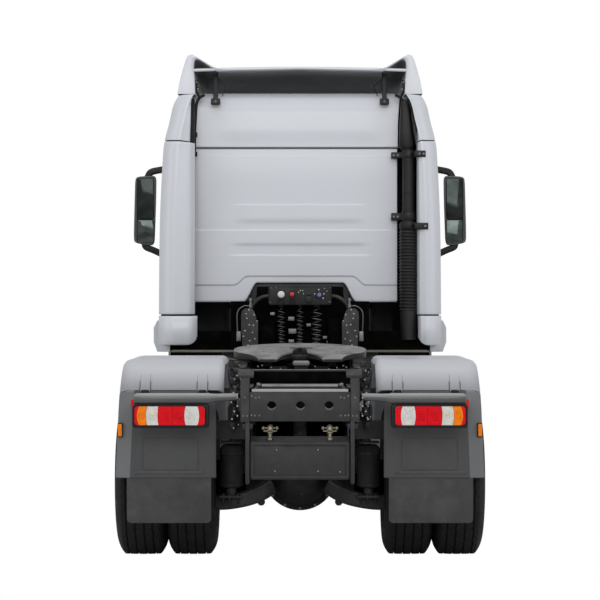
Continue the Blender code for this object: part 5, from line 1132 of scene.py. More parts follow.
def make_spoiler():
    """Roof spoiler: sections across at each place along it, outside and hollow, its lip and stays."""
    rows = smooth_path(SPOILER_STATIONS, 12)
    outer = np.array([[(x, row[0], z) for x, z in spoiler_line(row)] for row in rows])
    hollow = np.array([[(x, row[0], z) for x, z in spoiler_line(row, True)] for row in rows])
    rim = outer[0] + (hollow[0] - outer[0]) * np.array([0.0, 0.35, 0.7, 1.0])[:, None, None]
    rim[..., 1] += np.array([0.0, -0.006, -0.004, 0.006])[:, None]
    rim[..., 1] = np.maximum(rim[..., 1], 0.613)
    skin = np.concatenate([hollow[1:2], rim[::-1], outer[1:]])
    piece("roof_spoiler_skin", grid(skin), "body", "cab", ["roof_spoiler"], 42)
    # The liner's colour holds painted light below and painted shade under the spoiler's top
    inside = hollow[:-6].copy()
    inside[:, :, 2] -= 0.003
    piece("spoiler_liner", grid(inside), "liner", "cab", (), 60, 0.0, 0.002, (0, 1.5, 5))
    x = np.linspace(-0.87, 0.87, 60)
    crown = 0.016 * (1 - (x / 0.87) ** 2)
    section = np.array([
        (-0.01, -0.011), (0.004, -0.013), (0.012, -0.004), (0.012, 0.006), (0.0, 0.012), (-0.01, 0.01)
    ])
    lip = swept(np.stack([x, 0 * x + 0.632, 3.625 + crown], -1), section)
    piece("spoiler_lip", lip, "body", "cab")
    stays = []
    for side in (-1, 1):
        x = side * 0.69
        line = smooth_path([(x, 0.72, 3.615), (x, 0.69, 3.5), (x, 0.672, 3.42), (x, 0.668, 3.38)], 6)
        stays.append(swept(line, rounded(-0.0195, 0.0195, -0.012, 0.012, 0.006, 3), up=(0, -1, 0)))
        stays.append(slab(rounded(x - 0.038, x + 0.038, 3.345, 3.398, 0.011), "Y", 0.655, 0.7, 0.005))
        stays.append(turned([(0, 0.66), (0.016, 0.66), (0.018, 0.672), (0.0, 0.674)], "Y", (x, 0, 3.613), 14))
        inner = x - side * 0.055
        stays.append(tube([(inner, 0.7, 3.42), (inner - side * 0.03, 0.73, 3.5), (x, 0.71, 3.585)], 0.004, 8))
        for dx, dz in ((0.14, 0.03), (0.155, 0.075), (0.19, -0.01), (0.2, 0.05), (0.17, 0.12)):
            a, b = x + side * dx, 3.44 + dz
            stays.append(block(
                min(a, a + side * 0.03), max(a, a + side * 0.03), 0.67, 0.71, b, b + 0.026, 0.004
            ))
        hinge = [(x + side * 0.13, 0.69, 3.4), (x + side * 0.16, 0.67, 3.47), (x + side * 0.15, 0.68, 3.55)]
        stays.append(tube(smooth_path(hinge, 6), 0.01, 8))
    piece("spoiler_stays", merged(*stays), "black", "cab")
    heads = [(side * 0.69, 0.655, 3.372) for side in (-1, 1)]
    heads += [
        (side * (0.69 + dx), 0.668, z)
        for side in (-1, 1)
        for dx, z in ((0.155, 3.53), (0.17, 3.5), (0.145, 3.475))
    ]
    piece("spoiler_bolts", bolts(heads, size=0.0075), "grey_steel", "cab")


def make_intake():
    """Air intake: tapered duct, pipe with clamps, collar, ribbed bellows and a smooth elbow."""
    y = 0.575
    rows = []
    for z, low, high, depth in (
        (3.385, 0.835, 0.88, 0.03), (3.372, 0.823, 0.893, 0.046), (3.3, 0.817, 0.905, 0.054),
        (3.15, 0.81, 0.92, 0.058), (3.01, 0.806, 0.933, 0.06), (2.985, 0.812, 0.93, 0.056),
        (2.965, 0.83, 0.933, 0.05), (2.93, 0.833, 0.933, 0.05),
    ):
        turn = full_turn(32)
        power = 0.55 if z > 2.99 else 1.0
        a = np.sign(np.cos(turn)) * np.abs(np.cos(turn)) ** power
        b = np.sign(np.sin(turn)) * np.abs(np.sin(turn)) ** power
        rows.append(np.stack([
            (low + high) / 2 + a * (high - low) / 2, y + 0.03 + b * depth, np.full(32, z)
        ], -1))
    duct = grid(np.array(rows)[::-1], close_v=True, caps=True)
    pipe = drum(0.05, 2.97, 2.36, "Z", (0.883, y, 0), 32)
    bands = [turned([(0.05, z - 0.006), (0.0535, z - 0.005), (0.0535, z + 0.005), (0.05, z + 0.006)], "Z",
                    (0.883, y, 0), 32) for z in (2.88, 2.62, 2.5, 2.475)]
    z = np.linspace(1.665, 2.32, 25 * 8 + 1)
    wave = np.sin((z - z[0]) / (z[-1] - z[0]) * 25 * 2 * math.pi)
    radius = 0.0735 + 0.0055 * np.sign(wave) * np.abs(wave) ** 0.6
    bellows = turned(np.stack([radius, z], -1), "Z", (0.884, y, 0), 40)
    elbow = turned([
        (0, 1.428), (0.062, 1.428), (0.066, 1.5), (0.07, 1.6), (0.072, 1.668), (0.0, 1.67)
    ], "Z", (0.884, y, 0), 32)
    collar = turned([
        (0.05, 2.386), (0.07, 2.384), (0.076, 2.37), (0.076, 2.332), (0.068, 2.318), (0, 2.318)
    ], "Z", (0.884, y, 0), 40)
    lug = block(0.925, 1.036, 0.448, 0.5, 2.32, 2.374, 0.006)
    piece("intake_duct", merged(duct, pipe, *bands), "black", "cab", ["air_intake"], 40)
    piece("intake_bellows", merged(bellows, elbow), "rubber", "cab", crease=60)
    straps = [collar, lug]
    straps.append(block(0.925, 1.015, 0.448, 0.5, 2.905, 2.957, 0.006))
    for z0, z1 in ((2.905, 2.957), (2.4, 2.461)):
        straps.append(block(0.745, 0.945, 0.64, 0.7, z0, z1, 0.006))
        arch = np.linspace(-0.3, math.pi + 0.3, 20)
        loop = np.stack([
            0.883 + 0.056 * np.cos(arch), y - 0.056 * np.sin(arch), np.full(20, (z0 + z1) / 2)
        ], -1)
        straps.append(swept(loop, rounded(-0.004, 0.004, (z0 - z1) / 2, (z1 - z0) / 2, 0.003, 2)))
    piece("intake_straps", merged(*straps), "black", "cab", crease=40)
    heads = [(x, 0.64, z) for x in (0.765, 0.798) for z in (2.931, 2.43)]
    heads += [(x, 0.448, z) for x, z in ((0.965, 2.931), (0.998, 2.931), (1.012, 2.347))]
    piece("intake_bolts", bolts(heads, size=0.009), "grey_steel", "cab")


# Wheels: tyres with their tread, rims with hand holes, nuts and hubs

TYRE_R = 0.525
RIM_R = 0.286
RIM_HALF = 0.112
BARREL_R = 0.262
TREAD_SHARES = (-0.088, -0.03, 0.03, 0.088)
TREAD_HALF = 0.116
FRONT_WHEEL_X = 1.03
OUTER_WHEEL_X = 1.0755
INNER_WHEEL_X = 0.7325
NUT_CIRCLE = 0.1675
HAND_HOLE_CIRCLE = 0.222


def tyre(centre, side, axle_y):
    """Tyre as a grid of turn and section: the section's radius falls into grooves and fine cross cuts.

    Grooves run round at four places and wander by a triangle wave of the turn. Between them the tread
    is cut across by shallow sipes, and the shoulder carries short notches.
    """
    half = np.array([
        (RIM_R + 0.0005, 0.098), (0.296, 0.115), (0.31, 0.128), (0.335, 0.147), (0.37, 0.162),
        (0.405, 0.1665), (0.43, 0.166), (0.452, 0.161), (0.474, 0.153), (0.497, 0.14), (0.515, 0.127),
        (0.522, 0.118),
    ])
    wall = smooth_path(half, 2)
    beside = np.linspace(-0.008, 0.008, 9)[None] + np.array(TREAD_SHARES)[:, None]
    across = np.unique(np.round(np.append(beside, np.linspace(-TREAD_HALF, TREAD_HALF, 17)), 4))[::-1]
    crown = TYRE_R - 0.0025 * (across / TREAD_HALF) ** 2
    radius = np.hstack([wall[:, 0], crown, wall[::-1, 0]])
    place = np.hstack([wall[:, 1], across, -wall[::-1, 1]])
    steps = 240
    turn = full_turn(steps)[:, None]
    zigzag = np.abs((turn * 30 / math.pi) % 2 - 1) * 2 - 1
    on_tread = (np.abs(place) < 0.117)[None]
    depth = np.zeros((steps, len(place)))
    for index, middle in enumerate(TREAD_SHARES):
        near = np.abs(place[None] - middle - 0.0022 * zigzag * (-1) ** index)
        depth = np.maximum(depth, 0.013 * (1 - step(0.0032, 0.0058, near)))
    sipe = np.abs((turn * 30 / math.pi + place[None] * 14) % 1 - 0.5)
    depth = np.maximum(depth, 0.0035 * step(0.3, 0.46, sipe) * on_tread)
    notch = np.abs((turn * 30 / math.pi) % 1 - 0.5)
    shoulder = step(0.112, 0.118, np.abs(place)) * (1 - step(0.135, 0.142, np.abs(place)))
    depth = np.maximum(depth, 0.004 * step(0.36, 0.44, notch) * shoulder * (radius[None] > 0.48))
    ribs = 0.0012 * np.sin(radius * 420.0) * ((radius > 0.33) & (radius < 0.45))
    r = radius[None] - depth + ribs[None]
    x = side * (centre + place)[None] + 0 * r
    points = np.dstack([x, axle_y + r * np.cos(turn), AXLE_Z + r * np.sin(turn)])
    return grid(points, close_u=True, close_v=True)


def rim_disc(centre, dish, side, axle_y, holes=10):
    """Outside of a wheel: hub, disc with pressed-in hand holes, and the barrel's bright lip.

    The disc's place along the axle drops by 34 mm inside each of the oval holes, with a smooth edge.
    """
    face = centre + dish
    profile = smooth_path([
        (0.12, face + 0.012), (0.16, face + 0.014), (0.185, face + 0.012), (0.205, face - 0.004),
        (0.225, face - 0.016), (0.243, face - 0.02),
        (0.252, face - 0.012 if dish < 0 else centre + RIM_HALF - 0.07),
        (BARREL_R - 0.002, centre + RIM_HALF - 0.03), (BARREL_R, centre + RIM_HALF - 0.006),
        (BARREL_R + 0.012, centre + RIM_HALF + 0.001), (RIM_R + 0.01, centre + RIM_HALF - 0.001),
        (RIM_R + 0.0115, centre + RIM_HALF - 0.01),
    ], 8)
    steps = 160
    turn = full_turn(steps)[:, None]
    pitch = 2 * math.pi / holes
    local = (turn % pitch - pitch / 2) * HAND_HOLE_CIRCLE
    oval = np.hypot(local / 0.031, (profile[None, :, 0] - HAND_HOLE_CIRCLE) / 0.0185)
    sink = 0.034 * (1 - step(0.8, 1.05, oval))
    x = side * (profile[None, :, 1] - sink)
    r = profile[None, :, 0] + 0 * turn
    return grid(np.dstack([x, axle_y + r * np.cos(turn), AXLE_Z + r * np.sin(turn)]), close_u=True)


def wheel_fittings(face, side, axle_y, reach, hub_r):
    """Ten nuts on studs round the hub, and the hub's stepped cap, all along the axle."""
    out = side * face
    nuts = []
    for turn in 2 * math.pi * (np.arange(10) + 0.5) / 10:
        spot = (0, axle_y + NUT_CIRCLE * math.cos(turn), AXLE_Z + NUT_CIRCLE * math.sin(turn))
        nut = [(0, 0), (0.02, 0), (0.02, 0.006), (0.0165, 0.007), (0.0165, 0.028), (0.013, 0.032), (0, 0.032)]
        stud = [(0, 0.03), (0.009, 0.03), (0.009, 0.042), (0, 0.043)]
        nuts += [
            turned([(r, out + side * p) for r, p in line], "X", spot, n)
            for line, n in ((nut, 6), (stud, 10))
        ]
    line = [
        (0, reach), (hub_r * 0.5, reach), (hub_r * 0.62, reach - 0.006), (hub_r * 0.66, reach - 0.02),
        (hub_r * 0.86, reach - 0.028), (hub_r * 0.92, reach - 0.06), (hub_r, reach - 0.066),
        (hub_r, face - 0.01),
    ]
    hub = turned([(r, side * p) for r, p in line], "X", (0, axle_y, AXLE_Z), 48)
    turn = 2 * math.pi * np.arange(10) / 10
    ring = on_axis(
        "X", axle_y + hub_r * 0.76 * np.cos(turn), AXLE_Z + hub_r * 0.76 * np.sin(turn),
        side * (reach - 0.024),
    )
    return merged(*nuts), hub, bolts(ring, "X", side, 0.009)


def make_wheels():
    """Tyres, the rims' discs, nuts, hubs and valves, each on its wheel's own body."""
    for side, word in SIDES:
        for name, centre, axle_y, body in (
            ("front_tyre_" + word, FRONT_WHEEL_X, FRONT_AXLE_Y, "front_wheel_" + word),
            ("rear_tyre_outer_" + word, OUTER_WHEEL_X, REAR_AXLE_Y, "rear_wheels_" + word),
            ("rear_tyre_inner_" + word, INNER_WHEEL_X, REAR_AXLE_Y, "rear_wheels_" + word),
        ):
            piece(name + "_tread", tyre(centre, side, axle_y), "tyre", body, [name], 28)
        for name, centre, dish, axle_y, body, hub_r, hub_reach in (
            ("front_rim_" + word, FRONT_WHEEL_X, 0.04, FRONT_AXLE_Y, "front_wheel_" + word, 0.11, 1.165),
            ("rear_rims_" + word, OUTER_WHEEL_X, -0.1, REAR_AXLE_Y, "rear_wheels_" + word, 0.122, 1.07),
        ):
            face = centre + dish + 0.0125
            piece(name + "_disc", rim_disc(centre, dish, side, axle_y), "rim", body, crease=40)
            nuts, hub, cap_bolts = wheel_fittings(face, side, axle_y, hub_reach, hub_r)
            piece(name + "_nuts", nuts, "steel", body, crease=30)
            piece(name + "_hub", hub, "grey_steel", body, crease=30)
            piece(name + "_hub_bolts", cap_bolts, "steel", body, crease=30)
            valve = turned([(0, 0), (0.0045, 0), (0.0045, 0.05), (0.003, 0.055), (0, 0.056)], "X", steps=10)
            points = valve[0] * np.array([side, 1, 1]) + np.array([side * face, axle_y + 0.235, AXLE_Z])
            piece(name + "_valve", (points, valve[1]), "black", body)


# Chassis end: beam, plate box, springs, axle, lines and valves along the rails

BEAM_Y = -2.985
BEAM_HOLES = (-0.182, 0.003, 0.187)
BEAM_HOLE_Z = 1.069
HOUSING_Z = 0.558
COVER_BOLT_CIRCLE = 0.238


def make_beam():
    """End beam with three holes, its posts on the rail ends, stays, plate box and the tube above."""
    rear = BEAM_Y
    face = slab(rounded(-0.328, 0.328, 0.968, 1.156, 0.008), "Y", rear, rear + 0.05, 0.004)
    piece("end_beam", face, "beam", "chassis", ["rear_beam"])
    edges = [
        turned([
            (0.0295, rear - 0.0012), (0.0325, rear - 0.0012), (0.0325, rear + 0.001), (0.0295, rear + 0.001)
        ], "Y", (x, 0, BEAM_HOLE_Z), 36, ring=True)
        for x in BEAM_HOLES
    ]
    piece("end_beam_hole_rims", merged(*edges), "beam")
    # Painted shade: a black disc across each hole
    hole_shade_discs = [
        turned([(0, rear - 0.001), (0.0295, rear - 0.001)], "Y", (x, 0, BEAM_HOLE_Z), 36)
        for x in BEAM_HOLES
    ]
    piece("end_beam_hole_shade", merged(*hole_shade_discs), "shadow")
    # Painted highlight: the flange takes the hood's light top, a bright line along the beam's top
    lit_flange = block(-0.312, 0.312, rear - 0.004, rear + 0.05, 1.157, 1.176, 0.006)
    piece("end_beam_flange_painted_highlight", lit_flange, "hood")
    # Painted highlight: a flat lighter crescent low in each hole stands in for its lit lower wall
    turn = np.linspace(math.pi * 1.12, math.pi * 1.88, 16)
    lit_crescents = []
    for x in BEAM_HOLES:
        outer = np.stack([x + 0.029 * np.cos(turn), BEAM_HOLE_Z + 0.029 * np.sin(turn)], -1)
        inner = np.stack([x + 0.0285 * np.cos(turn), 1.081 + 0.029 * np.sin(turn)], -1)[::-1]
        lit_crescents.append(slab(np.vstack([outer, inner]), "Y", rear - 0.0018, rear - 0.0005))
    piece("end_beam_hole_lit_crescents", merged(*lit_crescents), "hood")
    parts, heads, stays = [], [], []
    for side in (-1, 1):
        low, high = span(side, 0.326, 0.384)
        outline = [
            (rear - 0.006, 0.966), (rear - 0.006, 1.155), (rear + 0.05, 1.245), (rear + 0.13, 1.25),
            (rear + 0.13, 0.966),
        ]
        parts.append(slab(outline, "X", low, high, 0.004))
        low, high = span(side, 0.3, 0.402)
        cap = [(rear + 0.075, 1.247), (rear + 0.075, 1.262), (rear + 0.2, 1.3), (rear + 0.2, 1.285)]
        parts.append(slab(cap, "X", low, high, 0.003))
        low, high = span(side, 0.325, 0.352)
        stay = [
            (low, 0.97), (low, 0.575), (low + 0.007, 0.563), (high - 0.007, 0.563), (high, 0.575),
            (high, 0.97),
        ]
        stays.append(slab(stay, "Y", rear - 0.002, rear + 0.03, 0.003))
        stays.append(block(
            side * 0.338 - 0.034, side * 0.338 + 0.034, rear + 0.012, rear + 0.05, 0.918, 0.955, 0.004
        ))
        heads += [(side * x, rear - 0.0065, z) for x, z in ((0.355, 1.122), (0.365, 1.004), (0.34, 1.004))]
        heads += [(side * x, rear, z) for x, z in (
            (0.31, 1.132), (0.312, 1.008), (0.262, 1.124), (0.262, 1.006), (0.285, 1.12), (0.29, 1.006))]
        stays.append(tube([
            (side * 0.3, rear + 0.05, 1.16), (side * 0.27, rear + 0.12, 1.19),
            (side * 0.24, rear + 0.13, 1.19),
        ], 0.014, 10))
    piece("beam_posts", merged(*parts), "beam")
    piece("beam_stays", merged(*stays), "beam")
    piece("beam_bolts", bolts(heads, size=0.0058), "grey_steel")
    outer = [(side * 0.404, rear + 0.03, z) for side in (-1, 1) for z in (1.119, 1.066, 1.003)]
    outer += [
        (side * x, rear + 0.06, z)
        for side in (-1, 1)
        for x, z in ((0.43, 1.15), (0.445, 1.09), (0.425, 1.03), (0.44, 0.98))
    ]
    piece("beam_outer_bolts", bolts(outer, size=0.006), "steel")
    tie = tube([(-0.262, rear + 0.13, 1.19), (0.262, rear + 0.13, 1.19)], 0.0155, 16, up=(0, 1, 0))
    ends = [drum(0.022, x, x + 0.02, "X", (0, rear + 0.13, 1.19), 20) for x in (-0.28, 0.26)]
    piece("end_tie_tube", merged(tie, *ends), "grey_steel")
    # plate box: round-cornered tray with a raised rim and a recessed blank panel
    tray = slab(rounded(-0.32, 0.32, 0.593, 0.836, 0.014), "Y", rear + 0.004, rear + 0.075, 0.004)
    lid = slab([
        (rear + 0.01, 0.838), (rear + 0.085, 0.868), (rear + 0.085, 0.862), (rear + 0.01, 0.83)
    ], "X", -0.318, 0.318, 0.002)
    rim_line = rounded(-0.306, 0.306, 0.608, 0.822, 0.012)
    rim = bead(rim_line, "Y", rear + 0.003, rounded(-0.0095, 0.0095, -0.008, 0.008, 0.004, 3))
    piece("plate_box", merged(tray, lid, rim), "beam")
    spots = [
        (x, rear + 0.004, z)
        for x, z in ((-0.15, 0.785), (0.116, 0.785), (-0.162, 0.647), (0.116, 0.647), (0.258, 0.643))
    ]
    piece("plate_box_screws", rivets(spots, size=0.004), "steel")
    for side, word in SIDES:
        x = side * 0.193
        head = [
            solid([
                (0.021, 0.842), (0.021, 0.862), (0.013, 0.866), (0.013, 0.885), (0.022, 0.89), (0.022, 0.897),
                (0.012, 0.9),
            ], "Z", (x, rear + 0.05, 0), 6),
            turned([
                (0, 0.9), (0.018, 0.902), (0.024, 0.915), (0.02, 0.935), (0.01, 0.946), (0, 0.948)
            ], "Z", (x, rear + 0.05, 0), 16),
            block(x - 0.045, x + 0.045, rear + 0.035, rear + 0.06, 0.9, 0.908, 0.003),
        ]
        for way in (-1, 1):
            head.append(turned([(0, 0.0), (0.009, 0.001), (0.013, 0.01), (0.009, 0.02), (0, 0.022)], "Z",
                               (x + way * 0.044, rear + 0.045, 0.912), 12))
            head.append(tube([
                (x, rear + 0.05, 0.925), (x + way * 0.044, rear + 0.045, 0.922)
            ], 0.005, 8, up=(0, 1, 0)))
        piece("coupling_valve_" + word, merged(*head), "brass")


def make_springs():
    """Air springs with a beaded top, the dampers over them, clamp plates, and the arms below."""
    for side, word in SIDES:
        x, y = side * 0.462, -2.4
        can = smooth_path([
            (0.02, 0.782), (0.05, 0.78), (0.066, 0.768), (0.078, 0.745), (0.079, 0.73), (0.0765, 0.722)
        ], 5)
        body = smooth_path([
            (0.0765, 0.718), (0.077, 0.62), (0.0765, 0.53), (0.074, 0.512), (0.066, 0.498)
        ], 5)
        profile = np.vstack([[(0, 0.782)], can, body, [(0.05, 0.49), (0, 0.488)]])
        piece(
            "air_spring_can_" + word, turned(profile[::-1], "Z", (x, y, 0), 48), "tyre", "chassis",
            ["air_spring_" + word], 40,
        )
        rings = [
            turned([
                (0.076, z - 0.006), (0.081, z - 0.004), (0.081, z + 0.004), (0.076, z + 0.006)
            ], "Z", (x, y, 0), 48)
            for z in (0.724, 0.512)
        ]
        top = slab(rounded(x - 0.07, x + 0.07, y - 0.06, y + 0.07, 0.02), "Z", 0.79, 0.802, 0.003)
        foot = slab(rounded(x - 0.085, x + 0.075, y - 0.05, y + 0.09, 0.01), "Z", 0.424, 0.442, 0.003)
        post = solid([(0.038, 0.43), (0.034, 0.5)], "Z", (x, y, 0), 20)
        damper = solid([
            (0.024, 0.8), (0.025, 0.87), (0.036, 0.88), (0.036, 1.03), (0.03, 1.045)
        ], "Z", (x - side * 0.012, y - 0.02, 0), 24)
        piece("air_spring_metal_" + word, merged(top, foot, post, damper, *rings), "frame", crease=40)
        studs = []
        for dx, dy in ((-0.05, -0.03), (0.045, -0.03), (-0.01, -0.04), (0.06, 0.05)):
            studs.append(drum(0.006, 0.38, 0.455, "Z", (x + dx, y + dy, 0), 10))
            studs.append(drum(0.012, 0.442, 0.454, "Z", (x + dx, y + dy, 0), 6))
            studs.append(drum(0.012, 0.408, 0.423, "Z", (x + dx, y + dy, 0), 6))
        piece("air_spring_studs_" + word, merged(*studs), "cast")
        bent = smooth_path([
            (side * 0.6, -2.32, 0.378), (side * 0.5, -2.34, 0.38), (side * 0.42, -2.36, 0.392),
            (side * 0.34, -2.36, 0.412), (side * 0.27, -2.33, 0.44), (side * 0.2, -2.28, 0.48),
        ], 8)
        piece(
            "spring_arm_" + word, swept(bent, rounded(-0.05, 0.05, -0.042, 0.06, 0.02, 4)), "frame", crease=40
        )
        knob = turned([
            (0, -0.03), (0.02, -0.028), (0.026, 0.0), (0.02, 0.028), (0, 0.03)
        ], "Y", (side * 0.262, -2.3, 0.385), 20)
        piece("arm_bush_" + word, knob, "rubber")
        hose = smooth_path([
            (side * 0.45, -2.42, 0.8), (side * 0.43, -2.46, 0.9), (side * 0.4, -2.5, 1.0),
            (side * 0.33, -2.52, 1.08), (side * 0.24, -2.5, 1.1),
        ], 8)
        piece("spring_air_line_" + word, tube(hose, 0.006, 8, up=(0, 1, 0)), "seal")


def make_axle():
    """Round axle housing with its cover's bolts, the arms that thin outwards and the brake chambers."""
    profile = smooth_path([(0.0, -0.245), (0.09, -0.24), (0.165, -0.2), (0.205, -0.135), (0.222, -0.09)], 6)
    rim = [(0.23, -0.086), (0.25, -0.08), (0.254, -0.06), (0.254, 0.06), (0.22, 0.1), (0.0, 0.12)]
    housing = turned(np.vstack([profile, rim]), "Y", (0, REAR_AXLE_Y, HOUSING_Z), 72)
    piece("axle_housing", housing, "cast", "chassis", ["rear_axle"], 40)
    spots = []
    for index in range(14):
        turn = 2 * math.pi * (index + 0.5) / 14
        spots.append((
            COVER_BOLT_CIRCLE * math.cos(turn), REAR_AXLE_Y - 0.084,
            HOUSING_Z + COVER_BOLT_CIRCLE * math.sin(turn),
        ))
    piece("axle_cover_bolts", bolts(spots, size=0.009), "grey_steel")
    arms = []
    for side in (-1, 1):
        line = smooth_path([
            (side * 0.16, REAR_AXLE_Y, 0.56), (side * 0.26, REAR_AXLE_Y, 0.545),
            (side * 0.36, REAR_AXLE_Y, 0.53), (side * 0.56, REAR_AXLE_Y, 0.525),
            (side * 0.88, REAR_AXLE_Y, 0.525),
        ], 8)
        rows = len(line)
        thick = np.interp(np.abs(line[:, 0]), [0.16, 0.3, 0.5], [0.17, 0.115, 0.085])
        turn = full_turn(32)
        points = np.stack([
            np.repeat(line[:, :1], 32, 1), line[:, 1:2] + thick[:, None] * 0.8 * np.cos(turn),
            line[:, 2:] + thick[:, None] * np.sin(turn),
        ], -1).reshape(rows, 32, 3)
        arms.append(grid(points, close_v=True, caps=True))
        brake = solid([
            (0.055, side * 0.3), (0.062, side * 0.32), (0.062, side * 0.4), (0.03, side * 0.42)
        ], "X", (0, REAR_AXLE_Y - 0.2, 0.63), 32)
        arms.append(brake)
    piece("axle_arms", merged(*arms), "tyre", crease=40)


def make_clutter():
    """Brackets, lines, fittings and walkway slats around the rails, from the cab to the end beam, and black
    sheets of painted shade in the gaps.
    """
    rng = np.random.default_rng(7)
    dark, bright, lines = [], [], []
    for side in (-1, 1):
        for y, x, z, w, h in (
            (-2.62, 0.44, 1.12, 0.05, 0.07), (-2.5, 0.45, 1.21, 0.04, 0.05), (-2.3, 0.43, 1.27, 0.05, 0.04),
            (-2.72, 0.43, 1.02, 0.03, 0.05), (-2.1, 0.45, 1.22, 0.05, 0.05), (-1.9, 0.44, 1.3, 0.04, 0.05),
            (-2.55, 0.45, 0.92, 0.04, 0.04),
        ):
            dark.append(block(
                side * x - w / 2, side * x + w / 2, y - 0.03, y + 0.03, z - h / 2, z + h / 2, 0.004
            ))
        for _ in range(15):
            x = side * (0.4 + 0.075 * rng.random())
            bright.append((x, -2.78 + 0.5 * rng.random(), 0.9 + 0.4 * rng.random()))
        for index in range(5):
            start = np.array([side * (0.41 + 0.012 * index), -2.7 + 0.02 * index, 1.02 + 0.03 * index])
            bend = start + np.array([side * 0.02, 0.3, 0.06 + 0.02 * index])
            end = start + np.array([side * -0.01, 1.2, 0.12])
            lines.append(tube(
                smooth_path([start, bend, (start + end) / 2 + np.array([0, 0.2, 0.05]), end], 10), 0.0065, 8
            ))
        dark.append(block(side * 0.425 - 0.03, side * 0.425 + 0.03, -1.4, 0.6, 1.19, 1.26, 0.006))
        dark.append(block(*span(side, 0.39, 0.6), -0.3, -0.26, 1.0, 1.36, 0.006))
    for y, z in ((-2.3, 1.16), (-2.05, 1.2), (-1.95, 1.235)):
        lines.append(tube(
            smooth_path([
                (-0.37, y, z), (-0.1, y + 0.02, z - 0.012), (0.12, y - 0.01, z + 0.008), (0.37, y, z)
            ], 8),
            0.009, 8, up=(0, 1, 0),
        ))
    piece("rail_brackets", merged(*dark), "frame")
    piece("rail_lines", merged(*lines), "seal")
    piece("rail_fittings", bolts(bright, size=0.0052), "steel")
    # Painted shade: black sheets behind the stand, below the cab's back, behind the radiator, over the deck
    # lines and behind the air springs
    shade_sheets = [
        block(-0.56, 0.56, 0.5, 0.52, 1.2, 1.74, 0.006),
        block(-1.06, -0.42, 0.6, 0.63, 1.12, 1.5, 0.01),
        block(0.42, 1.06, 0.6, 0.63, 1.12, 1.5, 0.01),
    ]
    shade_sheets.append(block(-0.75, 0.75, 2.46, 2.5, 0.4, 1.15, 0.006))
    shade_sheets.append(block(-0.37, 0.37, -2.45, -2.43, 1.12, 1.272, 0.003))
    shade_sheets += [
        block(min(side * 0.37, side * 0.6), max(side * 0.37, side * 0.6), -2.2, -2.16, 0.37, 0.66, 0.006)
        for side in (-1, 1)
    ]
    piece("painted_shade_screens", merged(*shade_sheets), "shadow")
    slats = []
    for side in (-1, 1):
        for index in range(7):
            y = -0.45 + index * 0.055
            slats.append(block(
                side * 0.72 - 0.27, side * 0.72 + 0.27, y, y + 0.03, 1.35, 1.357 + 0.004 * (index % 2), 0.002
            ))
    piece("walkway_slats", merged(*slats), "walk")
    cross = [
        block(-0.37, 0.37, y, y + 0.05, z - 0.01, z + 0.01, 0.004)
        for y, z in ((-2.06, 1.262), (-0.75, 1.2))
    ]
    piece("deck_plates", merged(*cross), "plate")


# Coupling plate, the stand behind the cab with its box, and the coiled trailer lines

FIFTH_Y = -1.45
PIVOT_Z = 1.30
PLATE_TOP = 1.40
PLATE_TILT = math.radians(5)
BOX_Y = 0.27
COIL_Y = 0.322


def plate_half(side):
    """Half of the plate: a row across at each place along it, from the round front to the horn's tip.

    The outer edge is an ellipse ahead of the pivot and narrows to the horns behind it. The inner edge is
    the middle line ahead of the throat. The top falls along the ramps by a ninth of the way past -0.3.
    """
    front = 0.38 * np.cos(np.linspace(0.02, math.pi / 2, 26))
    rear = np.linspace(-0.004, -0.478, 60)
    along = np.hstack([front, rear])
    outer = 0.474 * np.sqrt(np.maximum(1 - (np.maximum(along, 0) / 0.382) ** 2, 0.0001))
    back = smooth_path([
        (0.0, 0.474), (-0.09, 0.472), (-0.17, 0.456), (-0.24, 0.418), (-0.3, 0.37), (-0.36, 0.325),
        (-0.43, 0.297), (-0.48, 0.288),
    ], 6)[::-1]
    outer = np.where(along < 0, np.interp(along, back[:, 0], back[:, 1]), outer)
    mouth = smooth_path([
        (-0.48, 0.162), (-0.42, 0.15), (-0.35, 0.128), (-0.28, 0.098), (-0.2, 0.062), (-0.12, 0.05),
        (-0.04, 0.048), (0.0, 0.046), (0.025, 0.034), (0.04, 0.0),
    ], 6)
    inner = np.where(along < 0.04, np.interp(along, mouth[:, 0], mouth[:, 1]), 0.0)
    chamfer = np.minimum(0.009, inner * 0.4)
    top = -0.11 * np.maximum(-0.3 - along, 0)
    low = np.maximum(-0.045, top - 0.075 - 0.12 * along)
    share = np.linspace(0, 1, 26)
    quarter = np.linspace(0, math.pi / 2, 6)
    round_edge = np.minimum(0.007, outer * 0.2)
    rows = []
    for v, xo, xi, c, zt, zl, r in zip(along, outer, inner, chamfer, top, low, round_edge):
        a = np.hstack([
            xi + c + share * (xo - r - xi - c), xo - r + r * np.sin(quarter[1:]), xo - 0.003, xi, xi
        ])
        b = np.hstack([zt + 0 * share, zt - r * (1 - np.cos(quarter[1:])), zl, zl, zt - c])
        rows.append(np.stack([a, FIFTH_Y + v + 0 * a, PLATE_TOP + b], -1))
    return mirrored(grid(np.array(rows), close_v=True, caps=True), side)


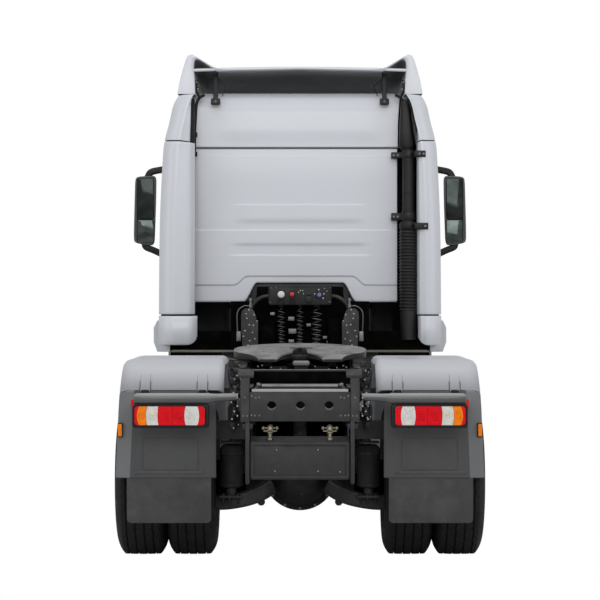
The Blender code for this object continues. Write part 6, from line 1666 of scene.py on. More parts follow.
def make_plate():
    """Coupling plate with ribs, jaw and handle, tilted about its pivot, and the bar and bolts under it."""
    pivot = (0, FIFTH_Y, PIVOT_Z)
    plate = turned_about(merged(plate_half(-1), plate_half(1)), "X", pivot, PLATE_TILT)
    piece("coupling_plate_top", plate, "plate", "fifth_wheel", ["fifth_wheel_plate"], 38)
    under = PLATE_TOP - 0.045
    ribs = []
    for side in (-1, 1):
        ribs.append(block(
            *span(side, 0.2, 0.255), FIFTH_Y - 0.3, FIFTH_Y + 0.3, under - 0.05, under + 0.004, 0.006
        ))
        ribs.append(block(
            *span(side, 0.2, 0.265), FIFTH_Y - 0.05, FIFTH_Y + 0.05, PIVOT_Z - 0.03, under, 0.008
        ))
        ribs.append(drum(0.022, side * 0.23, side * 0.345, "X", (0, FIFTH_Y, PIVOT_Z), 24))
        ribs.append(block(
            *span(side, 0.34, 0.36), FIFTH_Y - 0.22, FIFTH_Y + 0.2, under - 0.03, under + 0.004, 0.004
        ))
    ribs.append(block(-0.24, 0.24, FIFTH_Y + 0.12, FIFTH_Y + 0.3, under - 0.05, under + 0.004, 0.006))
    piece("coupling_plate_ribs", turned_about(merged(*ribs), "X", pivot, PLATE_TILT), "cast", "fifth_wheel")
    turn = np.linspace(math.radians(-35), math.radians(215), 30)
    jaw_path = np.stack([
        0.058 * np.cos(turn), FIFTH_Y - 0.01 + 0.058 * np.sin(turn), 0 * turn + under - 0.004
    ], -1)
    jaw = swept(jaw_path, rounded(-0.017, 0.017, -0.02, 0.02, 0.006, 3))
    lock = block(-0.12, 0.075, FIFTH_Y - 0.115, FIFTH_Y - 0.075, under - 0.03, under + 0.012, 0.006)
    lip = block(-0.075, 0.088, FIFTH_Y + 0.03, FIFTH_Y + 0.075, PLATE_TOP - 0.004, PLATE_TOP + 0.0035, 0.003)
    piece("coupling_jaw", turned_about(merged(jaw, lock), "X", pivot, PLATE_TILT), "cast", "fifth_wheel")
    piece("coupling_throat_lip", turned_about(lip, "X", pivot, PLATE_TILT), "frame", "fifth_wheel")
    grease = [
        (side * x, FIFTH_Y + y, PLATE_TOP + 0.0005)
        for side in (-1, 1)
        for x, y in ((0.13, 0.16), (0.3, 0.05), (0.26, -0.2))
    ]
    # Painted shade: a black block under the throat
    dark = block(-0.09, 0.1, FIFTH_Y - 0.3, FIFTH_Y + 0.08, under - 0.07, under - 0.035, 0.004)
    piece("coupling_throat_shade", turned_about(dark, "X", pivot, PLATE_TILT), "shadow", "fifth_wheel")
    piece(
        "coupling_pins", turned_about(rivets(grease, "Z", 1, 0.008), "X", pivot, PLATE_TILT), "grey_steel",
        "fifth_wheel",
    )
    handle = smooth_path([
        (-0.2, FIFTH_Y - 0.09, 1.325), (-0.36, FIFTH_Y - 0.1, 1.32), (-0.45, FIFTH_Y - 0.1, 1.322),
        (-0.5, FIFTH_Y - 0.1, 1.33), (-0.513, FIFTH_Y - 0.14, 1.332), (-0.5, FIFTH_Y - 0.19, 1.33),
    ], 8)
    piece("coupling_handle", tube(handle, 0.008, 10), "grey_steel", "fifth_wheel", crease=40)
    bar = slab(rounded(-0.052, 0.068, 1.294, 1.33, 0.0175, 8), "Y", -1.975, -1.94, 0.006)
    piece("coupling_guide_bar", bar, "grey_steel")
    bracket = [
        block(-0.04, 0.055, -1.95, -1.7, 1.262, 1.296, 0.006),
        block(-0.32, 0.32, -1.9, -1.86, 1.238, 1.256, 0.006),
    ]
    for side in (-1, 1):
        bracket.append(solid([
            (0.03, side * 0.363), (0.03, side * 0.378), (0.012, side * 0.38)
        ], "X", (0, FIFTH_Y, PIVOT_Z), 24))
    piece("coupling_base_bar", merged(*bracket), "cast")
    spots = [
        (side * x, FIFTH_Y + y, 1.207)
        for side in (-1, 1)
        for x, y in (
            (0.405, -0.34), (0.405, -0.2), (0.405, 0.1), (0.405, 0.34), (0.24, -0.34), (0.24, 0.34),
            (0.12, -0.34),
        )
    ]
    piece("coupling_base_bolts", bolts(spots, "Z", 1, 0.014), "steel")
    glints = [
        (-0.29, -1.98, 1.292), (-0.262, -1.98, 1.298), (-0.2, -1.985, 1.283), (0.105, -1.98, 1.29),
        (0.32, -1.98, 1.285), (0.3, -1.98, 1.296), (-0.42, -1.98, 1.3), (0.41, -1.975, 1.28),
        (0.44, -1.97, 1.268), (-0.135, -1.98, 1.276), (0.2, -1.98, 1.272), (0.255, -1.982, 1.282),
    ]
    piece("deck_fittings", bolts(glints, size=0.006), "grey_steel")


def make_gantry():
    """Stand with the coupling box: rounded housing, its couplings, arched tubes and bolted side plates."""
    y = BOX_Y
    housing = slab(rounded(-0.252, 0.252, 1.708, 1.866, 0.018), "Y", y, y + 0.115, 0.008)
    rim_line = rounded(-0.243, 0.243, 1.716, 1.857, 0.014)
    rim = bead(rim_line, "Y", y, circle(0.0035, 6))
    piece("coupling_box", merged(housing, rim), "box", "chassis", ["line_gantry"])
    corner = [
        (x, y, z)
        for x, z in (
            (-0.232, 1.846), (-0.19, 1.852), (0.238, 1.848), (0.196, 1.842), (-0.236, 1.73), (0.236, 1.735),
            (0.215, 1.82),
        )
    ]
    piece("coupling_box_screws", rivets(corner, size=0.0042), "steel")
    for finish, name, x, z, r in (
        ("white_cap", "white", -0.15, 1.794, 0.0285), ("red_cap", "red", -0.064, 1.794, 0.0195)
    ):
        cap = turned([
            (0, y - 0.03), (r * 0.66, y - 0.0295), (r * 0.88, y - 0.026), (r, y - 0.018), (r, y)
        ], "Y", (x, 0, z), 32)
        piece("coupling_cap_" + name, cap, finish, crease=40)
        collar = turned([
            (r + 0.001, y - 0.006), (r + 0.007, y - 0.006), (r + 0.007, y), (r + 0.001, y)
        ], "Y", (x, 0, z), 32)
        tab = block(x - 0.011, x + 0.011, y - 0.012, y, z - r - 0.018, z - r + 0.004, 0.003)
        ear = block(x - 0.006, x + 0.006, y - 0.02, y - 0.004, z + r - 0.004, z + r + 0.013, 0.002)
        piece("coupling_collar_" + name, merged(collar, tab, ear), "black")
    dots = [(0.003, y, 1.825), (0.022, y, 1.823), (0.028, y, 1.798), (-0.012, y, 1.81)]
    piece("coupling_box_studs", rivets(dots, size=0.0058), "steel")
    clip = merged(
        slab(rounded(0.048, 0.096, 1.728, 1.785, 0.006), "Y", y - 0.012, y, 0.004),
        slab(rounded(0.056, 0.088, 1.785, 1.803, 0.004), "Y", y - 0.02, y, 0.003),
    )
    piece("coupling_box_clip", clip, "black")
    x, z = 0.154, 1.794
    socket = turned([
        (0.012, y - 0.004), (0.02, y - 0.016), (0.031, y - 0.016), (0.033, y)
    ], "Y", (x, 0, z), 32)
    piece("socket_ring", socket, "black", crease=40)
    core = turned([(0, y - 0.012), (0.017, y - 0.012), (0.0195, y - 0.008), (0.0195, y)], "Y", (x, 0, z), 28)
    piece("socket_core", core, "blue_cap", crease=40)
    turn = full_turn(7)
    pins = [(x + 0.0105 * math.cos(t), y - 0.0125, z + 0.0105 * math.sin(t)) for t in turn]
    screws = [
        (x - 0.036, y, z + 0.004), (x + 0.036, y, z + 0.004), (x - 0.004, y, z + 0.038),
        (x + 0.03, y, z - 0.03),
    ]
    piece("socket_pins", merged(rivets(pins, size=0.0022), rivets(screws, size=0.0062)), "white_cap")
    lines = []
    for x0, x1, z0 in (
        (-0.165, -0.176, 1.765), (-0.14, -0.13, 1.765), (-0.07, -0.078, 1.772), (-0.056, -0.048, 1.772)
    ):
        lines.append(tube(
            smooth_path([(x0, y - 0.006, z0), (x1, y - 0.01, 1.74), (x1, y - 0.01, 1.712)], 6), 0.0035, 8,
            up=(0, 1, 0),
        ))
    piece("coupling_box_lines", merged(*lines), "seal")
    arch, plates, heads, valves = [], [], [], []
    for side in (-1, 1):
        bend = smooth_path([
            (side * 0.24, y + 0.06, 1.782), (side * 0.3, y + 0.06, 1.772), (side * 0.358, y + 0.055, 1.735),
            (side * 0.392, y + 0.05, 1.68), (side * 0.4, y + 0.05, 1.6),
        ], 8)
        arch.append(tube(bend, 0.0165, 16, up=(0, 1, 0)))
        outline = [
            (side * a, b)
            for a, b in (
                (0.352, 1.21), (0.35, 1.45), (0.343, 1.56), (0.352, 1.62), (0.366, 1.66), (0.385, 1.683),
                (0.44, 1.683), (0.466, 1.66), (0.472, 1.62), (0.47, 1.5), (0.462, 1.42), (0.462, 1.21),
            )
        ]
        plates.append(slab(outline[::side], "Y", y + 0.015, y + 0.035, 0.003))
        plates.append(block(*span(side, 0.335, 0.352), y + 0.01, y + 0.07, 1.2, 1.58, 0.004))
        for a, b in (
            (0.408, 1.672), (0.366, 1.632), (0.425, 1.604), (0.345, 1.58), (0.405, 1.552), (0.44, 1.505),
            (0.38, 1.49), (0.402, 1.425), (0.452, 1.46), (0.43, 1.64), (0.372, 1.548), (0.415, 1.39),
            (0.36, 1.44),
        ):
            heads.append((side * a, y + 0.015, b))
        body = turned([
            (0, 1.688), (0.014, 1.69), (0.014, 1.715), (0.009, 1.72), (0.009, 1.74), (0.013, 1.744),
            (0.013, 1.762), (0, 1.766),
        ], "Z", (side * 0.395, y + 0.03, 0), 14)
        valves.append(body)
        valves.append(tube(
            smooth_path([
                (side * 0.4, y + 0.03, 1.7), (side * 0.45, y + 0.02, 1.7), (side * 0.5, y + 0.03, 1.65),
                (side * 0.5, y + 0.05, 1.5),
            ], 6),
            0.005, 8, up=(0, 1, 0),
        ))
        valves.append(block(side * 0.49 - 0.018, side * 0.49 + 0.018, y + 0.02, y + 0.05, 1.42, 1.5, 0.004))
    piece("stand_arches", merged(*arch), "frame", crease=40)
    piece("stand_plates", merged(*plates), "plate_dark")
    piece("stand_bolts", bolts(heads, size=0.0062), "steel")
    piece("stand_valves", merged(*valves), "grey_steel", crease=40)
    # Painted shade: black blocks and round bodies behind the stand and between its plates
    back = [
        block(-0.35, 0.35, y + 0.16, y + 0.2, 1.22, 1.86, 0.01),
        block(-0.34, -0.2, y + 0.06, y + 0.16, 1.25, 1.6, 0.02),
        block(0.22, 0.34, y + 0.06, y + 0.16, 1.25, 1.6, 0.02),
        solid([(0.05, 1.36), (0.055, 1.38), (0.055, 1.52), (0.03, 1.55)], "Z", (-0.255, y + 0.03, 0), 24),
        solid([(0.045, 1.36), (0.05, 1.38), (0.05, 1.5), (0.03, 1.53)], "Z", (0.27, y + 0.03, 0), 24),
    ]
    piece("stand_painted_shade", merged(*back), "shadow")
    small = []
    for x, z, r in (
        (-0.07, 1.6, 0.016), (-0.06, 1.5, 0.02), (-0.07, 1.42, 0.014), (0.2, 1.45, 0.012),
        (0.235, 1.41, 0.014), (-0.22, 1.64, 0.012), (0.07, 1.55, 0.012),
    ):
        small.append(turned([
            (0, y + 0.02), (r, y + 0.022), (r, y + 0.06), (0, y + 0.06)
        ], "Y", (x, 0, z), 12))
        small.append(block(x - r * 1.6, x + r * 1.6, y + 0.04, y + 0.08, z - r, z + r, 0.003))
    piece("stand_fittings", merged(*small), "grey_steel")


def coil_path(x, y, radius, low, high, turns, lead):
    """A helix between two heights, drawn out at its upper end by its own weight.

    The place is x + r cos(t), y + r sin(t). The height falls by the share s of the turns as
    0.55 s + 0.45 (1 - (1 - s)^2), and r grows over the first turn.
    """
    share = np.linspace(0, 1, turns * 26 + 1)
    fall = 0.55 * share + 0.45 * (1 - (1 - share) ** 2)
    t = share * turns * 2 * math.pi
    r = radius * (0.5 + 0.5 * step(0, 2 * math.pi, t))
    return np.stack([x + r * np.cos(t), y + r * np.sin(t), high - lead - fall * (high - low - 2 * lead)], -1)


def make_coils():
    """Coiled lines between the box on the stand and the holders below it."""
    for name, x, radius, thick, turns, finish, lead in (
        ("air_coil_left", -0.15, 0.031, 0.0058, 11, "hose", 0.012),
        ("power_coil", 0.0, 0.027, 0.0054, 12, "hose", 0.012),
        ("air_coil_right", 0.135, 0.041, 0.0075, 9, "hose", 0.015),
    ):
        path = coil_path(x, COIL_Y, radius, 1.335, 1.7, turns, lead)
        obj = piece(name + "_line", tube(path, thick, 10), finish, "chassis", [name], 60)
    feet = []
    for x, radius in ((-0.15, 0.03), (0.0, 0.025), (0.135, 0.042)):
        feet.append(solid([(radius, 1.3), (radius, 1.34), (radius * 0.4, 1.346)], "Z", (x, COIL_Y, 0), 20))
        feet.append(turned([
            (0, 1.692), (radius * 0.5, 1.694), (radius * 0.6, 1.712), (0, 1.712)
        ], "Z", (x, COIL_Y, 0), 20))
    feet.append(block(-0.25, 0.25, 0.28, 0.39, 1.285, 1.303, 0.005))
    piece("coil_holders", merged(*feet), "black")


# Cab fittings: mirrors, doors, lamps at the front, tanks and steps at the sides, the padded seats


def make_mirrors():
    """Mirror heads with two panes in a raised shell, and the arm with its two elbows."""
    rear = 2.722
    outline = smooth_path([
        (1.321, 2.6), (1.33, 2.34), (1.334, 2.29), (1.344, 2.262), (1.365, 2.252), (1.42, 2.256),
        (1.49, 2.27), (1.511, 2.282), (1.52, 2.305), (1.521, 2.4), (1.512, 2.75), (1.508, 2.84),
        (1.498, 2.868), (1.47, 2.88), (1.41, 2.885), (1.35, 2.887), (1.326, 2.879), (1.318, 2.855),
        (1.317, 2.8), (1.321, 2.6),
    ], 4)[:-1]
    rows = []
    for depth, y in (
        (0.012, rear), (0.004, rear + 0.002), (0.0, rear + 0.008), (0.0, rear + 0.05), (0.006, rear + 0.075),
        (0.02, rear + 0.095), (0.05, rear + 0.105),
    ):
        ring = inset(outline, depth)
        rows.append(in_plane(ring, "Y", y))
    inner = inset(outline, 0.024)
    rows.insert(0, in_plane(inner, "Y", rear + 0.006))
    shell = grid(np.array(rows), close_v=True, caps=True)
    pair("mirror_{}_shell", shell, "mid", "cab", ["mirror_{}"], 40)
    seals, panes = [], []
    for low, high in ((2.272, 2.482), (2.497, 2.864)):
        line = rounded(1.338, 1.489, low, high, 0.016)
        panes.append(slab(line, "Y", rear + 0.001, rear + 0.006, 0.0015))
        seals.append(bead(line, "Y", rear + 0.002, circle(0.0035, 6)))
    seals.append(slab(rounded(1.334, 1.494, 2.268, 2.868, 0.018), "Y", rear + 0.003, rear + 0.0065))
    pair("mirror_{}_seals", merged(*seals), "seal", "cab")
    # The lower pane's paler finish is a painted reflection
    pair("mirror_{}_pane_low", panes[0], "mirror_low", "cab")
    pair("mirror_{}_pane_high", panes[1], "mirror", "cab")
    arm = smooth_path([
        (0.97, 2.785, 2.99), (1.1, 2.785, 2.97), (1.2, 2.78, 2.955), (1.3, 2.775, 2.94), (1.37, 2.775, 2.92),
        (1.4, 2.775, 2.87),
    ], 8)
    lower = smooth_path([
        (0.96, 2.79, 2.1), (1.12, 2.785, 2.125), (1.24, 2.78, 2.16), (1.34, 2.775, 2.205),
        (1.41, 2.775, 2.235), (1.425, 2.775, 2.27),
    ], 8)
    section = rounded(-0.03, 0.03, -0.031, 0.031, 0.014, 4)
    foot = slab([
        (1.1, 2.93), (1.155, 2.93), (1.15, 3.02), (1.12, 3.09), (1.08, 3.09), (1.08, 2.93)
    ], "Y", 2.74, 2.8, 0.008)
    arms = merged(swept(arm, section, up=(0, 1, 0)), swept(lower, section, up=(0, 1, 0)), foot)
    pair("mirror_{}_arms", arms, "black", "cab", crease=40)
    elbows = [
        turned([
            (0, 2.75), (0.028, 2.752), (0.034, 2.765), (0.034, 2.795), (0.028, 2.808), (0, 2.81)
        ], "Y", (x, 0, z), 28)
        for x, z in ((1.2, 2.955), (1.24, 2.16))
    ]
    pair("mirror_{}_elbows", merged(*elbows), "dark", "cab", crease=40)
    small = slab(rounded(1.16, 1.245, 2.3, 2.52, 0.02), "Y", 2.75, 2.79, 0.012)
    pair("mirror_{}_near", small, "black", "cab", crease=40)


def make_doors():
    """Door handles, window seals, hinges and the rubber round each door."""
    face = 1.152
    cup = slab(rounded(1.74, 1.9, 1.87, 1.935, 0.02), "X", face - 0.012, face + 0.003, 0.003)
    grip = smooth_path([
        (face, 1.755, 1.905), (face + 0.012, 1.775, 1.908), (face + 0.015, 1.82, 1.909),
        (face + 0.012, 1.865, 1.908), (face, 1.885, 1.905),
    ], 6)
    lock = turned([(0, face + 0.006), (0.011, face + 0.005), (0.0125, face)], "X", (0, 1.715, 1.9), 18)
    handle = merged(cup, tube(grip, 0.0085, 10), lock)
    pair("door_handle_{}", handle, "black", "door_{}", crease=40)
    window = rounded(1.765, 2.48, 1.945, 2.825, 0.06, 6)
    pair("window_seal_{}", bead(window, "X", face - 0.006, circle(0.008, 8)), "seal", "door_{}")
    door = rounded(1.664, 2.58, 1.226, 2.924, 0.045, 5)
    pair("door_seal_{}", bead(door, "X", face - 0.02, circle(0.006, 6)), "seal", "door_{}")
    ridge = slab([
        (1.68, 1.83), (2.56, 1.83), (2.56, 1.842), (1.68, 1.842)
    ], "X", face - 0.01, face + 0.003, 0.002)
    lower = slab([
        (1.68, 1.45), (2.56, 1.45), (2.56, 1.462), (1.68, 1.462)
    ], "X", face - 0.01, face + 0.003, 0.002)
    pair("door_creases_{}", merged(ridge, lower), "body", "door_{}")
    hinges = []
    for z in (1.5, 2.05):
        hinges.append(drum(0.013, z - 0.05, z + 0.05, "Z", (face, 2.6, 0), 14))
        hinges.append(block(face - 0.03, face + 0.008, 2.55, 2.6, z - 0.035, z + 0.035, 0.004))
    pair("door_hinges_{}", merged(*hinges), "black", "cab", crease=40)
    blade = tube(
        smooth_path([(face - 0.01, 1.8, 1.94), (face - 0.012, 2.1, 1.938), (face - 0.012, 2.45, 1.94)], 8),
        0.007, 8,
    )
    pair("window_wiper_seal_{}", blade, "black", "door_{}")
    pull = tube(
        smooth_path([
            (1.085, 1.76, 1.7), (1.05, 1.78, 1.705), (1.045, 1.9, 1.71), (1.05, 2.02, 1.705),
            (1.085, 2.04, 1.7),
        ], 6),
        0.012, 10,
    )
    pocket = slab(rounded(1.74, 2.4, 1.3, 1.5, 0.03), "X", 1.05, 1.085, 0.006)
    crank = block(1.06, 1.085, 2.1, 2.3, 1.75, 1.8, 0.008)
    pair("door_lining_{}", merged(pull, pocket, crank), "trim", "door_{}", crease=40)
    rail = tube(
        smooth_path([(1.145, 1.58, 1.5), (1.165, 1.57, 1.55), (1.165, 1.57, 2.3), (1.145, 1.58, 2.35)], 8),
        0.012, 10,
    )
    pair("grab_rail_{}", rail, "black", "cab", crease=40)


def lamp_bowl(x, y, z, r):
    """Round reflector with a bulb in its middle, facing ahead."""
    bowl = turned([(0.01, y - 0.05), (r * 0.5, y - 0.045), (r * 0.85, y - 0.02), (r, y)], "Y", (x, 0, z), 32)
    bulb = turned([(0, y - 0.008), (0.009, y - 0.012), (0.009, y - 0.05), (0, y - 0.05)], "Y", (x, 0, z), 12)
    return merged(bowl, bulb)


def make_front():
    """Headlamps, fog lamps, wipers, the grille's bright edges, panel joints, roof markers and tow covers."""
    for side, word in SIDES:
        line = [
            (0.66, 0.79), (0.7, 0.745), (1.05, 0.745), (1.13, 0.775), (1.14, 0.82), (1.11, 0.875),
            (1.02, 0.9), (0.72, 0.89),
        ]
        line = smooth_path(line + line[:1], 4)[:-1]
        lens = slab([(side * a, b) for a, b in line][::side], "Y", 2.965, 2.992, 0.008)
        piece("headlamp_lens_" + word, lens, "pane_clear", crease=40)
        base = slab([(side * a, b) for a, b in line][::side], "Y", 2.94, 2.967, 0.004)
        piece("headlamp_base_" + word, base, "black")
        bowls = merged(*[lamp_bowl(side * x, 2.985, 0.82, r) for x, r in ((0.78, 0.055), (0.91, 0.055))])
        piece("headlamp_bowls_" + word, bowls, "steel", crease=50)
        turn = slab(rounded(*span(side, 1.01, 1.095), 0.785, 0.86, 0.02), "Y", 2.968, 2.985, 0.004)
        piece("front_turn_lamp_" + word, turn, "amber")
        fog = lamp_bowl(side * 0.86, 2.99, 0.56, 0.045)
        piece("fog_lamp_" + word, fog, "steel", crease=50)
        ring = turned([
            (0.045, 2.98), (0.058, 2.98), (0.058, 2.997), (0.048, 2.997)
        ], "Y", (side * 0.86, 0, 0.56), 32)
        piece("fog_lamp_ring_" + word, ring, "black")
        arm = smooth_path([
            (side * 0.12, 2.905, 1.945), (side * 0.3, 2.925, 1.985), (side * 0.55, 2.925, 2.02)
        ], 8)
        blade = [(side * 0.18, 2.922, 2.022), (side * 0.5, 2.926, 2.034), (side * 0.85, 2.905, 2.04)]
        wiper = merged(
            tube(arm, 0.008, 8), swept(smooth_path(blade, 8), rounded(-0.006, 0.006, -0.009, 0.009, 0.004, 2))
        )
        piece("wiper_" + word, wiper, "black", "cab", crease=40)
    bars = []
    for index in range(9):
        z = 1.235 + index * 0.074
        bars.append(block(-0.765, 0.765, 2.876, 2.886, z, z + 0.006, 0.002))
    piece("grille_edges", merged(*bars), "grey_steel", "cab")
    lid = [tube([(-0.76, 2.89, 1.885), (0.76, 2.89, 1.885)], 0.004, 8, up=(0, 1, 0))]
    lid.append(tube([(-0.9, 2.91, 1.93), (0.9, 2.91, 1.93)], 0.005, 8, up=(0, 1, 0)))
    piece("front_panel_joints", merged(*lid), "seal", "cab")
    markers = rivets([(x, 2.9, 3.06) for x in (-0.85, -0.28, 0.28, 0.85)], "Y", 1, 0.018)
    piece("roof_markers", markers, "amber", "cab")
    plate = slab(rounded(-0.26, 0.26, 0.6, 0.71, 0.008), "Y", 2.985, 2.995, 0.002)
    piece("front_plate_holder", plate, "black")
    hooks = [
        solid([(0.03, 2.95), (0.03, 2.994), (0.022, 2.997)], "Y", (x, 0, 0.47), 24)
        for x in (-0.45, 0.45)
    ]
    piece("tow_covers", merged(*hooks), "dark", crease=40)


def make_sides():
    """Tank straps and cap, battery cover's rim, silencer bands, step treads, side markers and brake parts."""
    band = [
        (1.132, 1.02), (1.132, 0.5), (1.07, 0.425), (0.46, 0.425), (0.46, 0.418), (1.075, 0.416),
        (1.139, 0.495), (1.139, 1.025), (1.075, 1.097), (0.46, 1.105), (0.46, 1.1), (1.07, 1.09),
    ]
    straps = [slab(band, "Y", y - 0.025, y + 0.025, 0.002) for y in (-0.1, 0.5)]
    piece("tank_straps", merged(*straps), "grey_steel")
    cap = solid([(0.03, 1.108), (0.045, 1.1), (0.05, 1.085), (0.055, 1.06)], "Z", (0.98, 0.58, 0), 32)
    piece("tank_cap", cap, "black", crease=40)
    cover = [slab(rounded(0.12, 0.73, 0.56, 1.04, 0.04), "X", -1.139, -1.125, 0.006)]
    cover += [block(-1.146, -1.13, y - 0.02, y + 0.02, 0.76, 0.82, 0.004) for y in (0.16, 0.69)]
    piece("battery_cover", merged(*cover), "dark", crease=40)
    bands = []
    for y in (-0.66, -0.39, -0.1):
        ring = rounded(-1.114, -0.44, 0.424, 1.104, 0.14, 8)
        bands.append(bead(ring, "Y", y, rounded(-0.012, 0.012, -0.004, 0.004, 0.002, 2)))
    piece("silencer_bands", merged(*bands), "grey_steel")
    treads = []
    for z in (0.525, 0.86):
        for index in range(8):
            y = 1.885 + index * 0.085
            treads.append(block(1.02, 1.2, y, y + 0.03, z, z + 0.008, 0.003))
    pair("step_treads_{}", merged(*treads), "grey_steel")
    brakes = [solid([
        (0.175, 0.93), (0.19, 0.94), (0.19, 0.985), (0.17, 0.993)
    ], "X", (0, FRONT_AXLE_Y, AXLE_Z), 40)]
    pair("front_brake_{}", merged(*brakes), "cast", "knuckle_{}", crease=40)
    marker = slab(rounded(-0.92, -0.82, 1.03, 1.06, 0.008), "X", 1.118, 1.126, 0.002)
    pair("side_marker_{}", marker, "amber")


def cushion(x0, x1, y0, y1, z0, z1, puff, seams=0):
    """A soft box: its six faces swell by puff*(1-a^2)*(1-b^2) and dip along the stitched seams."""
    n = 10
    u = np.linspace(-1, 1, n)
    a, b = np.meshgrid(u, u, indexing="ij")
    swell = (1 - a**2) * (1 - b**2)
    if seams:
        swell = swell - 0.22 * np.exp(-((np.abs((a * seams) % 1 - 0.5) - 0.5) / 0.08) ** 2) * (1 - b**4)
    centre = np.array([(x0 + x1) / 2, (y0 + y1) / 2, (z0 + z1) / 2])
    half = np.array([(x1 - x0) / 2, (y1 - y0) / 2, (z1 - z0) / 2]) - puff * 0.5
    sheets = []
    for axis in range(3):
        for way in (-1, 1):
            p = np.zeros((n, n, 3))
            p[..., axis] = way * (half[axis] + puff * swell)
            p[..., (axis + 1) % 3] = a * half[(axis + 1) % 3]
            p[..., (axis + 2) % 3] = b * half[(axis + 2) % 3]
            sheets.append(grid(p + centre))
    return merged(*sheets)


def pad(name, shape, body, node=()):
    """A padded piece in cloth, smoothed by one subdivision."""
    obj = piece(name, shape, "cloth", body, node, 180)
    smooth = obj.modifiers.new("Soft", "SUBSURF")
    smooth.levels = smooth.render_levels = 1


def make_inside():
    """Seats of cushion, back and head rest on their bases, the bunk, and the steering wheel."""
    for side, word in SIDES:
        x0, x1 = span(side, 0.415, 0.865)
        node = ["seat_" + word]
        pad(
            "seat_cushion_" + word, cushion(x0 + 0.005, x1 - 0.005, 1.72, 2.21, 1.78, 1.92, 0.03, 2), "cab",
            node,
        )
        back = turned_about(
            cushion(x0 + 0.01, x1 - 0.01, 1.69, 1.82, 1.93, 2.58, 0.03, 2), "X", (0, 1.75, 1.93),
            math.radians(3),
        )
        pad("seat_back_" + word, back, "cab")
        pad(
            "seat_head_rest_" + word,
            cushion(side * 0.64 - 0.13, side * 0.64 + 0.13, 1.675, 1.775, 2.6, 2.79, 0.025), "cab",
        )
        base = merged(
            block(x0 + 0.04, x1 - 0.04, 1.74, 2.16, 1.475, 1.5, 0.006),
            block(x0 + 0.06, x1 - 0.06, 1.78, 2.12, 1.5, 1.76, 0.03),
            block(x0 + 0.03, x1 - 0.03, 1.74, 2.16, 1.755, 1.785, 0.008),
        )
        piece("seat_base_" + word, base, "black", "cab", crease=40)
    pad("bunk_mattress", cushion(-0.955, 0.955, 0.78, 1.355, 1.96, 2.13, 0.025, 4), "cab", ["bunk"])
    piece("bunk_board", block(-0.955, 0.955, 0.78, 1.355, 1.785, 1.955, 0.01), "trim", "cab")
    turn = full_turn(48)
    wheel_path = np.stack([-0.62 + 0.21 * np.cos(turn), 0 * turn, 0.21 * np.sin(turn)], -1)
    rim = swept(wheel_path, circle(0.014, 10), up=(0, 1, 0), close=True)
    hub = turned([(0, -0.02), (0.06, -0.015), (0.075, 0.01), (0.06, 0.03), (0, 0.03)], "Y", (-0.62, 0, 0), 28)
    spokes = [
        block(-0.83, -0.41, -0.008, 0.008, -0.016, 0.016, 0.005),
        block(-0.64, -0.6, -0.008, 0.008, -0.205, 0.0, 0.005),
    ]
    wheel = turned_about(merged(rim, hub, *spokes), "X", (0, 0, 0), math.radians(-42))
    column = tube([(0, 0.02, 0), (0, 0.2, -0.2)], 0.035, 14)
    column = (column[0] + np.array([-0.62, 0, 0]), column[1])
    wheel = merged(wheel, column)
    piece("steering_wheel", (wheel[0] + np.array([0, 2.16, 2.13]), wheel[1]), "black", "cab", crease=40)
    panel = [slab(rounded(-0.84, -0.4, 2.12, 2.26, 0.03), "Y", 2.06, 2.09, 0.006)]
    panel.append(slab(rounded(-0.25, 0.25, 1.95, 2.2, 0.02), "Y", 2.045, 2.06, 0.004))
    piece("dashboard_panels", merged(*panel), "black", "cab", crease=40)
    dials = [
        turned([(0.045, 2.05), (0.052, 2.05), (0.052, 2.062), (0.045, 2.062)], "Y", (x, 0, 2.19), 28)
        for x in (-0.75, -0.62, -0.49)
    ]
    piece("dashboard_dials", merged(*dials), "grey_steel", "cab")


# Finish and edge width of each CAD node that keeps its shape
CARRIED = {
    "ladder_frame": ("frame", 0.002),
    "front_axle": ("cast", 0.006),
    "driveline": ("cast", 0.006),
    "knuckle_left": ("cast", 0.004),
    "knuckle_right": ("cast", 0.004),
    "fuel_tank": ("alloy", 0.008),
    "battery_box": ("dark", 0.008),
    "silencer": ("grey_steel", 0.01),
    "step_well_left": ("dark", 0.004),
    "step_well_right": ("dark", 0.004),
    "front_bumper": ("body", 0.006),
    "cab_front": ("body", 0.003),
    "cab_side_left": ("body", 0.002),
    "cab_side_right": ("body", 0.002),
    "cab_floor": ("dark", 0.002),
    "cab_mount_left": ("frame", 0.002),
    "cab_mount_right": ("frame", 0.002),
    "door_left": ("body", 0.003),
    "door_right": ("body", 0.003),
    "door_glass_left": ("pane", 0.0),
    "door_glass_right": ("pane", 0.0),
    "windscreen": ("pane", 0.0),
    "grille": ("black", 0.003),
    "dashboard": ("trim", 0.012),
    "fifth_wheel_base": ("cast", 0.004),
    "front_rim_left": ("rim", 0.003),
    "front_rim_right": ("rim", 0.003),
    "rear_rims_left": ("rim", 0.003),
    "rear_rims_right": ("rim", 0.003),
}


def make_carried():
    """The CAD pieces that keep their shape, each with its own finish and edge width."""
    for node, (finish, width) in CARRIED.items():
        softened(node, finish, width)


def make_camera(values):
    """Level camera behind the vehicle, on its middle line."""
    data = bpy.data.cameras.new("Camera")
    data.lens = values.camera_lens
    data.sensor_width = 36.0
    data.clip_end = 200.0
    camera = bpy.data.objects.new("Camera", data)
    camera.location = (0.0, REAR_AXLE_Y - values.camera_distance, values.camera_height)
    camera.rotation_euler = (math.radians(90), 0.0, 0.0)
    bpy.context.scene.collection.objects.link(camera)
    bpy.context.scene.camera = camera


